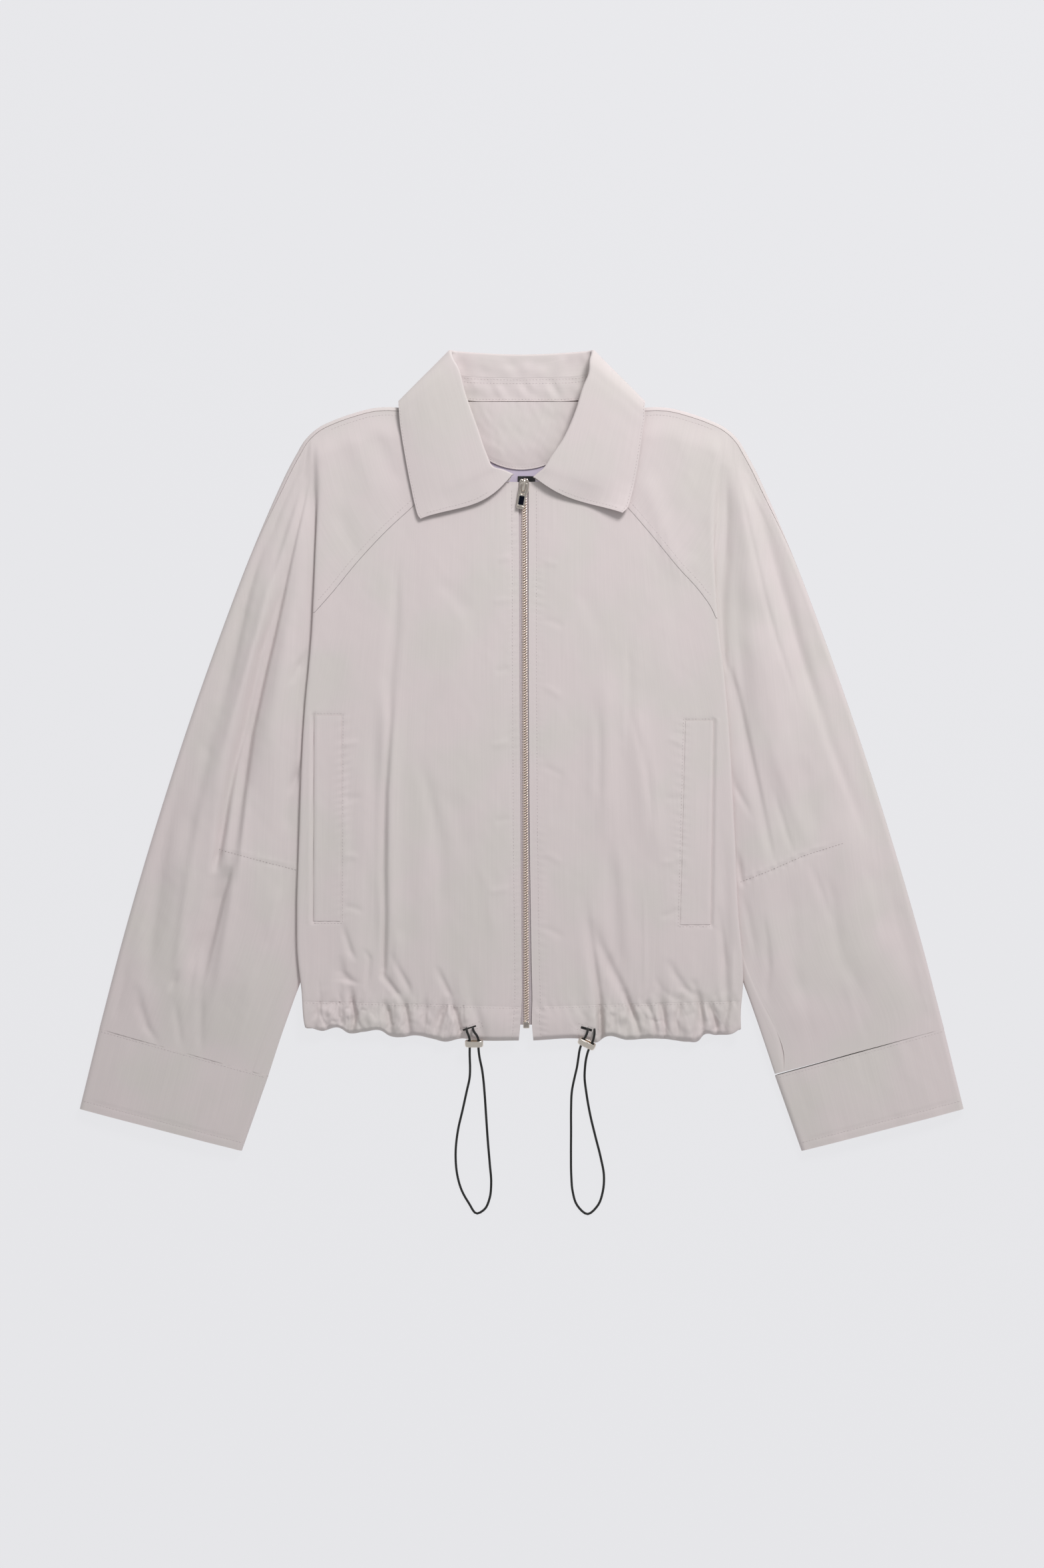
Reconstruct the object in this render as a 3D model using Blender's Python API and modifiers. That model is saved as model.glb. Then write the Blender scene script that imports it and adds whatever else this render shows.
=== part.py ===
"""A cropped zip jacket with raglan sleeves, laid flat on its back with its front up.

Lengths in this file are millimetres, and MM turns them into the metres of the mesh.
+X is the wearer's left, +Y points from hem to collar, and +Z up from the surface it lies on.
The origin is the middle of the jacket's outline, on that surface.
Every cloth piece is a grid of points on its outer face, and Solidify gives it a wall inwards.
"""

import math
from collections import namedtuple

import bpy
import bmesh
import numpy as np

MM = 0.001

# Cloth and seams
CLOTH = 1.2
DOUBLE_CLOTH = 1.5
SEAM_GAP = 0.45
HEM_GAP = 0.8
RAGLAN_GAP = 0.55
SEAM_ANGLE = 0.16
SHOULDER_SEAM_ANGLE = 0.22
ARM_SEAM_ANGLE = 1.3
LAY_GAP = 0.5

# Heights of the outer face above the surface that the jacket lies on
BODY_TOP = 11.2
FRONT_EDGE_TOP = 10.6
CREASE_TOP = 12.4
SLEEVE_TOP = 11.8
FOLDED_EDGE_TOP = 8.6
EDGE_RADIUS = 4.5

# The fold where the body lies over the sleeve
NOSE_RADIUS = 1.75
TUCK_GAP = 1.1
SLEEVE_UNDER_TOP = CREASE_TOP - 2 * NOSE_RADIUS - TUCK_GAP
TUCK_DEPTH = 3.9
SIDE_SEAM_INSET = 10.2
FIRST_CURL = 0.5

# Hem
HEM_SEAM_AT_ZIP = -235.0
HEM_SEAM_RISE = 5.5
HEM_SEAM_RISE_OVER = 200.0
BACK_HEM_BOTTOM = -249.0
HEM_BULGE = 2.2
HEM_EDGE_DROP = 3.5
GATHER_REACH = 34.0

# Collar
COLLAR_NOSE = 1.95
COLLAR_SHARE = 0.48
COLLAR_GAP = 1.4
STAND_START_LIMIT = 0.64
BACK_LIFT = 1.85

# Zip
ZIP_TOP = 249.3
ZIP_BOTTOM = -251.4
ZIP_X_TOP = 2.3
ZIP_X_BOTTOM = 4.2
TAPE_WIDTH = 15.0
TAPE_WALL = 0.8
TAPE_TOP = 9.1
TAPE_INSET = 3.2
CHAIN_TOP_END = 244.5
CHAIN_BOTTOM_END = -248.2
CHAIN_WIDTH = 5.0
CHAIN_HEIGHT = 2.4
CHAIN_MIDDLE = 8.8
SLIDER_SIZE = (9.0, 14.6, 1.2)
SLIDER_MIDDLE = (2.3, 242.0)
SLIDER_PLATE_BOTTOM = 11.0
SLIDER_UNDER = (7.8, 13.0, 1.2)
SLIDER_UNDER_TOP = 7.1
SLIDER_POST = (3.0, 3.2)
SLIDER_POST_Y = 247.2
PULL_AXIS = (2.3, 244.6, 13.2)
PULL_TILT = math.radians(9.5)
PULL_SIZE = (6.2, 24.0, 1.2)
PULL_BAR = 1.1
PULL_EYE = (3.6, 4.3)
BRIDGE_HALF = 3.5
BRIDGE_RISE = 2.8
BRIDGE_WIRE = 0.6
BOX_SIZE = (5.8, 6.2, 3.6)
BOX_MIDDLE = (-251.6, 8.7)

# Cords
CORD_RADIUS = 1.1

Pair = namedtuple("Pair", "x y")
Fold = namedtuple("Fold", "x0 y0 x1 y1 width height")
Gather = namedtuple("Gather", "x lean width depth")
Station = namedtuple("Station", "outer_y inner_y")
Collar = namedtuple("Collar", "turn neck_x neck_y neck_z roll_x roll_y roll_z edge_x edge_y edge_z")

LEFT, RIGHT = 1, -1
SIDE_NAMES = {LEFT: "left", RIGHT: "right"}

# Outer edge of the flat jacket, from the neck point over the shoulder to the cuff seam (both sides)
OUTER_EDGE = [
    Pair(73.0, 324.0), Pair(90.0, 318.5), Pair(110.0, 314.9), Pair(124.0, 315.4), Pair(136.0, 314.4),
    Pair(155.6, 309.4),
    Pair(172.0, 303.6), Pair(186.1, 296.8), Pair(193.5, 291.0), Pair(199.4, 284.5), Pair(206.2, 273.1),
    Pair(212.9, 260.9), Pair(224.5, 236.5), Pair(235.2, 212.1), Pair(250.4, 175.5), Pair(273.6, 114.5),
    Pair(299.8, 41.3), Pair(327.9, -44.1), Pair(364.2, -166.1), Pair(387.6, -255.1),
]

# Edge of the body where it folds over the sleeve, from the shoulder to the hem
CREASE = {
    RIGHT: [Pair(188.8, 291.4), Pair(187.6, 243.8), Pair(188.8, 192.0), Pair(190.6, 144.4), Pair(192.5, 106.6),
            Pair(194.9, 77.9), Pair(197.9, 47.4), Pair(204.0, -81.9), Pair(205.9, -153.9), Pair(205.3, -188.6),
            Pair(201.6, -221.0), Pair(199.2, -250.2), Pair(196.5, -262.0)],
    LEFT: [Pair(183.5, 296.0), Pair(178.6, 243.8), Pair(177.0, 192.0), Pair(178.2, 144.4), Pair(181.2, 106.6),
           Pair(184.8, 77.9), Pair(187.8, 47.4), Pair(195.5, -81.9), Pair(199.4, -160.0), Pair(202.4, -190.0),
           Pair(202.8, -212.4), Pair(200.6, -243.5), Pair(201.4, -262.0)],
}

# Seam between front and sleeve: neck curve first, then the raglan line
NECKLINE = [Pair(4.0, 246.2), Pair(15.0, 246.6), Pair(29.6, 248.9), Pair(44.0, 255.0), Pair(58.0, 265.0)]
RAGLAN = {
    RIGHT: [Pair(58.0, 265.0), Pair(75.0, 247.5), Pair(99.1, 224.3), Pair(124.1, 201.1), Pair(149.8, 173.7),
            Pair(175.4, 142.6), Pair(190.6, 125.5), Pair(206.0, 110.0)],
    LEFT: [Pair(58.0, 265.0), Pair(75.0, 245.5), Pair(97.3, 222.5), Pair(117.4, 199.3), Pair(143.0, 168.2),
           Pair(165.6, 142.6), Pair(174.2, 129.8), Pair(179.2, 118.8), Pair(190.0, 98.0)],
}
ARMPIT_Y = {RIGHT: 125.5, LEFT: 120.5}
BACK_RAGLAN = {
    RIGHT: [Pair(54.0, 320.5), Pair(68.0, 303.0), Pair(92.0, 273.0), Pair(122.0, 233.0), Pair(148.0, 192.0),
            Pair(168.0, 154.0), Pair(182.5, 118.0)],
    LEFT: [Pair(54.0, 320.5), Pair(68.0, 303.0), Pair(91.0, 273.0), Pair(118.0, 233.0), Pair(141.0, 192.0),
           Pair(158.0, 154.0), Pair(171.0, 118.0)],
}

# Seam under the arm as it shows on the front, and the fold just inside it
UNDERARM_SEAM = {
    RIGHT: [Pair(188.6, 118.0), Pair(191.0, 77.9), Pair(194.0, 47.4), Pair(200.1, -81.9), Pair(203.0, -150.0),
            Pair(213.2, -194.1), Pair(228.0, -238.0), Pair(241.0, -276.0), Pair(247.2, -295.0)],
    LEFT: [Pair(176.2, 118.0), Pair(180.9, 77.9), Pair(183.9, 47.4), Pair(191.6, -81.9), Pair(196.0, -140.0),
           Pair(200.5, -176.0), Pair(214.0, -218.5), Pair(228.5, -246.0), Pair(240.5, -279.0), Pair(240.5, -295.0)],
}
SLEEVE_FOLD = {
    RIGHT: [Pair(183.2, 118.0), Pair(187.5, 77.9), Pair(190.5, 47.4), Pair(196.6, -81.9), Pair(197.0, -150.0),
            Pair(199.2, -199.0), Pair(208.6, -227.1), Pair(217.2, -251.5), Pair(229.7, -288.1), Pair(232.8, -298.5)],
    LEFT: [Pair(171.4, 118.0), Pair(177.4, 77.9), Pair(180.4, 47.4), Pair(188.1, -81.9), Pair(193.0, -150.0),
           Pair(198.8, -199.0), Pair(208.6, -227.1), Pair(217.2, -251.5), Pair(229.7, -288.1), Pair(232.8, -298.5)],
}

# Heights on the outer edge and on the inner edge that one row of a sleeve joins
SLEEVE_STATIONS = [
    Station(279.0, 290.5), Station(260.9, 267.0), Station(236.5, 239.6), Station(212.1, 212.1),
    Station(175.5, 172.5), Station(145.0, 138.9), Station(114.5, 102.3), Station(77.9, 59.6),
    Station(16.9, -1.4), Station(-44.1, -68.5), Station(-105.1, -136.0), Station(-166.1, -202.0),
    Station(-214.9, -255.0), Station(-255.1, -294.5),
]

# How a sleeve is divided: rows to the armpit, heights of the rows below it, and columns on the shoulder
UPPER_ROWS = 9
LOWER_ROWS_Y = [98.0, 60.0, 5.0, -60.0, -118.0, -150.0, -176.0, -200.0, -226.0, -258.0, -294.5]
SHOULDER_COLUMNS = 8
SHOULDER_SEAM_START = 74.5
SHOULDER_FADE = 0.09

# Largest folds: a ridge has a height above nought and a trough below
BODY_FOLDS = [
    Fold(-121.0, 75.0, -122.0, -225.0, 9.0, 2.8),
    Fold(-134.0, 60.0, -134.0, -215.0, 7.0, -1.6),
    Fold(77.0, 90.0, 78.0, -90.0, 10.0, 1.9),
    Fold(98.0, 60.0, 126.0, -110.0, 11.0, 1.9),
    Fold(79.0, -74.0, 90.0, -226.0, 7.0, -1.6),
    Fold(108.0, 262.0, 148.0, 150.0, 9.0, 1.4),
    Fold(188.0, -70.0, 189.0, -215.0, 5.0, -1.6),
]
SLEEVE_FOLDS = [
    Fold(-200.0, 215.0, -278.0, -95.0, 11.0, -4.4),
    Fold(-194.0, 240.0, -246.0, -55.0, 13.0, 2.8),
    Fold(-224.0, 195.0, -293.0, -105.0, 12.0, 2.4),
    Fold(-272.0, -88.0, -300.0, -205.0, 7.0, -3.4),
    Fold(-250.0, -60.0, -268.0, -240.0, 18.0, 1.8),
    Fold(-330.0, -100.0, -345.0, -235.0, 12.0, -1.6),
    Fold(203.0, 262.0, 214.0, 111.0, 13.0, 2.6),
    Fold(215.0, 130.0, 246.0, -55.0, 15.0, 3.0),
    Fold(219.0, 232.0, 271.0, 20.0, 9.0, -3.4),
    Fold(196.0, 190.0, 203.0, -30.0, 9.0, -1.8),
    Fold(245.0, -110.0, 262.0, -250.0, 15.0, -2.2),
    Fold(290.0, -40.0, 318.0, -235.0, 16.0, 2.0),
]

# Gathers of the hem casing: the narrow valleys between its puffs
GATHERS = {
    RIGHT: [Gather(166.0, 0.10, 3.6, 2.4), Gather(155.0, 0.0, 4.0, 1.8), Gather(138.0, -0.1, 4.0, 1.3),
            Gather(122.5, 0.0, 4.4, 2.6), Gather(106.0, 0.1, 4.0, 2.2), Gather(90.0, 0.1, 4.4, 1.4),
            Gather(73.0, -0.35, 4.6, 2.8), Gather(59.5, 0.2, 4.2, 2.6), Gather(43.0, 0.25, 4.6, 1.6)],
    LEFT: [Gather(54.0, -0.2, 4.6, 1.6), Gather(73.0, 0.0, 4.0, 3.2), Gather(86.0, 0.1, 4.2, 1.6),
           Gather(100.0, 0.15, 4.4, 2.4), Gather(114.0, 0.0, 4.2, 1.4), Gather(128.0, -0.1, 4.2, 2.4),
           Gather(146.0, 0.0, 4.6, 1.6), Gather(163.5, 0.1, 3.6, 3.0), Gather(176.0, -0.1, 4.4, 2.8)],
}
HEM_EDGE = {
    RIGHT: [Pair(1.0, -266.1), Pair(35.7, -266.1), Pair(58.3, -264.7), Pair(68.0, -267.1), Pair(83.3, -264.3),
            Pair(99.1, -261.4), Pair(111.3, -263.0), Pair(124.1, -261.4), Pair(129.6, -257.6), Pair(147.9, -258.2),
            Pair(163.2, -258.6), Pair(167.4, -255.4), Pair(187.0, -256.9), Pair(196.5, -254.0)],
    LEFT: [Pair(9.0, -266.1), Pair(54.0, -264.5), Pair(70.5, -267.0), Pair(75.3, -263.4), Pair(96.1, -265.5),
           Pair(118.0, -264.3), Pair(133.9, -265.0), Pair(151.6, -267.2), Pair(163.2, -265.4), Pair(166.0, -262.0),
           Pair(179.6, -261.2), Pair(195.0, -258.6), Pair(201.6, -254.0)],
}
FRONT_EDGE_X = {RIGHT: (0.9, 2.7), LEFT: (8.8, 11.3)}

# Collar, from the back's middle round to its front end. turn is the way that the leaf faces:
# -90 degrees down, on the underside, and 90 degrees up, on the front.
COLLAR_BACK = [
    Collar(-90, 0.0, 320.9, 3.0, 0.0, 364.0, 1.95, 0.0, 296.5, 0.0),
    Collar(-90, 22.0, 320.9, 3.0, 23.0, 364.6, 1.95, 32.0, 296.7, 0.0),
    Collar(-90, 42.0, 321.0, 3.0, 43.0, 365.8, 1.95, 64.0, 297.8, 0.0),
    Collar(-80, 56.0, 322.6, 3.4, 55.0, 366.7, 2.3, 88.0, 303.5, 0.0),
    Collar(-60, 63.5, 324.4, 4.6, 60.5, 367.0, 3.4, 102.5, 311.5, 0.2),
    Collar(-32, 67.0, 324.6, 6.2, 63.2, 367.2, 5.6, 110.0, 317.6, 2.0),
    Collar(0, 68.6, 322.0, 8.2, 64.4, 366.6, 8.6, 112.9, 320.6, 6.6),
    Collar(32, 69.0, 317.5, 10.2, 63.9, 363.4, 12.0, 113.0, 319.0, 11.4),
    Collar(62, 69.0, 311.0, 11.6, 62.2, 358.4, 14.8, 112.6, 314.2, 13.6),
]
COLLAR_FRONT = {
    RIGHT: [Collar(82, 68.6, 301.0, 12.2, 57.6, 350.0, 16.6, 111.8, 303.5, 14.2),
            Collar(90, 68.0, 290.0, 12.3, 51.6, 327.6, 17.2, 109.8, 288.0, 14.2),
            Collar(90, 66.0, 279.0, 12.3, 45.4, 309.8, 17.4, 107.2, 272.5, 14.2),
            Collar(90, 61.5, 270.0, 12.3, 39.3, 292.6, 17.4, 104.4, 257.0, 14.2),
            Collar(90, 54.0, 262.6, 12.2, 32.0, 271.6, 17.2, 101.2, 241.0, 14.2),
            Collar(90, 42.0, 254.6, 12.1, 25.6, 259.6, 16.8, 98.0, 226.0, 14.2),
            Collar(90, 27.0, 249.4, 12.0, 16.4, 257.0, 15.6, 95.2, 216.0, 14.2),
            Collar(90, 11.0, 247.2, 11.8, 7.2, 253.0, 14.8, 92.6, 212.2, 14.2)],
    LEFT: [Collar(82, 68.6, 301.0, 12.2, 61.2, 346.0, 16.6, 112.6, 303.5, 14.2),
           Collar(90, 68.0, 290.0, 12.3, 55.6, 331.8, 17.2, 110.4, 289.5, 14.2),
           Collar(90, 66.0, 279.0, 12.3, 48.6, 309.5, 17.4, 108.4, 275.5, 14.2),
           Collar(90, 61.5, 270.0, 12.3, 38.2, 286.0, 17.4, 106.2, 261.0, 14.2),
           Collar(90, 54.0, 262.6, 12.2, 26.5, 268.6, 17.2, 103.4, 246.0, 14.2),
           Collar(90, 42.0, 254.6, 12.1, 20.4, 259.0, 16.8, 100.0, 232.0, 14.2),
           Collar(90, 27.0, 249.4, 12.0, 14.6, 254.0, 15.6, 96.4, 221.5, 14.2),
           Collar(90, 13.0, 247.2, 11.8, 10.4, 250.4, 14.8, 92.2, 217.4, 14.2)],
}
# The leaf's front end between its point and the zip: how far it bows down the jacket, and how far its
# point curls up
LeafEnd = namedtuple("LeafEnd", "bow lift")
LEAF_ENDS = {RIGHT: LeafEnd(9.4, 1.0), LEFT: LeafEnd(5.2, 4.6)}

# Welt pockets: corners of the welt, top outer, top inner, bottom outer, bottom inner
Welt = namedtuple("Welt", "outer_top inner_top outer_bottom inner_bottom y_top y_bottom")
WELTS = {
    RIGHT: Welt(190.0, 165.6, 190.6, 166.2, 31.9, -156.3),
    LEFT: Welt(175.3, 150.3, 172.9, 145.5, 27.0, -159.6),
}
WELT_WALL = 1.2

# Facing and label inside the back neck
FACING_DEPTH = 61.0
FACING_HALF_WIDTH = 60.0
FACING_TOP = 319.2
FACING_WALL = 1.0
FACING_SPAN = 0.97
LABEL = (4.5, 237.2, 16.0, 30.0)
LABEL_WALL = 0.6
REST_GAP = 0.5

# Cuffs: outer and inner ends of the seam and of the mouth
CUFF_SEAM = (Pair(387.6, -255.6), Pair(232.6, -299.0))
CUFF_MOUTH = (Pair(405.6, -328.8), Pair(256.8, -367.4))
CUFF_TOP = 10.4

# Elastic loops: the middle of the cord, from where it leaves the casing and back into it
CORD_ROUTES = {
    RIGHT: [(-50.6, -254.6, 12.3), (-50.5, -255.0, 13.6), (-49.9, -257.6, 15.2), (-48.5, -261.2, 15.4),
            (-47.6, -264.7, 14.4), (-47.6, -268.4, 12.8),
            (-47.6, -272.1, 11.2), (-47.7, -277.6, 7.4), (-47.6, -284.5, 2.9), (-47.4, -292.0, 1.2),
            (-47.8, -300.5, 1.1),
            (-50.4, -312.6, 1.1), (-54.2, -330.0, 1.1), (-58.6, -349.4, 1.1), (-60.7, -371.0, 1.1),
            (-59.0, -391.0, 1.1), (-55.4, -403.5, 1.1), (-48.5, -416.0, 1.1), (-41.2, -425.5, 1.1),
            (-34.0, -421.5, 1.1), (-29.6, -412.0, 1.1), (-28.0, -398.0, 1.1), (-29.3, -380.0, 1.1),
            (-31.0, -360.0, 1.1), (-32.6, -337.0, 1.1), (-34.0, -316.0, 1.1), (-35.4, -300.5, 1.1),
            (-36.6, -292.0, 1.2), (-38.2, -284.5, 2.9), (-39.2, -277.6, 7.4), (-39.6, -272.1, 11.2),
            (-39.6, -268.4, 12.8), (-39.6, -264.7, 14.4), (-41.0, -261.0, 15.6), (-43.7, -257.2, 15.9),
            (-44.6, -254.8, 14.4), (-44.6, -254.4, 13.0)],
    LEFT: [(60.6, -254.8, 12.4), (60.6, -255.2, 13.7), (60.2, -257.6, 15.3), (59.0, -260.8, 15.4),
           (57.5, -263.7, 14.4), (56.0, -266.9, 12.4),
           (54.5, -270.0, 10.4), (53.0, -275.6, 6.6), (52.0, -283.0, 2.6), (50.8, -291.0, 1.2),
           (48.6, -300.5, 1.1),
           (46.2, -312.6, 1.1), (45.4, -330.0, 1.1), (45.4, -349.4, 1.1), (45.3, -371.0, 1.1),
           (45.6, -391.0, 1.1), (46.8, -405.0, 1.1), (51.0, -418.0, 1.1), (60.5, -426.0, 1.1),
           (70.0, -418.0, 1.1), (74.6, -405.0, 1.1), (75.6, -391.0, 1.1), (72.6, -374.0, 1.1),
           (67.8, -355.0, 1.1), (62.8, -334.0, 1.1), (59.2, -313.0, 1.1), (57.8, -300.5, 1.1),
           (58.2, -291.0, 1.2), (59.0, -284.0, 3.2), (60.2, -278.2, 7.0), (61.7, -273.5, 10.4),
           (63.2, -270.4, 12.4), (64.7, -267.2, 14.4), (65.9, -263.4, 15.8), (66.6, -259.2, 16.0),
           (66.6, -256.0, 14.5), (66.6, -255.6, 13.0)],
}
# Shares of a cord's length that hold its points, closer together at its ends and through the lock
CORD_END_SHARES = np.array([0.0, 0.004, 0.008, 0.013, 0.02, 0.03, 0.041, 0.052, 0.063, 0.075, 0.09, 0.11])
CORD_SHARES = np.concatenate([CORD_END_SHARES, np.linspace(0.11, 0.89, 46)[1:-1], 1.0 - CORD_END_SHARES[::-1]])
# Metal locks: middle, length, width, height, turn about Z and lean towards the floor
Lock = namedtuple("Lock", "x y z length width height slot turn lean")
LOCK_CLEAR = 0.4
LOCKS = {
    RIGHT: Lock(-43.6, -268.4, 12.8, 17.0, 6.2, 5.6, 11.6, 0.0, 24.0),
    LEFT: Lock(59.6, -268.6, 12.4, 17.0, 6.2, 5.6, 11.6, -26.0, 30.0),
}

COLOURS = {
    "cloth": (0.655, 0.605, 0.612),
    "lilac": (0.60, 0.54, 0.62),
    "label": (0.012, 0.012, 0.014),
    "tape": (0.50, 0.44, 0.45),
    "metal": (0.74, 0.70, 0.66),
    "cord": (0.012, 0.012, 0.014),
}


def clear_objects():
    """Removes what the scene holds, so that the script can run again."""
    for existing in list(bpy.data.objects):
        bpy.data.objects.remove(existing, do_unlink=True)


def make_collection(name):
    """A new collection in the scene."""
    collection = bpy.data.collections.new(name)
    bpy.context.scene.collection.children.link(collection)
    return collection


def make_material(name, colour, roughness, metallic=0.0):
    """A plain Principled material."""
    material = bpy.data.materials.new(name)
    material.use_nodes = True
    shader = material.node_tree.nodes["Principled BSDF"]
    shader.inputs["Base Color"].default_value = (*colour, 1.0)
    shader.inputs["Roughness"].default_value = roughness
    shader.inputs["Metallic"].default_value = metallic
    return material


def ease(value):
    """0 below 0, 1 above 1, and a smooth step between."""
    value = np.clip(value, 0.0, 1.0)
    return value * value * (3.0 - 2.0 * value)


def bell(distance, width):
    """1 in the middle and near 0 beyond twice the width."""
    return np.exp(-((distance / width) ** 2))


def mix(start, end, share):
    """The value that lies at a share of the way from start to end."""
    return start + (end - start) * share


def hermite(knots, values, at):
    """A smooth curve through values at rising knots, read at the places given."""
    knots = np.asarray(knots, float)
    values = np.asarray(values, float)
    slope = np.gradient(values, knots, axis=0)
    at = np.clip(np.asarray(at, float), knots[0], knots[-1])
    place = np.clip(np.searchsorted(knots, at, side="right") - 1, 0, len(knots) - 2)
    span = knots[place + 1] - knots[place]
    part = (at - knots[place]) / span
    if values.ndim == 2:
        span, part = span[..., None], part[..., None]
    keep = (1 + 2 * part) * (1 - part) ** 2
    turn = part ** 2 * (3 - 2 * part)
    out_slope = part * (1 - part) ** 2 * span
    in_slope = part ** 2 * (part - 1) * span
    return (keep * values[place] + turn * values[place + 1]
            + out_slope * slope[place] + in_slope * slope[place + 1])


def along(points, share):
    """Points at the shares 0 to 1 of the length of a smooth curve through the points."""
    points = np.asarray(points, float)
    steps = np.linalg.norm(np.diff(points, axis=0), axis=1)
    knots = np.concatenate([[0.0], np.cumsum(steps)])
    return hermite(knots / knots[-1], points, share)


def x_at(pairs, y):
    """X of an edge that runs down the jacket, at the heights y."""
    rows = sorted(pairs, key=lambda pair: pair.y)
    return hermite([row.y for row in rows], [row.x for row in rows], y)


def y_at(pairs, x):
    """Y of an edge that runs across the jacket, at the distances x."""
    rows = sorted(pairs, key=lambda pair: pair.x)
    return hermite([row.x for row in rows], [row.y for row in rows], x)


def fold_height(folds, x, y):
    """Sum of the ridges and troughs: a bell across each, eased in and out along it."""
    total = np.zeros(np.broadcast(x, y).shape)
    for fold in folds:
        run_x, run_y = fold.x1 - fold.x0, fold.y1 - fold.y0
        length = math.hypot(run_x, run_y)
        share = ((x - fold.x0) * run_x + (y - fold.y0) * run_y) / length ** 2
        across = ((x - fold.x0) * run_y - (y - fold.y0) * run_x) / length
        ends = ease(share / 0.28) * ease((1.0 - share) / 0.28)
        total = total + fold.height * bell(across, fold.width) * ends
    return total


def hem_seam_y(x):
    """Height of the seam between a front and its hem casing, at a distance x from the middle."""
    return HEM_SEAM_AT_ZIP + HEM_SEAM_RISE * x / HEM_SEAM_RISE_OVER


def gather_depth(side, x, y):
    """Depth of the hem's gathers at a point, which die away above the casing."""
    above = y - hem_seam_y(x)
    fade = np.where(above > 0, np.exp(-np.maximum(above, 0) / GATHER_REACH) * 0.55, 1.0)
    total = np.zeros(np.broadcast(x, y).shape)
    for gather in GATHERS[side]:
        middle = gather.x + gather.lean * above
        widen = 1.0 + np.maximum(above, 0) / 30.0
        total = total + gather.depth * bell(x - middle, gather.width * widen)
    return total * fade


def front_edge_x(side, y):
    """Distance of a front's zip edge from the middle."""
    top, bottom = FRONT_EDGE_X[side]
    return mix(top, bottom, (246.2 - y) / 512.3)


def raglan_seam_y(side, x, gap):
    """Height of a raglan seam at a distance x, moved square to itself by a gap."""
    slope = y_at(RAGLAN[side], x + 0.5) - y_at(RAGLAN[side], x - 0.5)
    return y_at(RAGLAN[side], x) + gap * np.hypot(1.0, slope)


def top_seam_y(side, x, gap):
    """Top edge of a front: the neck curve, then the raglan seam, moved down by a gap."""
    neck = y_at(NECKLINE, x) - gap
    return np.where(x < NECKLINE[-1].x, neck, raglan_seam_y(side, x, -RAGLAN_GAP))


def body_height(side, x, y):
    """Outer face of the fronts and of the sleeve's shoulder part, at x outwards from the middle."""
    crease = x_at(CREASE[side], y)
    inside = crease - x
    height = BODY_TOP + (CREASE_TOP - BODY_TOP) * ease(1.0 - inside / 26.0)
    height = height - (BODY_TOP - FRONT_EDGE_TOP) * ease(1.0 - (x - front_edge_x(side, y)) / 24.0)
    calm = ease((x - front_edge_x(side, y) - 9.0) / 22.0) * ease((inside - 2.0) / 14.0)
    height = height + fold_height(BODY_FOLDS, side * x, y) * calm
    return height - gather_depth(side, x, y) * ease((x - front_edge_x(side, y) - 4.0) / 10.0)


EDGE_SHARES = np.linspace(0.0, 1.0, 1201)
EDGE_DENSE = along(OUTER_EDGE, EDGE_SHARES)


def edge_share_at_y(y):
    """Share of the outer edge's length at a height y, below the shoulder."""
    return np.interp(-np.asarray(y, float), -EDGE_DENSE[:, 1], EDGE_SHARES)


def edge_share_at_x(x):
    """Share of the outer edge's length at a distance x."""
    return np.interp(x, EDGE_DENSE[:, 0], EDGE_SHARES)


def back_lift(x, y):
    """How far the back layers ride up over the collar's fall, which lies under the back neck."""
    fall_edge = np.interp(x, [0.0, 64.0, 88.0, 102.5, 113.0], [296.5, 297.8, 303.5, 311.5, 319.0])
    below = ease((y - fall_edge + 42.0) / 26.0)
    beside = ease((152.0 - x) / 26.0)
    return BACK_LIFT * below * beside


def edge_roll(share, angle):
    """Outer face of the folded edge of shoulder and sleeve: angle 0 on top, pi underneath."""
    share, angle = np.broadcast_arrays(np.asarray(share, float), np.asarray(angle, float))
    point = along(OUTER_EDGE, share)
    step = 0.002
    ahead = along(OUTER_EDGE, np.minimum(share + step, 1.0))
    behind = along(OUTER_EDGE, np.maximum(share - step, 0.0))
    tangent = ahead - behind
    tangent = tangent / np.linalg.norm(tangent, axis=-1, keepdims=True)
    inward = np.stack([tangent[..., 1], -tangent[..., 0]], axis=-1)
    flat = point + inward * (EDGE_RADIUS * (1.0 - np.sin(angle)))[..., None]
    low = back_lift(flat[..., 0], flat[..., 1])
    height = mix(low, FOLDED_EDGE_TOP, 0.5 * (1.0 + np.cos(np.maximum(angle, 0.0))))
    return np.concatenate([flat, height[..., None]], axis=-1)


def over_seam_angle(share):
    """Where the seam over the arm lies on the folded edge: on top at the shoulder, at the side below."""
    sleeve_start = edge_share_at_y(250.0)
    sleeve_end = edge_share_at_y(150.0)
    return mix(SHOULDER_SEAM_ANGLE, ARM_SEAM_ANGLE, ease((share - sleeve_start) / (sleeve_end - sleeve_start)))


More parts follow.
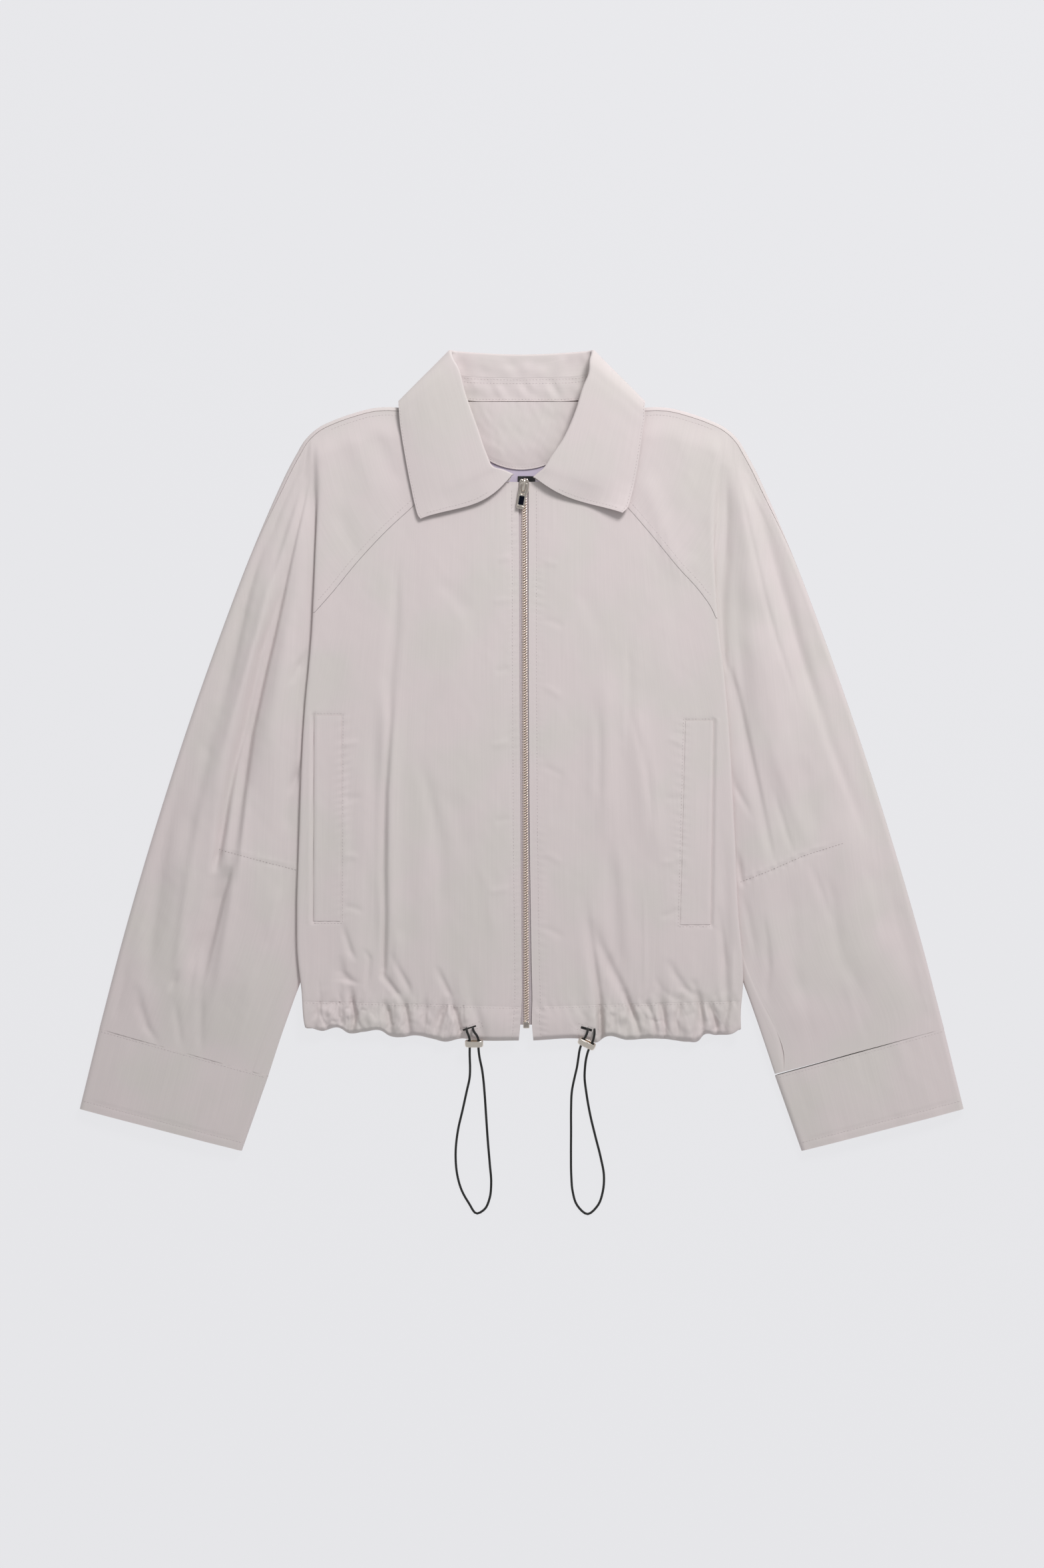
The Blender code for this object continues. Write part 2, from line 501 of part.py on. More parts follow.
# Across the fold at the body's edge: offsets outwards and down, as a step and as a full fold
STEP_PROFILE = np.array([(-4.0, 0.0), (-2.4, 0.3), (-0.8, 1.2), (0.4, 2.4), (1.4, 3.4), (2.6, 4.3), (4.0, 4.6)])
FOLD_PROFILE = np.array([
    (-NOSE_RADIUS, 0.0), (-0.5, 0.5), (0.0, NOSE_RADIUS), (-NOSE_RADIUS, 2 * NOSE_RADIUS),
    (-TUCK_DEPTH, 2 * NOSE_RADIUS), (-TUCK_DEPTH - 0.9, 2 * NOSE_RADIUS + 0.5 * TUCK_GAP),
    (-TUCK_DEPTH, 2 * NOSE_RADIUS + TUCK_GAP),
])
SIDE_PROFILE = np.array([
    (-NOSE_RADIUS, 0.0), (-0.5, 0.5), (0.0, NOSE_RADIUS), (-NOSE_RADIUS, 2 * NOSE_RADIUS),
    (-SIDE_SEAM_INSET + 1.6, 2 * NOSE_RADIUS), (-SIDE_SEAM_INSET, 2 * NOSE_RADIUS + 1.8),
    (-SIDE_SEAM_INSET, CREASE_TOP - 1.7),
])


def crease_fold(side, share):
    """The fold at the body's edge from the shoulder 0 to the armpit 1: a step that becomes a full fold.

    Gives the offsets outwards across it, how much of the fall each has made, and the whole fall.
    """
    soft = 0.16 if side == LEFT else 0.0
    drop = ease((share - soft * 0.4) / 0.45)
    overlap = ease((share - 0.35 - soft) / 0.4)
    profile = mix(STEP_PROFILE[None], FOLD_PROFILE[None], overlap[:, None, None])
    return profile[..., 0], profile[..., 1] / profile[:, -1:, 1], drop * profile[:, -1, 1]


def sleeve_row_ends(side, share):
    """Heights on the outer and inner edges for the rows at shares 0 (shoulder) to 1 (cuff seam)."""
    places = np.linspace(0.0, 1.0, len(SLEEVE_STATIONS))
    outer_y = hermite(places, [row.outer_y for row in SLEEVE_STATIONS], share)
    inner_y = hermite(places, [row.inner_y for row in SLEEVE_STATIONS], share)
    return outer_y, inner_y


def armpit_share(side):
    """Share of the sleeve's rows at which the raglan seam reaches the body's edge."""
    shares = np.linspace(0.0, 1.0, 601)
    inner_y = sleeve_row_ends(side, shares)[1]
    return float(np.interp(-ARMPIT_Y[side], -inner_y, shares))


def sleeve_shares(side):
    """Shares of a sleeve's rows down to the armpit, and below it, closest where the seam under the arm bends."""
    shares = np.linspace(0.0, 1.0, 601)
    inner_y = sleeve_row_ends(side, shares)[1]
    upper = armpit_share(side) * np.linspace(0.0, 1.0, UPPER_ROWS)
    lower = np.interp(-np.array(LOWER_ROWS_Y), -inner_y, shares)
    return upper, lower


def shoulder_seam(x):
    """Points on the seam over the shoulder, just inside the outer edge, at the distances x."""
    line = edge_roll(np.linspace(0.002, 0.24, 240), SHOULDER_SEAM_ANGLE - SEAM_ANGLE)
    x = np.asarray(x, float)
    return np.stack([x, np.interp(x, line[:, 0], line[:, 1]), np.interp(x, line[:, 0], line[:, 2])], axis=-1)


def sleeve_inner_line(side, share):
    """Inner end of each sleeve row on the outer face: under the body's fold, then the seam under the arm."""
    inner_y = sleeve_row_ends(side, share)[1]
    pit = armpit_share(side)
    offset, _, depth = crease_fold(side, np.clip(share / pit, 0.0, 1.0))
    above_x = x_at(CREASE[side], inner_y) + offset[:, -1]
    above_z = CREASE_TOP - depth
    start_x = x_at(CREASE[side], SLEEVE_STATIONS[0].inner_y) + STEP_PROFILE[-1, 0]
    _, start_y, start_z = shoulder_seam(start_x)
    fade = np.clip(1.0 - share / SHOULDER_FADE, 0.0, 1.0)
    below_x = x_at(UNDERARM_SEAM[side], inner_y)
    under = ease((share - pit) / 0.06)
    x = np.where(share <= pit, above_x, mix(above_x, below_x, under))
    rise = 1.0 * ease((-170.0 - inner_y) / 60.0)
    z = np.where(share <= pit, above_z, SLEEVE_UNDER_TOP + rise)
    return np.stack([x, inner_y + (start_y - SLEEVE_STATIONS[0].inner_y) * fade, mix(z, start_z, fade)], axis=-1)


def sleeve_front_surface(side, share, across):
    """Front of the sleeve below the body's fold: rows at share, columns across from inner 0 to outer 1."""
    inner = sleeve_inner_line(side, share)
    outer_y = sleeve_row_ends(side, share)[0]
    place = edge_share_at_y(outer_y)
    seam_angle = over_seam_angle(place) - SEAM_ANGLE
    roll_start = np.minimum(0.0, seam_angle - 0.9)
    top = edge_roll(place, roll_start)
    across = across[None, :]
    flat = mix(inner[:, None, :2], top[:, None, :2], across[..., None])
    width = np.linalg.norm(top[:, :2] - inner[:, :2], axis=-1)[:, None]
    reach = np.minimum(34.0, width * 0.5)
    low_in = ease(1.0 - across * width / reach)
    low_out = ease(1.0 - (1.0 - across) * width / reach)
    crown = mix(FOLDED_EDGE_TOP + 0.3, SLEEVE_TOP, ease(width / 60.0))
    height = crown - (crown - inner[:, None, 2]) * low_in - (crown - FOLDED_EDGE_TOP) * low_out
    folds = fold_height(SLEEVE_FOLDS, side * flat[..., 0], flat[..., 1])
    calm = (1.0 - low_in) * (1.0 - low_out)
    height = height + folds * np.sqrt(np.clip(calm, 0.0, 1.0))
    surface = np.concatenate([flat, height[..., None]], axis=-1)
    roll = [edge_roll(place, mix(roll_start, seam_angle, part)) for part in (0.35, 0.7, 1.0)]
    surface = np.concatenate([surface, np.stack(roll, axis=1)], axis=1)
    first = surface[0]
    on_seam = shoulder_seam(np.linspace(first[0, 0], first[-1, 0], len(first)))
    fade = np.clip(1.0 - share / SHOULDER_FADE, 0.0, 1.0)
    return surface + (on_seam - first)[None] * fade[:, None, None]


def shoulder_surface(side, share, across):
    """Shoulder part of the sleeve's front: rows from the shoulder seam 0 to the raglan 1, out from the body's edge."""
    pit = armpit_share(side)
    crease_y = sleeve_row_ends(side, share * pit)[1]
    crease_x = x_at(CREASE[side], crease_y)
    offset, fall, _ = crease_fold(side, share)
    start_x = crease_x + offset[:, 0]
    shoulder = shoulder_seam(mix(start_x[0], SHOULDER_SEAM_START, across))
    neck_line = [Pair(*shoulder[-1, :2]), Pair(72.0, 308.0), Pair(70.6, 292.0), Pair(67.0, 277.0), Pair(58.8, 266.3)]
    neck = along(neck_line, share)
    raglan_x = mix(start_x[-1], neck_line[-1].x, across)
    raglan_y = raglan_seam_y(side, raglan_x, RAGLAN_GAP)
    raglan = np.stack([raglan_x, raglan_y], axis=-1)
    fold_x = crease_x[:, None] + offset
    fade = np.clip(1.0 - share * pit / SHOULDER_FADE, 0.0, 1.0)[:, None]
    fold_y = crease_y[:, None] + (shoulder_seam(fold_x[0])[:, 1] - crease_y[0])[None] * fade
    fold_y[-1, :-1] = raglan_y[0]
    left = np.stack([start_x, fold_y[:, 0]], axis=-1)
    row, col = share[:, None, None], across[None, :, None]
    top, bottom = shoulder[None, :, :2], raglan[None]
    corners = mix(mix(top[:, :1], bottom[:, :1], row), mix(top[:, -1:], bottom[:, -1:], row), col)
    flat = mix(left[:, None], neck[:, None], col) + mix(top, bottom, row) - corners
    depth = np.linalg.norm(flat - flat[:1], axis=-1)
    height = body_height(side, flat[..., 0], flat[..., 1])
    near = ease(1.0 - depth / 26.0)
    edge_height = mix(height, shoulder[None, :, 2], near)
    fold_points = np.empty((len(share), len(STEP_PROFILE), 3))
    fold_points[..., 0] = fold_x
    fold_points[..., 1] = fold_y
    drop_end = sleeve_inner_line(side, share * pit)
    fold_points[..., 2] = mix(edge_height[:, :1], drop_end[:, 2:], fall)
    fold_points[:, -1] = drop_end
    surface = np.concatenate([flat, edge_height[..., None]], axis=-1)
    return np.concatenate([fold_points[:, ::-1], surface[:, 1:]], axis=1)


def side_fold(side, y, top, bottom):
    """The body's folded edge: round the nose, back under itself and down to the side seam."""
    fold = np.empty((len(y), len(SIDE_PROFILE) - 1, 3))
    fold[..., 0] = x_at(CREASE[side], y)[:, None] + SIDE_PROFILE[None, 1:, 0]
    fold[..., 1] = y[:, None]
    fold[..., 2] = top[:, None] - SIDE_PROFILE[None, 1:, 1]
    fold[:, -1, 2] = bottom
    return fold


def front_surface(side, share, across):
    """A front from its hem seam 0 to its top seam 1, across from the zip edge 0 to the body's edge 1."""
    row, col = share[:, None], across[None, :]
    guess_x = mix(10.0, 190.0, across)
    for _ in range(4):
        top_y = top_seam_y(side, guess_x, SEAM_GAP)
        edge = front_edge_x(side, top_y)
        guess_x = mix(edge, x_at(CREASE[side], top_y) - NOSE_RADIUS, across)
    bottom_x = mix(front_edge_x(side, -235.0), x_at(CREASE[side], -230.0), across)
    bottom_y = hem_seam_y(bottom_x) + 0.5 * HEM_GAP
    y = mix(bottom_y[None, :], top_y[None, :], row)
    x = mix(front_edge_x(side, y), x_at(CREASE[side], y) - NOSE_RADIUS, col)
    z = body_height(side, x, y)
    surface = np.stack([x, y, z], axis=-1)
    return np.concatenate([surface, side_fold(side, y[:, -1], z[:, -1], 1.7)], axis=1)


def hem_front_surface(side, share, across):
    """A front's hem casing, from its seam 0 to its lower edge 1, puffed between the gathers."""
    row = share[:, None]
    seam_x = mix(front_edge_x(side, -235.0), x_at(CREASE[side], -230.0) - NOSE_RADIUS, across)
    seam_y = hem_seam_y(seam_x) - 0.5 * HEM_GAP
    edge_y = y_at(HEM_EDGE[side], seam_x)
    y = mix(seam_y[None], edge_y[None], np.minimum(row, 0.97) / 0.97)
    x = mix(front_edge_x(side, y), x_at(CREASE[side], y) - NOSE_RADIUS, across[None])
    ends = ease((x - front_edge_x(side, y) - 3.0) / 12.0)
    calm = ease((x_at(CREASE[side], y) - x - 2.0) / 10.0)
    puff = HEM_BULGE * np.sin(math.pi * np.clip(row, 0.0, 1.0)) * (0.35 + 0.65 * ends * calm)
    gathers = gather_depth(side, x, y) * ends * (0.45 + 0.55 * np.sin(math.pi * np.clip(row, 0, 1)))
    seam_z = body_height(side, x, np.broadcast_to(seam_y[None], x.shape)) + gather_depth(side, x, seam_y) * ends
    z = seam_z + puff - gathers * calm - gather_depth(side, x, seam_y) * ends * (1 - row) * 0.5
    clear_of_fold = ease((x_at(CREASE[side], y) - x - SIDE_SEAM_INSET + 1.0) / 12.0)
    z = z - mix(0.5, HEM_EDGE_DROP, clear_of_fold) * ease((row - 0.72) / 0.28)
    surface = np.stack([x, y, z], axis=-1)
    return np.concatenate([surface, side_fold(side, y[:, -1], z[:, -1], 2.2)], axis=1)


# The sleeve's curled inner edge: each point's offset from the fold, the share of the reach to the seam
# that is added, and the share of the height that it has risen
CURL_PROFILE = [
    (3.4, 0.0, 0.0), (0.7, 0.0, 0.17), (0.0, 0.0, 0.5), (0.6, 0.0, 0.84), (0.0, 0.6, 1.0), (0.0, 1.0, 1.0),
]


def uncurl(profile, curl, shorten):
    """A curled edge opened out: every segment keeps its length and turns by only a share of its angle."""
    steps = np.diff(profile, axis=1)
    turned = np.arctan2(steps[..., 1], -steps[..., 0]) * curl[:, None]
    reach = np.linalg.norm(steps, axis=-1) * mix(shorten, 1.0, curl)[:, None]
    path = np.zeros_like(profile)
    path[:, 1:, 0] = -np.cumsum(reach * np.cos(turned), axis=1)
    path[:, 1:, 1] = np.cumsum(reach * np.sin(turned), axis=1)
    path[..., 0] -= path[..., 0].min(axis=1, keepdims=True)
    return path


def sleeve_back_surface(side):
    """Back of the sleeve: from the seam over the arm, round the edge, across the underside to its inner edge.

    Its rows leave the outer edge where the front's rows do. Down to the armpit they end on the raglan
    seam of the back, and below it they turn up round the fold under the arm and meet the front there.
    """
    upper, lower = sleeve_shares(side)
    crease_x = x_at(CREASE[side], sleeve_row_ends(side, 0.0)[1])
    shoulder_x = np.linspace(SHOULDER_SEAM_START, crease_x + STEP_PROFILE[0, 0], SHOULDER_COLUMNS)
    shoulder_x = np.concatenate([shoulder_x, crease_x + np.array([4.0, 8.0, 12.0])])
    upper_place = edge_share_at_y(sleeve_row_ends(side, upper)[0])
    lower_place = edge_share_at_y(sleeve_row_ends(side, lower)[0])
    place = np.concatenate([edge_share_at_x(shoulder_x), upper_place, lower_place])
    rows, flat_rows = len(place), len(place) - len(lower)

    heights = [283.0, 225.0]
    knots = np.array([0.0, 0.045, 0.10, 0.165, *edge_share_at_y(heights), upper_place[-1]])
    raglan_share = np.interp(place[:flat_rows], knots, np.linspace(0.0, 1.0, len(knots)))
    raglan = along(BACK_RAGLAN[side], raglan_share) + SEAM_GAP
    seam = sleeve_inner_line(side, lower)[:, :2] - np.array([2.0 * SEAM_GAP, 0.0])
    bottom = edge_roll(place, math.pi)
    fold = seam.copy()
    for _ in range(6):
        fold[:, 0] = x_at(SLEEVE_FOLD[side], fold[:, 1])
        towards = bottom[flat_rows:, :2] - fold
        towards = towards / np.linalg.norm(towards, axis=-1, keepdims=True)
        fold[:, 1] = seam[:, 1] - towards[:, 1] * (seam[:, 0] - fold[:, 0]) / towards[:, 0]
    end = np.concatenate([raglan, fold])
    reach = np.concatenate([np.full(flat_rows, 3.0), np.linalg.norm(seam - fold, axis=-1)])
    curl = np.concatenate([np.zeros(flat_rows), [FIRST_CURL], np.ones(len(lower) - 1)])

    start_angle = over_seam_angle(place) + SEAM_ANGLE
    roll = [edge_roll(place, mix(start_angle, math.pi, part)) for part in (0.0, 0.16, 0.52, 1.0)]
    towards = bottom[:, :2] - end
    length = np.linalg.norm(towards, axis=-1)
    towards = towards / length[:, None]
    fold_top = SLEEVE_UNDER_TOP + 1.0 * ease((-170.0 - end[:, 1]) / 60.0)
    parts = []
    for part in (0.72, 0.38):
        parts.append(np.concatenate([mix(end, bottom[:, :2], part), np.zeros((rows, 1))], axis=-1))
    profile = [np.stack([offset + of_reach * reach, rise * fold_top], axis=-1)
               for offset, of_reach, rise in CURL_PROFILE]
    profile = uncurl(np.stack(profile, axis=1), curl, np.minimum(1.0, length / 70.0))
    for point in range(len(CURL_PROFILE)):
        plan = end + towards * profile[:, point, :1]
        parts.append(np.concatenate([plan, profile[:, point, 1:]], axis=-1))
    for points in parts:
        points[:, 2] += back_lift(points[:, 0], points[:, 1])
    return np.stack(roll + parts, axis=1)


BACK_ROWS = (0.0, 0.11, 0.23, 0.36, 0.5, 0.63, 0.75, 0.83, 0.885, 0.93, 0.965, 1.0)


def back_surface(columns):
    """The back, face down: rows from the hem seam to the neck and raglan seams, across from right to left."""
    across = np.linspace(-1.0, 1.0, columns)
    share = np.array(BACK_ROWS)
    points = np.zeros((len(share), columns, 3))
    for column, place in enumerate(across):
        side = LEFT if place > 0 else RIGHT
        out = abs(place)
        x = out * 181.0
        for _ in range(5):
            if x < BACK_RAGLAN[side][0].x:
                top = 320.3
            else:
                top = float(y_at(BACK_RAGLAN[side], x)) - SEAM_GAP
            x = out * (float(x_at(CREASE[side], min(top, 118.0))) - SIDE_SEAM_INSET + 0.3)
        y = mix(-232.2, top, share)
        edge = x_at(CREASE[side], np.minimum(y, 118.0)) - SIDE_SEAM_INSET + 0.3
        points[:, column, 0] = side * out * edge
        points[:, column, 1] = y
        points[:, column, 2] = back_lift(out * edge, y)
    return points


def hem_back_surface(columns):
    """The back's hem casing, face down."""
    across = np.linspace(-1.0, 1.0, columns)
    points = np.zeros((3, columns, 3))
    for row, y in enumerate((-232.8, -241.0, BACK_HEM_BOTTOM)):
        left = float(x_at(CREASE[LEFT], y)) - SIDE_SEAM_INSET + 0.3
        right = float(x_at(CREASE[RIGHT], y)) - SIDE_SEAM_INSET + 0.3
        points[row, :, 0] = np.where(across > 0, across * left, across * right)
        ripple = 0.7 * np.sin(across * 40.0) if row == 2 else 0.0
        points[row, :, 1] = y + ripple
    return points


def cuff_surface(rows):
    """A cuff as a flattened tube: rows from the seam to the mouth, round from its outer edge over the top."""
    share = np.linspace(0.0, 1.0, rows)[:, None]
    seam = np.array(CUFF_SEAM)
    mouth = np.array(CUFF_MOUTH)
    outer = mix(seam[0], mouth[0], share)
    inner = mix(seam[1], mouth[1], share)
    span = np.linalg.norm(inner - outer, axis=-1)
    unit = (inner - outer) / span[:, None]
    half = EDGE_RADIUS
    top = mix(CUFF_TOP - 0.8, CUFF_TOP, np.sin(math.pi * share[:, 0] * 0.5))
    points = []
    for angle in np.linspace(math.pi, 0.0, 5):
        plan = outer + unit * (half - half * math.sin(angle))
        height = mix(0.0, FOLDED_EDGE_TOP, 0.5 * (1.0 + math.cos(angle)))
        points.append((plan, np.full(rows, height)))
    for place in np.linspace(0.0, 1.0, 11)[1:-1]:
        plan = outer + unit * mix(half, span - half, place)[:, None]
        crown = mix(FOLDED_EDGE_TOP, top, ease(place / 0.2) * ease((1.0 - place) / 0.2))
        points.append((plan, crown))
    for angle in np.linspace(0.0, math.pi, 5):
        plan = inner - unit * (half - half * math.sin(angle))
        height = mix(0.0, FOLDED_EDGE_TOP, 0.5 * (1.0 + math.cos(angle)))
        points.append((plan, np.full(rows, height)))
    for place in np.linspace(1.0, 0.0, 7)[1:]:
        plan = outer + unit * mix(half, span - half, place)[:, None]
        points.append((plan, np.zeros(rows)))
    return np.stack([np.concatenate([plan, height[:, None]], axis=-1) for plan, height in points], axis=1)


def collar_stations(rows_each):
    """The collar's stations all round, from the wearer's right end to the left, with x signed."""
    halves = []
    for side in (RIGHT, LEFT):
        rows = [np.array(row, float) for row in COLLAR_BACK + COLLAR_FRONT[side]]
        table = np.array(rows)
        steps = np.linalg.norm(np.diff(table[:, 4:10], axis=0), axis=1)
        knots = np.concatenate([[0.0], np.cumsum(steps)])
        places = np.concatenate([np.linspace(knots[a], knots[a + 1], rows_each, endpoint=False)
                                 for a in range(len(knots) - 1)] + [[knots[-1]]])
        values = hermite(knots, table, places)
        values[:, [1, 4, 7]] *= side
        halves.append(values)
    return np.concatenate([halves[0][:0:-1], halves[1]])


def collar_frame(station):
    """Face direction of the leaf, roll's middle, leaf's edge and neck point of each station."""
    turn = np.radians(station[:, 0])
    side = np.where(np.arange(len(station)) < len(station) // 2, RIGHT, LEFT)
    roll = station[:, 4:7]
    edge = station[:, 7:10]
    neck = station[:, 1:4]
    level = np.stack([side * 0.69, np.full(len(side), 0.72), np.zeros(len(side))], axis=-1)
    up = np.array([0.0, 0.0, 1.0])
    face = level * np.cos(turn)[:, None] + up * np.sin(turn)[:, None]
    away = roll - edge
    away = away - face * np.sum(away * face, axis=1)[:, None]
    away = away / np.linalg.norm(away, axis=1)[:, None]
    return face, roll, edge, neck, away


def leaf_end_offset(edge, start, rows_each, share):
    """How far the leaf's points near its front ends lie off a straight line, at a share from edge to roll."""
    count = len(edge)
    index = np.arange(count)
    bow = np.where(index < count // 2, LEAF_ENDS[RIGHT].bow, LEAF_ENDS[LEFT].bow)
    lift = np.where(index < count // 2, LEAF_ENDS[RIGHT].lift, LEAF_ENDS[LEFT].lift)
    from_end = np.minimum(index, count - 1 - index) / rows_each
    bow = bow * ease(1.0 - from_end / 1.6) * math.sin(math.pi * share ** 1.45)
    lift = lift * ease(1.0 - from_end / 3.0) * math.cos(2.0 * math.pi * share) * (1.0 - share)
    run = start[:, :2] - edge[:, :2]
    run = run / np.linalg.norm(run, axis=1, keepdims=True)
    return np.stack([bow * run[:, 1] * np.sign(run[:, 0]), -bow * np.abs(run[:, 0]), lift], axis=-1)


def collar_surface(rows_each, leaf_columns):
    """The turned-down collar: the leaf from its edge to the roll, round it, and down to the stand's seam."""
    station = collar_stations(rows_each)
    face, roll, edge, neck, away = collar_frame(station)
    start = roll + face * COLLAR_NOSE - away * COLLAR_NOSE
    up_facing = np.clip(np.sin(np.radians(station[:, 0])), 0.0, 1.0)[:, None]
    columns = []
    for share in np.linspace(0.0, 1.0, leaf_columns):
        crown = 1.2 * math.sin(math.pi * share)
        point = mix(edge, start, share) + face * crown * up_facing
        columns.append(point + leaf_end_offset(edge, start, rows_each, share))
    for angle in (0.5 * math.pi - 0.8, 0.5 * math.pi, 0.5 * math.pi + 0.8):
        offset = face * math.cos(angle) * COLLAR_NOSE + away * (math.sin(angle) - 1.0) * COLLAR_NOSE
        columns.append(roll + offset)
    under = roll - face * COLLAR_NOSE - away * COLLAR_NOSE
    columns.append(under)
    columns.append(mix(under, neck, COLLAR_SHARE))
    return np.stack(columns, axis=1)


def stand_surface(rows_each):
    """The collar stand, from the collar's seam to the neck seam."""
    station = collar_stations(rows_each)
    face, roll, _, neck, away = collar_frame(station)
    under = roll - face * COLLAR_NOSE - away * COLLAR_NOSE
    length = np.linalg.norm(neck - under, axis=1)[:, None]
    start = mix(under, neck, np.minimum(COLLAR_SHARE + COLLAR_GAP / length, STAND_START_LIMIT))
    columns = [mix(start, neck, share) for share in (0.0, 0.34, 0.67, 1.0)]
    return np.stack(columns, axis=1)


def side_grid(side, points):
    """Grid points with x turned from outwards to signed."""
    points = points.copy()
    points[..., 0] *= side
    return points


def grid_mesh(builder, points):
    """Adds a grid to a bmesh and puts its vertices on the points, row by row."""
    rows, columns = points.shape[:2]
    made = bmesh.ops.create_grid(builder, x_segments=columns - 1, y_segments=rows - 1, size=0.5)
    order = sorted(made["verts"], key=lambda vert: (round(vert.co.y, 5), round(vert.co.x, 5)))
    for vert, point in zip(order, points.reshape(-1, 3)):
        vert.co = point * MM


def cloth_piece(name, grids, material, wall, collection, flip=False):
    """One cloth piece from one or more grids that share edges, with its wall on the inner side."""
    builder = bmesh.new()
    for points in grids:
        grid_mesh(builder, points)
    bmesh.ops.remove_doubles(builder, verts=builder.verts, dist=0.00002)
    if flip:
        bmesh.ops.reverse_faces(builder, faces=builder.faces)
    mesh = bpy.data.meshes.new(name)
    builder.to_mesh(mesh)
    builder.free()
    mesh.shade_smooth()
    piece = bpy.data.objects.new(name, mesh)
    piece.data.materials.append(material)
    collection.objects.link(piece)
    wall_maker = piece.modifiers.new("Wall", "SOLIDIFY")
    wall_maker.thickness = wall * MM
    wall_maker.offset = -1.0
    return piece


def block(name, size, centre, bevel, material, collection, shift=(0.0, 0.0, 0.0)):
    """A box with rounded edges, its size and place in mm, and its middle moved from its origin by a shift."""
    builder = bmesh.new()
    bmesh.ops.create_cube(builder, size=1.0)
    bmesh.ops.scale(builder, vec=[value * MM for value in size], verts=builder.verts)
    bmesh.ops.translate(builder, vec=[value * MM for value in shift], verts=builder.verts)
    mesh = bpy.data.meshes.new(name)
    builder.to_mesh(mesh)
    builder.free()
    piece = bpy.data.objects.new(name, mesh)
    piece.location = [value * MM for value in centre]
    piece.data.materials.append(material)
    collection.objects.link(piece)
    if bevel:
        rounding = piece.modifiers.new("Rounding", "BEVEL")
        rounding.width = bevel * MM
        rounding.segments = 2
    return piece


def cut(piece, tool, operation="DIFFERENCE"):
    """A Boolean on the piece with a hidden tool."""
    tool.hide_render = True
    tool.display_type = "WIRE"
    boolean = piece.modifiers.new(operation.title(), "BOOLEAN")
    boolean.operation = operation
    boolean.object = tool
    boolean.solver = "EXACT"


def tube(name, points, radius, material, collection):
    """A round cord or wire along the points, as a curve with closed ends."""
    curve = bpy.data.curves.new(name, "CURVE")
    curve.dimensions = "3D"
    curve.bevel_depth = radius * MM
    curve.bevel_resolution = 2
    curve.use_fill_caps = True
    spline = curve.splines.new("POLY")
    spline.points.add(len(points) - 1)
    for place, point in zip(spline.points, points):
        place.co = (*(point * MM), 1.0)
    curve.materials.append(material)
    piece = bpy.data.objects.new(name, curve)
    collection.objects.link(piece)
    return piece


def solid_of(curve_piece, collection):
    """The tube of a curve as a mesh, so that a Boolean can take it."""
    bpy.context.view_layer.update()
    shown = curve_piece.evaluated_get(bpy.context.evaluated_depsgraph_get())
    mesh = bpy.data.meshes.new_from_object(shown)
    builder = bmesh.new()
    builder.from_mesh(mesh)
    bmesh.ops.remove_doubles(builder, verts=builder.verts, dist=0.00001)
    builder.to_mesh(mesh)
    builder.free()
    piece = bpy.data.objects.new(f"{curve_piece.name}_solid", mesh)
    piece.location = curve_piece.location
    collection.objects.link(piece)
    bpy.data.objects.remove(curve_piece, do_unlink=True)
    return piece


def zip_x(y):
    """Middle of the zip chain, which drifts a little from top to bottom."""
    return mix(ZIP_X_TOP, ZIP_X_BOTTOM, (ZIP_TOP - y) / (ZIP_TOP - ZIP_BOTTOM))


def strip(name, x_left, x_right, y_top, y_bottom, top, wall, material, collection):
    """A flat strip that follows the zip, between two distances from its middle."""
    heights = np.linspace(y_bottom, y_top, 3)
    points = np.zeros((3, 3, 3))
    for row, y in enumerate(heights):
        points[row, :, 0] = zip_x(y) + np.linspace(x_left, x_right, 3)
        points[row, :, 1] = y
        points[row, :, 2] = top
    return cloth_piece(name, [points], material, wall, collection)


def make_fronts(parts, cloth):
    """The two fronts with their casings and welts."""
    rows = np.linspace(0.0, 1.0, 18)
    across = np.linspace(0.0, 1.0, 13)
    hem_rows = np.array([0.0, 0.22, 0.5, 0.76, 0.92, 1.0])
    hem_across = np.linspace(0.0, 1.0, 28)
    for side, name in SIDE_NAMES.items():
        flip = side == RIGHT
        front = side_grid(side, front_surface(side, rows, across))
        cloth_piece(f"front_{name}", [front], cloth, CLOTH, parts, flip=flip)
        hem = side_grid(side, hem_front_surface(side, hem_rows, hem_across))
        cloth_piece(f"hem_front_{name}", [hem], cloth, CLOTH, parts, flip=not flip)
        welt = WELTS[side]
        share = np.linspace(0.0, 1.0, 6)[:, None]
        y = mix(welt.y_bottom, welt.y_top, share) + np.zeros((1, 4))
        inner = mix(welt.inner_bottom, welt.inner_top, share)
        outer = mix(welt.outer_bottom, welt.outer_top, share)
        x = mix(inner, outer, np.linspace(0.0, 1.0, 4)[None])
        z = body_height(side, x, y) + LAY_GAP + WELT_WALL
        points = side_grid(side, np.stack([x, y, z], axis=-1))
        cloth_piece(f"welt_{name}", [points], cloth, WELT_WALL, parts, flip=flip)


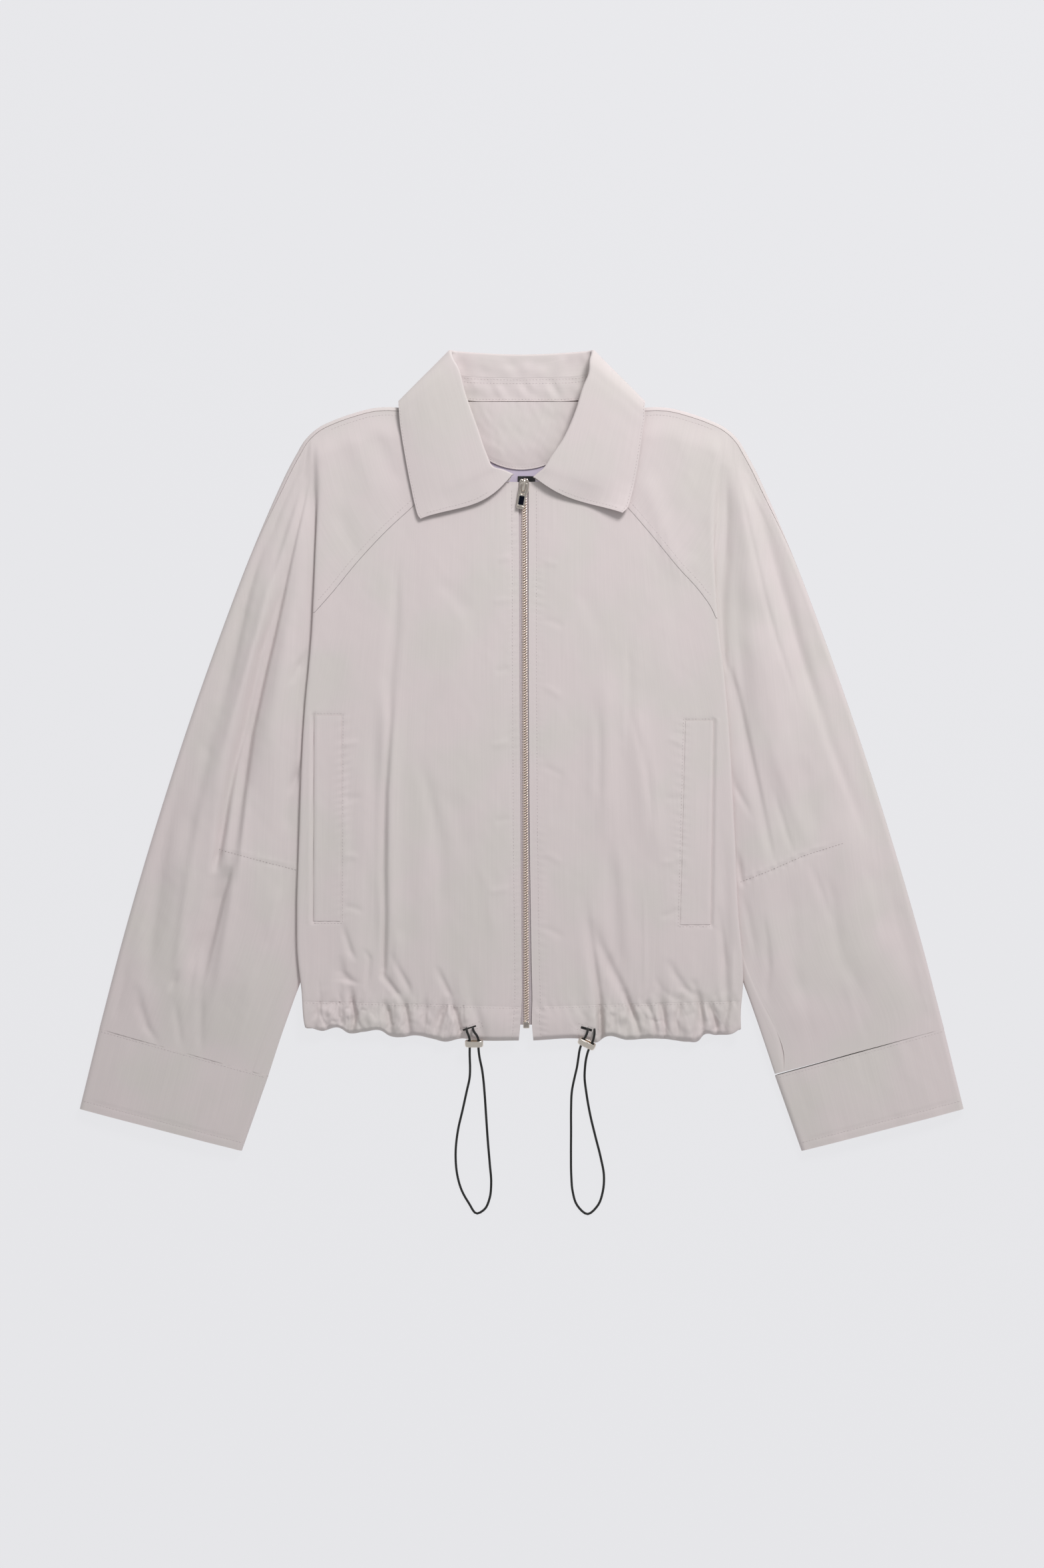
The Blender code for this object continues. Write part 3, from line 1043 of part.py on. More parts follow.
def make_sleeves(parts, cloth):
    """The sleeves' fronts and backs, and the cuffs."""
    for side, name in SIDE_NAMES.items():
        flip = side == RIGHT
        share = np.concatenate(sleeve_shares(side))
        across = np.linspace(0.0, 1.0, 11)
        sleeve = side_grid(side, sleeve_front_surface(side, share, across))
        down = np.linspace(0.0, 1.0, UPPER_ROWS)
        shoulder = side_grid(side, shoulder_surface(side, down, np.linspace(0.0, 1.0, SHOULDER_COLUMNS)))
        cloth_piece(f"sleeve_front_{name}", [sleeve, shoulder[:, ::-1]], cloth, CLOTH, parts, flip=not flip)
        back = side_grid(side, sleeve_back_surface(side))
        cloth_piece(f"sleeve_back_{name}", [back], cloth, CLOTH, parts, flip=not flip)
        cuff = side_grid(side, cuff_surface(3))
        cloth_piece(f"cuff_{name}", [cuff], cloth, DOUBLE_CLOTH, parts, flip=flip)


def make_back(parts, cloth):
    """The back and its hem casing."""
    cloth_piece("back", [back_surface(17)], cloth, CLOTH, parts, flip=True)
    cloth_piece("hem_back", [hem_back_surface(31)], cloth, DOUBLE_CLOTH, parts)


def make_facing(parts, lilac, label_cloth):
    """The half-moon facing inside the back neck and the bare label below it."""
    across = np.linspace(-FACING_SPAN, FACING_SPAN, 9)
    share = np.linspace(0.0, 1.0, 5)[:, None]
    bottom = FACING_TOP - FACING_DEPTH * np.sqrt(1.0 - across ** 2)
    y = mix(bottom[None], FACING_TOP, share)
    x = np.broadcast_to(across * FACING_HALF_WIDTH, y.shape)
    z = CLOTH + REST_GAP + FACING_WALL + back_lift(np.abs(x), y)
    cloth_piece("back_facing", [np.stack([x, y, z], axis=-1)], lilac, FACING_WALL, parts)
    x, y, width, length = LABEL
    z = CLOTH + REST_GAP + 0.5 * LABEL_WALL
    block("label", (width, length, LABEL_WALL), (x, y, z), 0.0, label_cloth, parts)


def make_zip(parts, tools, tape_cloth, metal):
    """Tapes, chain and bottom box, and the slider with its pull tab at the top."""
    near, far = TAPE_INSET, TAPE_INSET + TAPE_WIDTH
    strip("zip_tape_right", -far, -near, 246.0, ZIP_BOTTOM, TAPE_TOP, TAPE_WALL, tape_cloth, parts)
    strip("zip_tape_left", near, far, 246.0, ZIP_BOTTOM, TAPE_TOP, TAPE_WALL, tape_cloth, parts)
    half = 0.5 * CHAIN_WIDTH
    chain_top = CHAIN_MIDDLE + 0.5 * CHAIN_HEIGHT
    strip("zip_chain", -half, half, CHAIN_TOP_END, CHAIN_BOTTOM_END, chain_top, CHAIN_HEIGHT, metal, parts)
    box_y, box_z = BOX_MIDDLE
    block("zip_box", BOX_SIZE, (float(zip_x(box_y)), box_y, box_z), 0.5, metal, parts)

    x, y = SLIDER_MIDDLE
    plate_z = SLIDER_PLATE_BOTTOM + 0.5 * SLIDER_SIZE[2]
    under_z = SLIDER_UNDER_TOP - 0.5 * SLIDER_UNDER[2]
    slider = block("zip_slider", SLIDER_SIZE, (x, y, plate_z), 0.45, metal, parts)
    under = block("slider_under_plate", SLIDER_UNDER, (x, y + 0.6, under_z), 0.0, metal, tools)
    post_size = (*SLIDER_POST, plate_z - under_z)
    post = block("slider_post", post_size, (x, SLIDER_POST_Y, 0.5 * (plate_z + under_z)), 0.0, metal, tools)
    arch_foot = SLIDER_PLATE_BOTTOM + SLIDER_SIZE[2]
    route = []
    for angle in np.linspace(-0.18, math.pi + 0.18, 11):
        reach = BRIDGE_HALF * math.cos(angle)
        route.append((PULL_AXIS[0] - reach * math.sin(PULL_TILT), PULL_AXIS[1] - reach * math.cos(PULL_TILT),
                      arch_foot + BRIDGE_RISE * math.sin(angle)))
    bridge = solid_of(tube("slider_bridge", np.array(route), BRIDGE_WIRE, metal, tools), tools)
    for piece in (under, post, bridge):
        cut(slider, piece, "UNION")

    width, length, wall = PULL_SIZE
    pull = block("zip_pull", PULL_SIZE, PULL_AXIS, 0.0, metal, parts, shift=(0.0, 0.5 * (PULL_BAR - length), 0.0))
    pull.rotation_euler = (0.0, 0.0, -PULL_TILT)
    window_y = -0.5 * (PULL_BAR + PULL_EYE[1])
    window = block("pull_eye", (*PULL_EYE, 3.0 * wall), PULL_AXIS, 0.0, metal, tools, shift=(0.0, window_y, 0.0))
    window.rotation_euler = (0.0, 0.0, -PULL_TILT)
    cut(pull, window)
    rounding = pull.modifiers.new("Rounding", "BEVEL")
    rounding.width = 0.25 * MM


def make_cords(parts, tools, cord_material, metal):
    """The two elastic loops at the hem and the metal lock on each."""
    for side, name in SIDE_NAMES.items():
        points = along(CORD_ROUTES[side], CORD_SHARES)
        tube(f"hem_cord_{name}", points, CORD_RADIUS, cord_material, parts)
        lock = LOCKS[side]
        turn = (math.radians(lock.lean), 0.0, math.radians(lock.turn))
        middle = (lock.x, lock.y, lock.z)
        body = block(f"cord_lock_{name}", (lock.length, lock.width, lock.height), middle, 0.0, metal, parts)
        slot_size = (lock.slot, lock.width * 2.0, CORD_RADIUS * 2.0 + 2.0 * LOCK_CLEAR)
        slot = block(f"lock_slot_{name}", slot_size, middle, 0.0, metal, tools)
        slot_round = slot.modifiers.new("Rounding", "BEVEL")
        slot_round.width = 0.3 * MM
        for piece in (body, slot):
            piece.rotation_euler = turn
        rounding = body.modifiers.new("Rounding", "BEVEL")
        rounding.width = 1.3 * MM
        rounding.segments = 3
        cut(body, slot)


def make_collar(parts, cloth):
    """The collar and its stand."""
    cloth_piece("collar", [collar_surface(1, 5)], cloth, CLOTH, parts)
    cloth_piece("collar_stand", [stand_surface(1)], cloth, CLOTH, parts)


def main():
    clear_objects()
    parts = make_collection("cropped_jacket")
    tools = make_collection("cutters")
    tools.hide_render = True
    cloth = make_material("cotton cloth", COLOURS["cloth"], 0.85)
    lilac = make_material("lilac inner cloth", COLOURS["lilac"], 0.85)
    label_cloth = make_material("black label cloth", COLOURS["label"], 0.7)
    tape_cloth = make_material("zip tape", COLOURS["tape"], 0.9)
    metal = make_material("zip and lock metal", COLOURS["metal"], 0.3, 1.0)
    cord_material = make_material("black elastic cord", COLOURS["cord"], 0.75)
    make_back(parts, cloth)
    make_facing(parts, lilac, label_cloth)
    make_fronts(parts, cloth)
    make_sleeves(parts, cloth)
    make_collar(parts, cloth)
    make_zip(parts, tools, tape_cloth, metal)
    make_cords(parts, tools, cord_material, metal)


main()
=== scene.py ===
# %% [markdown]
# # A cropped zip jacket, laid flat
# The jacket lies on its back on a pale surface with its front up, and the camera looks straight
# down on it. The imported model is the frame: it gives every piece its place. This notebook makes the
# finer skin around it: the same panels with more points, their small creases, the sewing,
# the metal teeth and the finishes. Lengths here are millimetres, and `MM` turns them into metres.
# +X is the wearer's left, +Y points from hem to collar, and +Z up from the surface.

import math
from collections import namedtuple

import bpy
import bmesh
import numpy as np
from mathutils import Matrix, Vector
from mathutils.bvhtree import BVHTree


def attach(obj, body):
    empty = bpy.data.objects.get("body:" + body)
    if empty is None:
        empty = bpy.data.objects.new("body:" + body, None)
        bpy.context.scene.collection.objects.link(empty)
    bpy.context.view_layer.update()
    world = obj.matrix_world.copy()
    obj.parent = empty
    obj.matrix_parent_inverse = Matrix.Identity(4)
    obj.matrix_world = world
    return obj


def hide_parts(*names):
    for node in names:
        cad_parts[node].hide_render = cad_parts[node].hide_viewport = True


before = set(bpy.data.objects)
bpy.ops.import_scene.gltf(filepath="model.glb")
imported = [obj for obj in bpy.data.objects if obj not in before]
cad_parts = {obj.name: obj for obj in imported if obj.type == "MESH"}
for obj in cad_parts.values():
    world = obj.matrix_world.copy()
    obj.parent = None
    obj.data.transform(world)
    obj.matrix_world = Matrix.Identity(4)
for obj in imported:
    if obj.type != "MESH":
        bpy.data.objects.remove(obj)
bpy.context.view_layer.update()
MM = 0.001

# %% [markdown]
# ## The camera
# A product shot of a laid garment is taken from high above with a long lens, so that nothing is
# foreshortened. The photograph's frame is 956 by 1437 mm of the surface. With the sensor's height
# and the camera's distance known, the lens that covers this height is distance x sensor / height.
# `scene_object` puts the camera, and later every lamp and mesh, into the scene.

# %% The camera straight above
PHOTO_SIZE_PX = (1568, 2356)
MM_PER_PX = 0.61
PHOTO_MIDDLE = (0.3, -30.7)
CAMERA_HEIGHT = 3400.0
SENSOR_HEIGHT = 36.0
JACKET_TOP = 11.0


def scene_object(name, data):
    """A new object that shows the data, linked into the scene."""
    piece = bpy.data.objects.new(name, data)
    bpy.context.scene.collection.objects.link(piece)
    return piece


camera_data = bpy.data.cameras.new("camera")
camera_data.sensor_fit = "VERTICAL"
camera_data.sensor_height = SENSOR_HEIGHT
camera_data.lens = (CAMERA_HEIGHT - JACKET_TOP) * SENSOR_HEIGHT / (PHOTO_SIZE_PX[1] * MM_PER_PX)
camera_data.clip_end = 20.0
camera = scene_object("camera", camera_data)
camera.location = (PHOTO_MIDDLE[0] * MM, PHOTO_MIDDLE[1] * MM, CAMERA_HEIGHT * MM)
bpy.context.scene.camera = camera
print(f"lens {camera_data.lens:.1f} mm")

# %% [markdown]
# ## Smooth curves through a few points
# Every outline of the jacket is a short list of measured points. These helpers make smooth
# curves of them, so that a panel's edge can be read at any place. `hermite` joins neighbouring
# points with cubic pieces whose slopes are those of the line between the points on either side.

# %% Curve helpers
Pair = namedtuple("Pair", "x y")
LEFT, RIGHT = 1, -1
SIDE_NAMES = {LEFT: "left", RIGHT: "right"}


def pairs(*points):
    """A list of named pairs, one for each (x, y)."""
    return [Pair(*point) for point in points]


def signed_power(value, power):
    """A value to a power, with its sign kept."""
    return np.sign(value) * np.abs(value) ** power


def ease(value):
    """0 below 0, 1 above 1, and a smooth step between."""
    value = np.clip(value, 0.0, 1.0)
    return value * value * (3.0 - 2.0 * value)


def bell(distance, width):
    """1 in the middle and near 0 beyond twice the width."""
    return np.exp(-((distance / width) ** 2))


def mix(start, end, share):
    """The value that lies at a share of the way from start to end."""
    return start + (end - start) * share


def faded(share, part):
    """1 over the middle of the shares 0 to 1, fading to 0 over a part of them at each end."""
    return ease(share / part) * ease((1.0 - share) / part)


def even(count):
    """Shares from 0 to 1 in even steps."""
    return np.linspace(0.0, 1.0, count)


def joined(*axes):
    """Points from their coordinates, whose arrays are first spread to one shape."""
    return np.stack(np.broadcast_arrays(*axes), axis=-1)


def unit(vectors):
    """Vectors of the same directions with the length 1."""
    return vectors / np.linalg.norm(vectors, axis=-1, keepdims=True)


def arc_length(points):
    """Length of the line through the points up to each of them."""
    steps = np.linalg.norm(np.diff(points, axis=0), axis=1)
    return np.concatenate([[0.0], np.cumsum(steps)])


def hermite(knots, values, at):
    """A smooth curve through values at rising knots, read at the places given."""
    knots = np.asarray(knots, float)
    values = np.asarray(values, float)
    slope = np.gradient(values, knots, axis=0)
    at = np.clip(np.asarray(at, float), knots[0], knots[-1])
    place = np.clip(np.searchsorted(knots, at, side="right") - 1, 0, len(knots) - 2)
    span = knots[place + 1] - knots[place]
    part = (at - knots[place]) / span
    if values.ndim == 2:
        span, part = span[..., None], part[..., None]
    keep = (1 + 2 * part) * (1 - part) ** 2
    turn = part ** 2 * (3 - 2 * part)
    out_slope = part * (1 - part) ** 2 * span
    in_slope = part ** 2 * (part - 1) * span
    return (keep * values[place] + turn * values[place + 1]
            + out_slope * slope[place] + in_slope * slope[place + 1])


def along(points, share):
    """Points at the shares 0 to 1 of the length of a smooth curve through the points."""
    points = np.asarray(points, float)
    knots = arc_length(points)
    return hermite(knots / knots[-1], points, share)


def x_at(pairs, y):
    """X of an edge that runs down the jacket, at the heights y."""
    rows = sorted(pairs, key=lambda pair: pair.y)
    return hermite([row.y for row in rows], [row.x for row in rows], y)


def y_at(pairs, x):
    """Y of an edge that runs across the jacket, at the distances x."""
    rows = sorted(pairs, key=lambda pair: pair.x)
    return hermite([row.x for row in rows], [row.y for row in rows], x)


def refine(points, steps, axis=0):
    """A finer grid: steps pieces for each old one, on the smooth curve through the old rows."""
    moved = np.moveaxis(np.asarray(points, float), axis, 0)
    count = len(moved)
    at = np.linspace(0, count - 1, (count - 1) * steps + 1)
    smooth = hermite(np.arange(count), moved.reshape(count, -1), at)
    return np.moveaxis(smooth.reshape(len(at), *moved.shape[1:]), 0, axis)


def resample(values, steps):
    """A rising or falling list with steps equal parts between each two neighbours."""
    count = len(values)
    at = np.linspace(0, count - 1, (count - 1) * steps + 1)
    return np.interp(at, np.arange(count), values)


print("half way up a smooth step:", ease(0.5))

# %% [markdown]
# ## Finishes: how a colour gets into a shader
# Colours are written as the sRGB hex values that an eye would pick from a screen. Shaders count in
# linear light, so one function converts them. Another adds a node, sets its inputs and joins it to
# earlier nodes. Short ones for the kinds that recur keep each material a short recipe.

# %% Material helpers
def linear(hex_colour):
    """Linear RGBA of an sRGB hex colour: the standard curve, a power of 2.4 above a short straight foot."""
    values = np.array([int(hex_colour[place:place + 2], 16) for place in (1, 3, 5)]) / 255.0
    low = values / 12.92
    high = ((values + 0.055) / 1.055) ** 2.4
    return (*np.where(values <= 0.04045, low, high), 1.0)


def add_node(tree, kind, inputs=None, **settings):
    """A node with its settings; inputs maps a socket to a value or to another node's output."""
    node = tree.nodes.new(kind)
    for name, value in settings.items():
        setattr(node, name, value)
    for name, value in (inputs or {}).items():
        if isinstance(value, bpy.types.NodeSocket):
            tree.links.new(value, node.inputs[name])
        else:
            node.inputs[name].default_value = value
    return node


def new_material(name, **shader_values):
    """A material with its Principled shader set, and its tree and shader for more nodes."""
    material = bpy.data.materials.new(name)
    material.use_nodes = True
    shader = material.node_tree.nodes["Principled BSDF"]
    for socket, value in shader_values.items():
        shader.inputs[socket.replace("_", " ")].default_value = value
    return material, material.node_tree, shader


def wave(tree, place, period, axis="X", **inputs):
    """Bands that repeat every period metres: such a texture has the scale 2 pi / (20 period)."""
    scale = 2.0 * math.pi / (20.0 * period)
    inputs = {"Vector": place, "Scale": scale, **inputs}
    return add_node(tree, "ShaderNodeTexWave", inputs, bands_direction=axis).outputs["Fac"]


def noise(tree, place, scale, **inputs):
    """Soft random clouds, scale of them to the metre."""
    return add_node(tree, "ShaderNodeTexNoise", {"Vector": place, "Scale": scale, **inputs}).outputs["Fac"]


def map_range(tree, value, start, end, low=0.0, high=1.0):
    """The value with start to end stretched to low to high."""
    inputs = {"Value": value, "From Min": start, "From Max": end, "To Min": low, "To Max": high}
    return add_node(tree, "ShaderNodeMapRange", inputs).outputs["Result"]


def blend(tree, share, start, end):
    """The colour at a share of the way between two, each a value or another node's output."""
    inputs = {"Factor": share, "A": start, "B": end}
    return add_node(tree, "ShaderNodeMix", inputs, data_type="RGBA").outputs["Result"]


def combine(tree, operation, one, two):
    """Two values joined by a sum or another operation."""
    return add_node(tree, "ShaderNodeMath", {0: one, 1: two}, operation=operation).outputs["Value"]


def add_relief(tree, shader, height, strength, depth):
    """Small relief in the shading only: the height bends the shader's normal."""
    relief = add_node(tree, "ShaderNodeBump", {"Height": height, "Strength": strength, "Distance": depth})
    tree.links.new(relief.outputs["Normal"], shader.inputs["Normal"])


print("linear value of a mid grey:", round(float(linear("#808080")[0]), 3))

# %% [markdown]
# ## The jacket's cloth
# The cloth is a light washed cotton poplin: a plain weave of fine yarn, dyed greyish lilac. Such
# cloth is matt, with a faint bloom of fibre ends at grazing angles. Its threads lie 0.35 mm apart,
# far too fine for the picture, so the weave is drawn 0.6 mm coarse, which shows as a soft
# grain. Yarn of uneven thickness leaves streaks along the grain, and washing leaves pale and lilac
# clouds a few centimetres wide. The weave follows each panel's own UV map, whose unit is a metre.

# %% Washed cotton poplin
WEAVE_PERIOD = 0.6 * MM
WEAVE_DEPTH = 0.12 * MM
SLUBS_PER_METRE = 700.0
SLUB_STRETCH = (1.0, 0.02, 1.0)
CLOUD_SIZE = 70.0 * MM
FIBRE_SIZE = 0.5 * MM


def cotton_poplin(name, colours):
    """Plain weave from two crossed waves, yarn streaks, and clouds of two tints over the ground colour."""
    ground, warm, cool = (linear(colour) for colour in colours)
    material, tree, shader = new_material(name, Roughness=0.86, IOR=1.5, Specular_IOR_Level=0.3,
                                          Sheen_Weight=0.12, Sheen_Roughness=0.5)
    place = add_node(tree, "ShaderNodeTexCoord").outputs
    cloud = noise(tree, place["Object"], 1.0 / CLOUD_SIZE, Detail=2.0)
    warm_share = map_range(tree, cloud, 0.42, 0.66)
    cool_share = map_range(tree, cloud, 0.52, 0.32)
    tinted = blend(tree, cool_share, blend(tree, warm_share, ground, warm), cool)
    stretched = add_node(tree, "ShaderNodeMapping", {"Vector": place["UV"], "Scale": SLUB_STRETCH})
    slub = noise(tree, stretched.outputs["Vector"], SLUBS_PER_METRE, Detail=1.0)
    shade = map_range(tree, slub, 0.3, 0.7, 0.986, 1.012)
    streaked = add_node(tree, "ShaderNodeVectorMath", {"Vector": tinted, "Scale": shade}, operation="SCALE")
    tree.links.new(streaked.outputs["Vector"], shader.inputs["Base Color"])
    across = wave(tree, place["UV"], WEAVE_PERIOD, "X", Distortion=0.6, Detail=1.0)
    down = wave(tree, place["UV"], WEAVE_PERIOD, "Y", Distortion=0.6, Detail=1.0)
    threads = combine(tree, "ADD", across, down)
    add_relief(tree, shader, combine(tree, "ADD", threads, slub), 0.14, WEAVE_DEPTH)
    return material


def spun_thread(name, colour):
    """Matt sewing thread, whose shine varies with its fibres."""
    material, tree, shader = new_material(name, Base_Color=linear(colour), Specular_IOR_Level=0.3)
    place = add_node(tree, "ShaderNodeTexCoord").outputs
    fibres = noise(tree, place["Object"], 1.0 / FIBRE_SIZE)
    tree.links.new(map_range(tree, fibres, 0.0, 1.0, 0.5, 0.8), shader.inputs["Roughness"])
    return material


poplin = cotton_poplin("washed cotton poplin", ("#D4CAC9", "#D6CACA", "#D2CAC7"))
facing_poplin = cotton_poplin("cotton poplin facing", ("#D3C9C8", "#D5C9C9", "#D1C9C6"))
lilac_poplin = cotton_poplin("lilac inner poplin", ("#C3B8CC", "#C9BFCE", "#BDB1C8"))
thread_matt = spun_thread("spun polyester thread", "#CFC5C5")
# The dart's thread is darker than the cloth: painted shade for the narrow groove along the dart seam, which
# the sleeve's grid is too coarse to show.
dart_shade_thread = spun_thread("dart seam thread darkened as painted shade", "#A89D9C")
print("cloth finishes:", [material.name for material in (poplin, facing_poplin, lilac_poplin)])

# %% [markdown]
# ## Metals, cord, tape and label
# The slider, its pull, the bottom box and the cord locks are die-cast zinc, nickel plated and
# polished: bright, nearly white, with soft tumbling marks. The teeth are brass with a thin nickel
# flash, which keeps a hint of gold. The elastic cord has a braided black polyester sleeve, the
# zip tape is a ribbed twill in the cloth's colour, and the neck label is black satin, left bare.

# %% Hardware and trim finishes
BRAID_LEAN = math.radians(52.0)


def plated_metal(name, colour, roughness, mark_size):
    """Polished plating: fine noise varies its roughness and dents it slightly, as tumbling does."""
    material, tree, shader = new_material(name, Base_Color=linear(colour), Metallic=1.0)
    place = add_node(tree, "ShaderNodeTexCoord").outputs
    marks = noise(tree, place["Object"], 1.0 / mark_size, Detail=3.0)
    worn = map_range(tree, marks, 0.3, 0.7, roughness * 0.7, roughness * 1.4)
    tree.links.new(worn, shader.inputs["Roughness"])
    add_relief(tree, shader, marks, 0.12, 0.05 * MM)
    return material


def braided_cord(name, colour, braid_period):
    """Round braid: two waves that cross on the cord's own UV map, one leaning each way."""
    material, tree, shader = new_material(name, Base_Color=linear(colour), Roughness=0.72, IOR=1.5,
                                          Sheen_Weight=0.2)
    place = add_node(tree, "ShaderNodeTexCoord").outputs
    waves = []
    for lean in (BRAID_LEAN, -BRAID_LEAN):
        turned = add_node(tree, "ShaderNodeMapping", {"Vector": place["UV"], "Rotation": (0.0, 0.0, lean)})
        waves.append(wave(tree, turned.outputs["Vector"], braid_period))
    add_relief(tree, shader, combine(tree, "MAXIMUM", *waves), 0.7, 0.2 * MM)
    return material


def ribbed_tape(name, rib_colour, groove_shade_colour, rib_period):
    """Twill tape: ribs along its length, and a thread pattern across, with painted shade in the grooves
    between the ribs.
    """
    material, tree, shader = new_material(name, Roughness=0.8, IOR=1.5)
    place = add_node(tree, "ShaderNodeTexCoord").outputs
    ribs = wave(tree, place["Object"], rib_period, "X")
    picks = wave(tree, place["Object"], 0.7 * rib_period, "Y")
    height = combine(tree, "ADD", ribs, picks)
    # Painted shade: the grooves between the ribs take the darker colour.
    shade = blend(tree, ribs, linear(groove_shade_colour), linear(rib_colour))
    tree.links.new(shade, shader.inputs["Base Color"])
    add_relief(tree, shader, height, 0.5, 0.2 * MM)
    return material


def satin_weave(name, colour, float_period):
    """Satin: long thread floats that shine along one direction."""
    material, tree, shader = new_material(name, Base_Color=linear(colour), Roughness=0.42, IOR=1.5,
                                          Anisotropic=0.5)
    place = add_node(tree, "ShaderNodeTexCoord").outputs
    floats = wave(tree, place["Object"], float_period, "X", Distortion=1.0)
    add_relief(tree, shader, floats, 0.3, 0.1 * MM)
    return material


nickel = plated_metal("nickel plated zinc", "#EADFD5", 0.16, 1.5 * MM)
tooth_metal = plated_metal("nickel flashed brass teeth", "#EBD8CB", 0.36, 1.0 * MM)
dark_mirror = plated_metal("dark mirror inlay", "#262A3A", 0.12, 3.0 * MM)
elastic = braided_cord("braided black polyester", "#0D0D0D", 1.3 * MM)
tape_weave = ribbed_tape("zip tape twill with painted groove shade", "#C8BCBF", "#B3A7AA", 0.9 * MM)
black_satin = satin_weave("black woven satin", "#161517", 0.8 * MM)
print("hardware and trim finishes ready")

# %% [markdown]
# ## Light and the surface below
# The picture's shade says how it was lit: the collar leaves throw soft grey shadows down the jacket
# that are two or three times as long as the leaves stand high, so a soft lamp stands low
# above the upper right, and a pale room lights the rest. The ground is a light table, as used
# for cut-out product pictures: it glows by itself, so shadows on it stay faint. A grey patch right
# overhead, where the photographer stands, gives the metal parts something darker to mirror.

# %% Floor and lamps
FLOOR_HALF = 2.4
FLOOR_TOP = -0.1
KEY_PLACE = (0.75, 1.6, 1.5)
KEY_SIZE = 0.75
KEY_POWER = 37.0
ROOM_STRENGTH = 0.53
TABLE_GLOW = 0.79
OVERHEAD_FROM, OVERHEAD_TO = 0.965, 0.99

table_face = new_material("light table", Base_Color=linear("#38383A"), Roughness=0.95, Specular_IOR_Level=0.1,
                          Emission_Strength=TABLE_GLOW, Emission_Color=linear("#FBFBFE"))[0]
floor_mesh = bpy.data.meshes.new("floor")
corners = np.array([(-1, -1), (1, -1), (1, 1), (-1, 1)]) * FLOOR_HALF
floor_mesh.from_pydata([(x, y, FLOOR_TOP * MM) for x, y in corners], [], [(0, 1, 2, 3)])
floor_mesh.materials.append(table_face)
scene_object("floor", floor_mesh)

key = bpy.data.lights.new("key lamp", "AREA")
key.shape = "DISK"
key.size = KEY_SIZE
key.energy = KEY_POWER
key_piece = scene_object("key lamp", key)
key_piece.location = KEY_PLACE
key_piece.rotation_euler = (-Vector(KEY_PLACE)).to_track_quat("-Z", "Y").to_euler()

world = bpy.data.worlds.new("studio")
world.use_nodes = True
room = world.node_tree
direction = add_node(room, "ShaderNodeTexCoord")
height = add_node(room, "ShaderNodeSeparateXYZ", {"Vector": direction.outputs["Generated"]})
overhead = map_range(room, height.outputs["Z"], OVERHEAD_FROM, OVERHEAD_TO)
background = room.nodes["Background"].inputs
room.links.new(blend(room, overhead, linear("#F4F7F7"), linear("#B8B8BA")), background["Color"])
background["Strength"].default_value = ROOM_STRENGTH
bpy.context.scene.world = world
bpy.context.scene.view_settings.view_transform = "Standard"
print("table at", FLOOR_TOP, "mm, one soft lamp at", KEY_PLACE, "and a pale room")

# %% [markdown]
# ## Getting a surface into a mesh
# A panel is a grid of points, rows by columns, worked out as whole arrays. `panel_mesh` numbers
# the grid's corners, makes a quad of every four neighbours, and gives it a UV map in metres along
# the cloth. Solidify then adds the wall on the inner side, so the grid is the face that shows.

# %% From a grid to a cloth piece
CLOTH = 1.2
DOUBLE_CLOTH = 1.5
CLOTH_WELD = 0.02 * MM
FORM_WELD = 0.005 * MM
declared = {}


def surface_lengths(points):
    """Distances along the cloth in mm: across from each row's start, and down from the first row."""
    across, down = np.zeros((2, *points.shape[:2]))
    across[:, 1:] = np.cumsum(np.linalg.norm(np.diff(points, axis=1), axis=-1), axis=1)
    down[1:] = np.cumsum(np.linalg.norm(np.diff(points, axis=0), axis=-1), axis=0)
    return across, down


def flat_size(grids):
    """Largest width, largest length and area in mm of the cloth in the grids, as it was cut."""
    width = sum(surface_lengths(points)[0][:, -1].max() for points in grids)
    length = max(surface_lengths(points)[1][-1].max() for points in grids)
    area = 0.0
    for points in grids:
        one = np.cross(points[1:, :-1] - points[:-1, :-1], points[:-1, 1:] - points[:-1, :-1])
        two = np.cross(points[1:, :-1] - points[1:, 1:], points[:-1, 1:] - points[1:, 1:])
        area += 0.5 * (np.linalg.norm(one, axis=-1).sum() + np.linalg.norm(two, axis=-1).sum())
    return width, length, area


def panel_mesh(name, grids):
    """A mesh of one or more grids in mm, with quads between neighbours and a UV map in metres."""
    verts, faces, uvs = [], [], []
    first = 0
    for points in grids:
        rows, columns = points.shape[:2]
        index = first + np.arange(rows * columns).reshape(rows, columns)
        quads = joined(index[:-1, :-1], index[:-1, 1:], index[1:, 1:], index[1:, :-1])
        verts.append(points.reshape(-1, 3))
        faces.append(quads.reshape(-1, 4))
        across, down = surface_lengths(points)
        uvs.append(joined(across, down).reshape(-1, 2))
        first += rows * columns
    verts, faces, uvs = np.concatenate(verts), np.concatenate(faces), np.concatenate(uvs)
    mesh = bpy.data.meshes.new(name)
    mesh.vertices.add(len(verts))
    mesh.vertices.foreach_set("co", (verts * MM).astype(np.float32).ravel())
    mesh.loops.add(faces.size)
    mesh.loops.foreach_set("vertex_index", faces.astype(np.int32).ravel())
    mesh.polygons.add(len(faces))
    mesh.polygons.foreach_set("loop_start", np.arange(0, faces.size, 4, dtype=np.int32))
    mesh.update(calc_edges=True)
    uv_map = mesh.uv_layers.new(name="along the cloth")
    uv_map.data.foreach_set("uv", (uvs[faces.ravel()] * MM).astype(np.float32).ravel())
    mesh.validate()
    return mesh


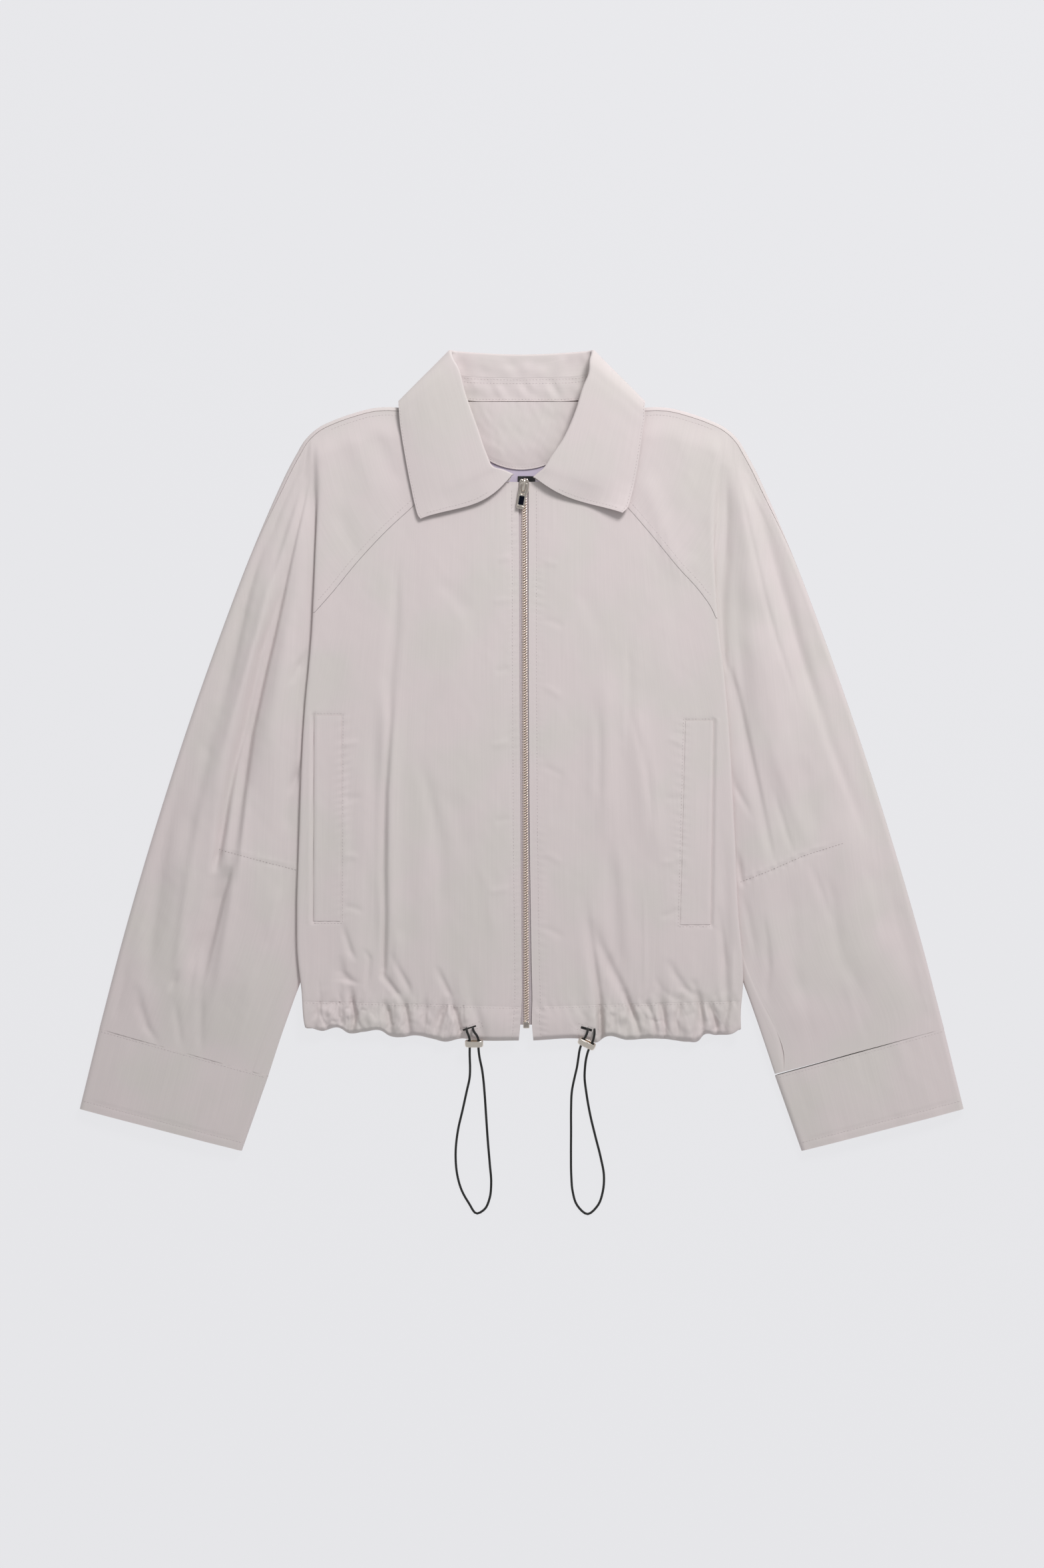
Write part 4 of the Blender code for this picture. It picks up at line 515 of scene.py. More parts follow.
def crisp_border(mesh):
    """Mark a panel's cut edges as sharp, so that its face stays evenly lit right up to a seam."""
    edge_of_corner = np.empty(len(mesh.loops), dtype=np.int32)
    mesh.loops.foreach_get("edge_index", edge_of_corner)
    on_border = np.bincount(edge_of_corner, minlength=len(mesh.edges)) == 1
    marks = mesh.attributes.get("sharp_edge") or mesh.attributes.new("sharp_edge", "BOOLEAN", "EDGE")
    marks.data.foreach_set("value", on_border)


def weld(mesh, reach, flip=False, closed=False):
    """Join points that meet; a closed form also gets its ends filled and its faces turned outwards."""
    builder = bmesh.new()
    builder.from_mesh(mesh)
    bmesh.ops.remove_doubles(builder, verts=builder.verts, dist=reach)
    if flip:
        bmesh.ops.reverse_faces(builder, faces=builder.faces)
    if closed:
        bmesh.ops.holes_fill(builder, edges=builder.edges, sides=0)
        bmesh.ops.recalc_face_normals(builder, faces=builder.faces)
    builder.to_mesh(mesh)
    builder.free()
    mesh.shade_smooth()


def cloth_piece(name, grids, wall, material, flip=False, inner=None):
    """A cloth panel: its grids joined where they meet, a wall on the inner side, and its finish."""
    mesh = panel_mesh(name, grids)
    weld(mesh, CLOTH_WELD, flip)
    crisp_border(mesh)
    mesh.materials.append(material)
    piece = scene_object(name, mesh)
    maker = piece.modifiers.new("Wall", "SOLIDIFY")
    maker.thickness = wall * MM
    maker.offset = -1.0
    if inner is not None:
        mesh.materials.append(inner)
        maker.material_offset = 1
    declared[name] = flat_size(grids)
    print(f"{name}: {len(mesh.polygons)} quads, cut {declared[name][0]:.0f} x {declared[name][1]:.0f} mm")
    return piece


def side_grid(side, points):
    """Grid points with x turned from outwards to signed."""
    points = points.copy()
    points[..., 0] *= side
    return points

# %% [markdown]
# ## The elastic cords and their locks
# Each side of the zip has a loop of elastic cord. It leaves the casing through a small slit, passes
# a metal lock, and lies on the surface in one long loop. A tube is a row of rings: each ring's side
# direction is the last ring's with the part along the path taken out, so the tube doesn't twist.

# %% Two loops of cord, each through a metal lock
CORD_RADIUS = 1.1
CORD_SIDES = 12
CORD_ROUTES = {
    RIGHT: [
        (-50.6, -254.6, 12.3), (-50.5, -255, 13.6), (-49.9, -257.6, 15.2), (-48.5, -261.2, 15.4),
        (-47.6, -264.7, 14.4), (-47.6, -268.4, 12.8), (-47.6, -272.1, 11.2), (-47.7, -277.6, 7.4),
        (-47.6, -284.5, 2.9), (-47.4, -292, 1.2), (-47.8, -300.5, 1.1), (-50.4, -312.6, 1.1),
        (-54.2, -330, 1.1), (-58.6, -349.4, 1.1), (-60.7, -371, 1.1), (-59, -391, 1.1),
        (-55.4, -403.5, 1.1), (-48.5, -416, 1.1), (-41.2, -425.5, 1.1), (-34, -421.5, 1.1),
        (-29.6, -412, 1.1), (-28, -398, 1.1), (-29.3, -380, 1.1), (-31, -360, 1.1), (-32.6, -337, 1.1),
        (-34, -316, 1.1), (-35.4, -300.5, 1.1), (-36.6, -292, 1.2), (-38.2, -284.5, 2.9),
        (-39.2, -277.6, 7.4), (-39.6, -272.1, 11.2), (-39.6, -268.4, 12.8), (-39.6, -264.7, 14.4),
        (-41, -261, 15.6), (-43.7, -257.2, 15.9), (-44.6, -254.8, 14.4), (-44.6, -254.4, 13),
    ],
    LEFT: [
        (60.6, -254.8, 12.4), (60.6, -255.2, 13.7), (60.2, -257.6, 15.3), (59, -260.8, 15.4),
        (57.5, -263.7, 14.4), (56, -266.9, 12.4), (54.5, -270, 10.4), (53, -275.6, 6.6), (52, -283, 2.6),
        (50.8, -291, 1.2), (48.6, -300.5, 1.1), (46.2, -312.6, 1.1), (45.4, -330, 1.1), (45.4, -349.4, 1.1),
        (45.3, -371, 1.1), (45.6, -391, 1.1), (46.8, -405, 1.1), (51, -418, 1.1), (60.5, -426, 1.1),
        (70, -418, 1.1), (74.6, -405, 1.1), (75.6, -391, 1.1), (72.6, -374, 1.1), (67.8, -355, 1.1),
        (62.8, -334, 1.1), (59.2, -313, 1.1), (57.8, -300.5, 1.1), (58.2, -291, 1.2), (59, -284, 3.2),
        (60.2, -278.2, 7), (61.7, -273.5, 10.4), (63.2, -270.4, 12.4), (64.7, -267.2, 14.4),
        (65.9, -263.4, 15.8), (66.6, -259.2, 16), (66.6, -256, 14.5), (66.6, -255.6, 13),
    ],
}
CORD_END_SHARES = np.array([0.0, 0.004, 0.008, 0.013, 0.02, 0.03, 0.041, 0.052, 0.063, 0.075, 0.09, 0.11])
CORD_LOOP_SHARES = np.linspace(0.11, 0.89, 46)[1:-1]
CORD_SHARES = np.concatenate([CORD_END_SHARES, CORD_LOOP_SHARES, 1.0 - CORD_END_SHARES[::-1]])
Lock = namedtuple("Lock", "x y z turn lean")
LOCKS = {RIGHT: Lock(-43.6, -268.4, 12.8, 0.0, 24.0), LEFT: Lock(59.6, -268.6, 12.4, -26.0, 30.0)}
LOCK_SIZE = (17.0, 5.6)
LOCK_WIDTH = 6.2
LOCK_HOLE = (11.6, 3.0)
LOCK_ROUNDING = 0.75


def carried_sides(path):
    """Unit tangents of a path, and a side direction at each point that turns no more than the path does."""
    tangents = unit(np.gradient(path, axis=0))
    side = np.array((1.0, 0.0, 0.0))
    sides = []
    for tangent in tangents:
        side = side - tangent * side.dot(tangent)
        side = side / np.linalg.norm(side)
        sides.append(side)
    return tangents, np.array(sides)


def tube_grid(path, radius, sides_round):
    """Rings round a path: path + r cos a side + s sin a up, for a radius r = s or a pair of radii."""
    tangents, sides = carried_sides(path)
    ups = np.cross(tangents, sides)
    angle = np.linspace(0.0, 2.0 * math.pi, sides_round + 1)
    half_width, half_height = np.broadcast_to(radius, 2)
    reach = half_width * np.cos(angle)[None, :, None] * sides[:, None]
    return path[:, None] + reach + half_height * np.sin(angle)[None, :, None] * ups[:, None]


def closed_piece(name, grids, material):
    """A closed form from grids, such as a tube or a ball, with its finish."""
    mesh = panel_mesh(name, grids)
    weld(mesh, FORM_WELD, closed=True)
    mesh.materials.append(material)
    return scene_object(name, mesh)


def rotation(about_x, about_z):
    """Turning matrix: first about X, then about Z, both in degrees."""
    a, b = math.radians(about_x), math.radians(about_z)
    tilt = np.array([(1, 0, 0), (0, math.cos(a), -math.sin(a)), (0, math.sin(a), math.cos(a))])
    spin = np.array([(math.cos(b), -math.sin(b), 0), (math.sin(b), math.cos(b), 0), (0, 0, 1)])
    return spin @ tilt


def lock_grid(lock):
    """An oblong ring: its section runs round a slot, thin above and below it and thick at its ends."""
    turn = np.linspace(0.0, 2.0 * math.pi, 57)[:, None, None]
    about = np.linspace(0.0, 2.0 * math.pi, 21)[None, :, None]
    shape = np.concatenate([signed_power(np.cos(turn), 0.55), signed_power(np.sin(turn), 0.6)], axis=-1)
    outer = shape * np.array(LOCK_SIZE) * 0.5
    inner = shape * np.array(LOCK_HOLE) * 0.5
    middle, reach = 0.5 * (outer + inner), 0.5 * (outer - inner)
    flat = middle + reach * signed_power(np.cos(about), LOCK_ROUNDING)
    depth = 0.5 * LOCK_WIDTH * signed_power(np.sin(about), LOCK_ROUNDING) * np.ones_like(turn)
    points = np.concatenate([flat[..., :1], depth, flat[..., 1:]], axis=-1)
    return points @ rotation(lock.lean, lock.turn).T + np.array([lock.x, lock.y, lock.z])


for side, name in SIDE_NAMES.items():
    path = along(CORD_ROUTES[side], resample(CORD_SHARES, 2))
    cord = closed_piece(f"elastic_cord_{name}", [tube_grid(path, CORD_RADIUS, CORD_SIDES)], elastic)
    ring = closed_piece(f"lock_ring_{name}", [lock_grid(LOCKS[side])], nickel)
    parts = ((cord, f"hem_cord_{name}", "elastic_cord"), (ring, f"cord_lock_{name}", "lock_metal"))
    for piece, node, slot in parts:
        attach(piece, "jacket")
        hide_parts(node)

# %% [markdown]
# ## The outline and the seams
# A flat garment is read from its edges: the outer edge over shoulder and sleeve, the crease
# where the body folds over the sleeve, the neck curve and the raglan seams. All are measured
# outwards from the middle, one list for each side where the sides differ.

# %% Heights, edges and seams
SEAM_GAP = 0.06
HEM_GAP = 0.03
RAGLAN_GAP = 0.14
SEAM_ANGLE = 0.05
SHOULDER_SEAM_ANGLE = 0.22
ARM_SEAM_ANGLE = 1.3
SEAM_TURN_Y = (250.0, 150.0)
BODY_TOP = 11.2
FRONT_EDGE_TOP = 10.6
CREASE_TOP = 12.4
SLEEVE_TOP = 11.8
FOLDED_EDGE_TOP = 8.6
EDGE_RADIUS = 4.5
NOSE_RADIUS = 1.75
TUCK_GAP = 1.1
SLEEVE_UNDER_TOP = CREASE_TOP - 2 * NOSE_RADIUS - TUCK_GAP
TUCK_DEPTH = 3.9
SIDE_SEAM_INSET = 10.2
FIRST_CURL = 0.5
OUTER_EDGE = pairs(
    (73, 324), (90, 318.5), (110, 314.9), (124, 315.4), (136, 314.4), (155.6, 309.4), (172, 303.6),
    (186.1, 296.8), (193.5, 291), (199.4, 284.5), (206.2, 273.1), (212.9, 260.9), (224.5, 236.5),
    (235.2, 212.1), (250.4, 175.5), (273.6, 114.5), (299.8, 41.3), (327.9, -44.1), (364.2, -166.1),
    (387.6, -255.1),
)
CREASE = {
    RIGHT: pairs(
        (188.8, 291.4), (187.6, 243.8), (188.8, 192), (190.6, 144.4), (192.5, 106.6), (194.9, 77.9),
        (197.9, 47.4), (204, -81.9), (205.9, -153.9), (205.3, -188.6), (201.6, -221), (199.2, -250.2),
        (196.5, -262),
    ),
    LEFT: pairs(
        (183.5, 296), (178.6, 243.8), (177, 192), (178.2, 144.4), (181.2, 106.6), (184.8, 77.9),
        (187.8, 47.4), (195.5, -81.9), (199.4, -160), (202.4, -190), (202.8, -212.4), (200.6, -243.5),
        (201.4, -262),
    ),
}
NECKLINE = pairs((4, 246.2), (15, 246.6), (29.6, 248.9), (44, 255), (58, 265))
RAGLAN = {
    RIGHT: pairs(
        (58, 265), (75, 247.5), (99.1, 224.3), (124.1, 201.1), (149.8, 173.7), (175.4, 142.6),
        (190.6, 125.5), (206, 110),
    ),
    LEFT: pairs(
        (58, 265), (75, 245.5), (97.3, 222.5), (117.4, 199.3), (143, 168.2), (165.6, 142.6), (174.2, 129.8),
        (179.2, 118.8), (190, 98),
    ),
}
ARMPIT_Y = {RIGHT: 125.5, LEFT: 120.5}
BACK_RAGLAN = {
    RIGHT: pairs((54, 320.5), (68, 303), (92, 273), (122, 233), (148, 192), (168, 154), (182.5, 118)),
    LEFT: pairs((54, 320.5), (68, 303), (91, 273), (118, 233), (141, 192), (158, 154), (171, 118)),
}
UNDERARM_SEAM = {
    RIGHT: pairs(
        (188.6, 118), (191, 77.9), (194, 47.4), (200.1, -81.9), (203, -150), (213.2, -194.1), (228, -238),
        (241, -276), (247.2, -295),
    ),
    LEFT: pairs(
        (176.2, 118), (180.9, 77.9), (183.9, 47.4), (191.6, -81.9), (196, -140), (200.5, -176),
        (214, -218.5), (228.5, -246), (240.5, -279), (240.5, -295),
    ),
}
SLEEVE_FOLD = {
    RIGHT: pairs(
        (183.2, 118), (187.5, 77.9), (190.5, 47.4), (196.6, -81.9), (197, -150), (199.2, -199),
        (208.6, -227.1), (217.2, -251.5), (229.7, -288.1), (232.8, -298.5),
    ),
    LEFT: pairs(
        (171.4, 118), (177.4, 77.9), (180.4, 47.4), (188.1, -81.9), (193, -150), (198.8, -199),
        (208.6, -227.1), (217.2, -251.5), (229.7, -288.1), (232.8, -298.5),
    ),
}
FRONT_EDGE = {
    RIGHT: pairs(
        (2.8, 246.2), (2.5, 206), (2, 60), (1, -93), (0, -200), (-0.1, -227), (1.2, -251), (2.7, -266),
    ),
    LEFT: pairs(
        (6.3, 246.2), (6.3, 206), (6.4, 60), (7.6, -93), (9.2, -200), (9.8, -227), (9.4, -251),
        (10.7, -266),
    ),
}


def front_edge_x(side, y):
    """Distance of a front's zip edge from the middle."""
    return x_at(FRONT_EDGE[side], y)


def raglan_slope(side, x):
    """Slope of a raglan seam at a distance x."""
    return y_at(RAGLAN[side], x + 0.5) - y_at(RAGLAN[side], x - 0.5)


def raglan_seam_y(side, x, gap):
    """Height of a raglan seam at a distance x, moved square to itself by a gap."""
    return y_at(RAGLAN[side], x) + gap * np.hypot(1.0, raglan_slope(side, x))


def top_seam_y(side, x, gap):
    """Top edge of a front: the neck curve, then the raglan seam, moved down by a gap."""
    neck = y_at(NECKLINE, x) - gap
    return np.where(x < NECKLINE[-1].x, neck, raglan_seam_y(side, x, -RAGLAN_GAP))


print("outer edge points:", len(OUTER_EDGE))

# %% [markdown]
# ## Large folds and gathers
# These are the forms that the solids have too. A fold is a bell across its line, which fades in
# and out along it. A gather of the hem is a narrow valley that dies away above the casing.

# %% Folds, gathers and the height of the body
Fold = namedtuple("Fold", "x0 y0 x1 y1 width height")
Gather = namedtuple("Gather", "x lean width depth")
HEM_SEAM_AT_ZIP = -235.0
HEM_SEAM_AT_CREASE = -230.0
HEM_SEAM_RISE = 5.5
HEM_SEAM_RISE_OVER = 200.0
BACK_HEM_BOTTOM = -249.0
HEM_BULGE = 2.2
HEM_EDGE_DROP = 3.5
GATHER_REACH = 34.0
BODY_FOLDS = [Fold(*row) for row in (
    (-121, 75, -122, -225, 9, 2.8), (-134, 60, -134, -215, 7, -1.6), (77, 90, 78, -90, 10, 1.9),
    (98, 60, 126, -110, 11, 1.9), (79, -74, 90, -226, 7, -1.6), (108, 262, 148, 150, 9, 1.4),
    (188, -70, 189, -215, 5, -1.6),
)]
SLEEVE_FOLDS = [Fold(*row) for row in (
    (-200, 215, -278, -95, 11, -4.4), (-194, 240, -246, -55, 13, 2.8), (-224, 195, -293, -105, 12, 2.4),
    (-272, -88, -300, -205, 7, -3.4), (-250, -60, -268, -240, 18, 1.8), (-330, -100, -345, -235, 12, -1.6),
    (203, 262, 214, 111, 13, 2.6), (215, 130, 246, -55, 15, 3), (219, 232, 271, 20, 9, -3.4),
    (196, 190, 203, -30, 9, -1.8), (245, -110, 262, -250, 15, -2.2), (290, -40, 318, -235, 16, 2),
)]
GATHERS = {
    RIGHT: [Gather(*row) for row in (
        (166, 0.1, 3.6, 2.4), (155, 0, 4, 1.8), (138, -0.1, 4, 1.3), (122.5, 0, 4.4, 2.6),
        (106, 0.1, 4, 2.2), (90, 0.1, 4.4, 1.4), (73, -0.35, 4.6, 2.8), (59.5, 0.2, 4.2, 2.6),
        (43, 0.25, 4.6, 1.6),
    )],
    LEFT: [Gather(*row) for row in (
        (54, -0.2, 4.6, 1.6), (73, 0, 4, 3.2), (86, 0.1, 4.2, 1.6), (100, 0.15, 4.4, 2.4),
        (114, 0, 4.2, 1.4), (128, -0.1, 4.2, 2.4), (146, 0, 4.6, 1.6), (163.5, 0.1, 3.6, 3),
        (176, -0.1, 4.4, 2.8),
    )],
}
HEM_EDGE = {
    RIGHT: pairs(
        (1, -266.1), (35.7, -266.1), (58.3, -264.7), (68, -267.1), (83.3, -264.3), (99.1, -261.4),
        (111.3, -263), (124.1, -261.4), (129.6, -257.6), (147.9, -258.2), (163.2, -258.6), (167.4, -255.4),
        (187, -256.9), (196.5, -254),
    ),
    LEFT: pairs(
        (9, -266.1), (54, -264.5), (70.5, -267), (75.3, -263.4), (96.1, -265.5), (118, -264.3),
        (133.9, -265), (151.6, -267.2), (163.2, -265.4), (166, -262), (179.6, -261.2), (195, -258.6),
        (201.6, -254),
    ),
}


def beside_line(line, x, y):
    """Where points lie beside a line: their share of the way along it, and their distance from it."""
    run_x, run_y = line.x1 - line.x0, line.y1 - line.y0
    length = math.hypot(run_x, run_y)
    share = ((x - line.x0) * run_x + (y - line.y0) * run_y) / length ** 2
    return share, ((x - line.x0) * run_y - (y - line.y0) * run_x) / length


def fold_height(folds, x, y):
    """Sum of the ridges and troughs: a bell across each, eased in and out along it."""
    total = np.zeros(np.broadcast(x, y).shape)
    for fold in folds:
        share, across = beside_line(fold, x, y)
        total = total + fold.height * bell(across, fold.width) * faded(share, 0.28)
    return total


def hem_seam_y(x):
    """Height of the seam between a front and its hem casing, at a distance x from the middle."""
    return HEM_SEAM_AT_ZIP + HEM_SEAM_RISE * x / HEM_SEAM_RISE_OVER


def hem_seam_ends(side):
    """Distances from the middle at which the seam above a hem casing starts and ends."""
    return front_edge_x(side, HEM_SEAM_AT_ZIP), x_at(CREASE[side], HEM_SEAM_AT_CREASE)


def gather_depth(side, x, y):
    """Depth of the hem's gathers at a point, which die away above the casing."""
    above = y - hem_seam_y(x)
    fade = np.where(above > 0, np.exp(-np.maximum(above, 0) / GATHER_REACH) * 0.55, 1.0)
    total = np.zeros(np.broadcast(x, y).shape)
    for gather in GATHERS[side]:
        middle = gather.x + gather.lean * above
        widen = 1.0 + np.maximum(above, 0) / 30.0
        total = total + gather.depth * bell(x - middle, gather.width * widen)
    return total * fade


def plain_body_height(side, x, y):
    """Outer face of the fronts and of the sleeve's shoulder part, at x outwards from the middle."""
    inside = x_at(CREASE[side], y) - x
    edge = x - front_edge_x(side, y)
    height = BODY_TOP + (CREASE_TOP - BODY_TOP) * ease(1.0 - inside / 26.0)
    height = height - (BODY_TOP - FRONT_EDGE_TOP) * ease(1.0 - edge / 24.0)
    calm = ease((edge - 9.0) / 22.0) * ease((inside - 2.0) / 14.0)
    height = height + fold_height(BODY_FOLDS, side * x, y) * calm
    return height - gather_depth(side, x, y) * ease((edge - 4.0) / 10.0)


print("folds:", len(BODY_FOLDS) + len(SLEEVE_FOLDS), "gathers:", sum(len(row) for row in GATHERS.values()))

# %% [markdown]
# ## The folded outer edge and the fold over the sleeve
# Shoulder and sleeve end in a soft fold, so the outer edge is half a flattened round: its angle
# runs from 0 on top to pi underneath. At the body's edge the cloth steps down to the sleeve near
# the shoulder, and further down it folds right back under itself. The profile across it changes
# from one to the other, and `refine` puts smooth points between the profile's few.

# %% Edge, crease and sleeve rows
PROFILE_STEPS = 4
Station = namedtuple("Station", "outer_y inner_y")
BACK_LIFT = 1.85
SLEEVE_STATIONS = [Station(*row) for row in (
    (279, 290.5), (260.9, 267), (236.5, 239.6), (212.1, 212.1), (175.5, 172.5), (145, 138.9),
    (114.5, 102.3), (77.9, 59.6), (16.9, -1.4), (-44.1, -68.5), (-105.1, -136), (-166.1, -202),
    (-214.9, -255), (-255.1, -294.5),
)]
UPPER_ROWS = 9
LOWER_ROWS_Y = [98.0, 60.0, 5.0, -60.0, -118.0, -150.0, -176.0, -200.0, -226.0, -258.0, -294.5]
SHOULDER_COLUMNS = 8
SHOULDER_SEAM_START = 74.5
SHOULDER_FADE = 0.09
STEP_PROFILE = np.array([(-4, 0), (-2.4, 0.3), (-0.8, 1.2), (0.4, 2.4), (1.4, 3.4), (2.6, 4.3), (4, 4.6)])
FOLD_PROFILE = np.array([
    (-NOSE_RADIUS, 0.0), (-0.5, 0.5), (0.0, NOSE_RADIUS), (-NOSE_RADIUS, 2 * NOSE_RADIUS),
    (-TUCK_DEPTH, 2 * NOSE_RADIUS), (-TUCK_DEPTH - 0.9, 2 * NOSE_RADIUS + 0.5 * TUCK_GAP),
    (-TUCK_DEPTH, 2 * NOSE_RADIUS + TUCK_GAP),
])
SIDE_PROFILE = np.array([
    (-NOSE_RADIUS, 0.0), (-0.5, 0.5), (0.0, NOSE_RADIUS), (-NOSE_RADIUS, 2 * NOSE_RADIUS),
    (-SIDE_SEAM_INSET + 1.6, 2 * NOSE_RADIUS), (-SIDE_SEAM_INSET, 2 * NOSE_RADIUS + 1.8),
    (-SIDE_SEAM_INSET, CREASE_TOP - 1.7),
])
EDGE_SHARES = even(1201)
EDGE_DENSE = along(OUTER_EDGE, EDGE_SHARES)


def edge_share_at_y(y):
    """Share of the outer edge's length at a height y, below the shoulder."""
    return np.interp(-np.asarray(y, float), -EDGE_DENSE[:, 1], EDGE_SHARES)


def edge_share_at_x(x):
    """Share of the outer edge's length at a distance x."""
    return np.interp(x, EDGE_DENSE[:, 0], EDGE_SHARES)


def back_lift(x, y):
    """How far the back layers ride up over the collar's fall, which lies under the back neck."""
    fall_edge = np.interp(x, [0.0, 64.0, 88.0, 102.5, 113.0], [296.5, 297.8, 303.5, 311.5, 319.0])
    below = ease((y - fall_edge + 42.0) / 26.0)
    beside = ease((152.0 - x) / 26.0)
    return BACK_LIFT * below * beside


def edge_roll(share, angle):
    """Outer face of the folded edge of shoulder and sleeve: angle 0 on top, pi underneath."""
    share, angle = np.broadcast_arrays(np.asarray(share, float), np.asarray(angle, float))
    point = along(OUTER_EDGE, share)
    step = 0.002
    ahead = along(OUTER_EDGE, np.minimum(share + step, 1.0))
    behind = along(OUTER_EDGE, np.maximum(share - step, 0.0))
    tangent = unit(ahead - behind)
    inward = joined(tangent[..., 1], -tangent[..., 0])
    flat = point + inward * (EDGE_RADIUS * (1.0 - np.sin(angle)))[..., None]
    low = back_lift(flat[..., 0], flat[..., 1])
    height = mix(low, FOLDED_EDGE_TOP, 0.5 * (1.0 + np.cos(np.maximum(angle, 0.0))))
    return np.concatenate([flat, height[..., None]], axis=-1)


def over_seam_angle(share):
    """Where the seam over the arm lies on the folded edge: on top at the shoulder, at the side below."""
    start, end = edge_share_at_y(SEAM_TURN_Y)
    return mix(SHOULDER_SEAM_ANGLE, ARM_SEAM_ANGLE, ease((share - start) / (end - start)))


def crease_fold(side, share):
    """The fold at the body's edge from the shoulder 0 to the armpit 1: a step that becomes a full fold.

    Gives the offsets outwards across it, how much of the fall each has made, and the whole fall.
    """
    soft = 0.16 if side == LEFT else 0.0
    drop = ease((share - soft * 0.4) / 0.45)
    overlap = ease((share - 0.35 - soft) / 0.4)
    profile = mix(STEP_PROFILE[None], FOLD_PROFILE[None], overlap[:, None, None])
    profile = refine(profile, PROFILE_STEPS, axis=1)
    return profile[..., 0], profile[..., 1] / profile[:, -1:, 1], drop * profile[:, -1, 1]


def sleeve_row_ends(share):
    """Heights on the outer and inner edges for the rows at shares 0 (shoulder) to 1 (cuff seam)."""
    places = even(len(SLEEVE_STATIONS))
    outer_y = hermite(places, [row.outer_y for row in SLEEVE_STATIONS], share)
    inner_y = hermite(places, [row.inner_y for row in SLEEVE_STATIONS], share)
    return outer_y, inner_y


def armpit_share(side):
    """Share of the sleeve's rows at which the raglan seam reaches the body's edge."""
    shares = even(601)
    inner_y = sleeve_row_ends(shares)[1]
    return float(np.interp(-ARMPIT_Y[side], -inner_y, shares))


def sleeve_shares(side):
    """Shares of a sleeve's rows down to the armpit, and below it, closest where the lower seam bends."""
    shares = even(601)
    inner_y = sleeve_row_ends(shares)[1]
    upper = armpit_share(side) * even(UPPER_ROWS)
    lower = np.interp(-np.array(LOWER_ROWS_Y), -inner_y, shares)
    return upper, lower


def shoulder_seam(x):
    """Points on the seam over the shoulder, just inside the outer edge, at the distances x."""
    line = edge_roll(np.linspace(0.002, 0.24, 240), SHOULDER_SEAM_ANGLE - SEAM_ANGLE)
    x = np.asarray(x, float)
    return joined(x, np.interp(x, line[:, 0], line[:, 1]), np.interp(x, line[:, 0], line[:, 2]))


def under_arm_rise(y):
    """How much higher the sleeve's lower seam lies towards the cuff."""
    return ease((-170.0 - y) / 60.0)


def sleeve_inner_line(side, share):
    """Inner end of each sleeve row on the outer face: under the body's fold, then the seam under the arm."""
    inner_y = sleeve_row_ends(share)[1]
    pit = armpit_share(side)
    offset, _, depth = crease_fold(side, np.clip(share / pit, 0.0, 1.0))
    above_x = x_at(CREASE[side], inner_y) + offset[:, -1]
    above_z = CREASE_TOP - depth
    start_x = x_at(CREASE[side], SLEEVE_STATIONS[0].inner_y) + STEP_PROFILE[-1, 0]
    _, start_y, start_z = shoulder_seam(start_x)
    fade = np.clip(1.0 - share / SHOULDER_FADE, 0.0, 1.0)
    below_x = x_at(UNDERARM_SEAM[side], inner_y)
    under = ease((share - pit) / 0.06)
    x = np.where(share <= pit, above_x, mix(above_x, below_x, under))
    y = inner_y + (start_y - SLEEVE_STATIONS[0].inner_y) * fade
    z = np.where(share <= pit, above_z, SLEEVE_UNDER_TOP + under_arm_rise(inner_y))
    return joined(x, y, mix(z, start_z, fade))


print("stations of a sleeve's back:", UPPER_ROWS + len(LOWER_ROWS_Y))

# %% [markdown]
# ## Small creases, wrinkles and seam puckers
# A worn-in garment is never smooth. The short creases are measured from the picture. Each has a
# width to its left and to its right (or above and below), so that a crease can be steep on one
# side, and it may bow. Cloth pulled by a line of stitches puckers into small waves beside it, and
# everywhere a soft unevenness is left from folding and washing.

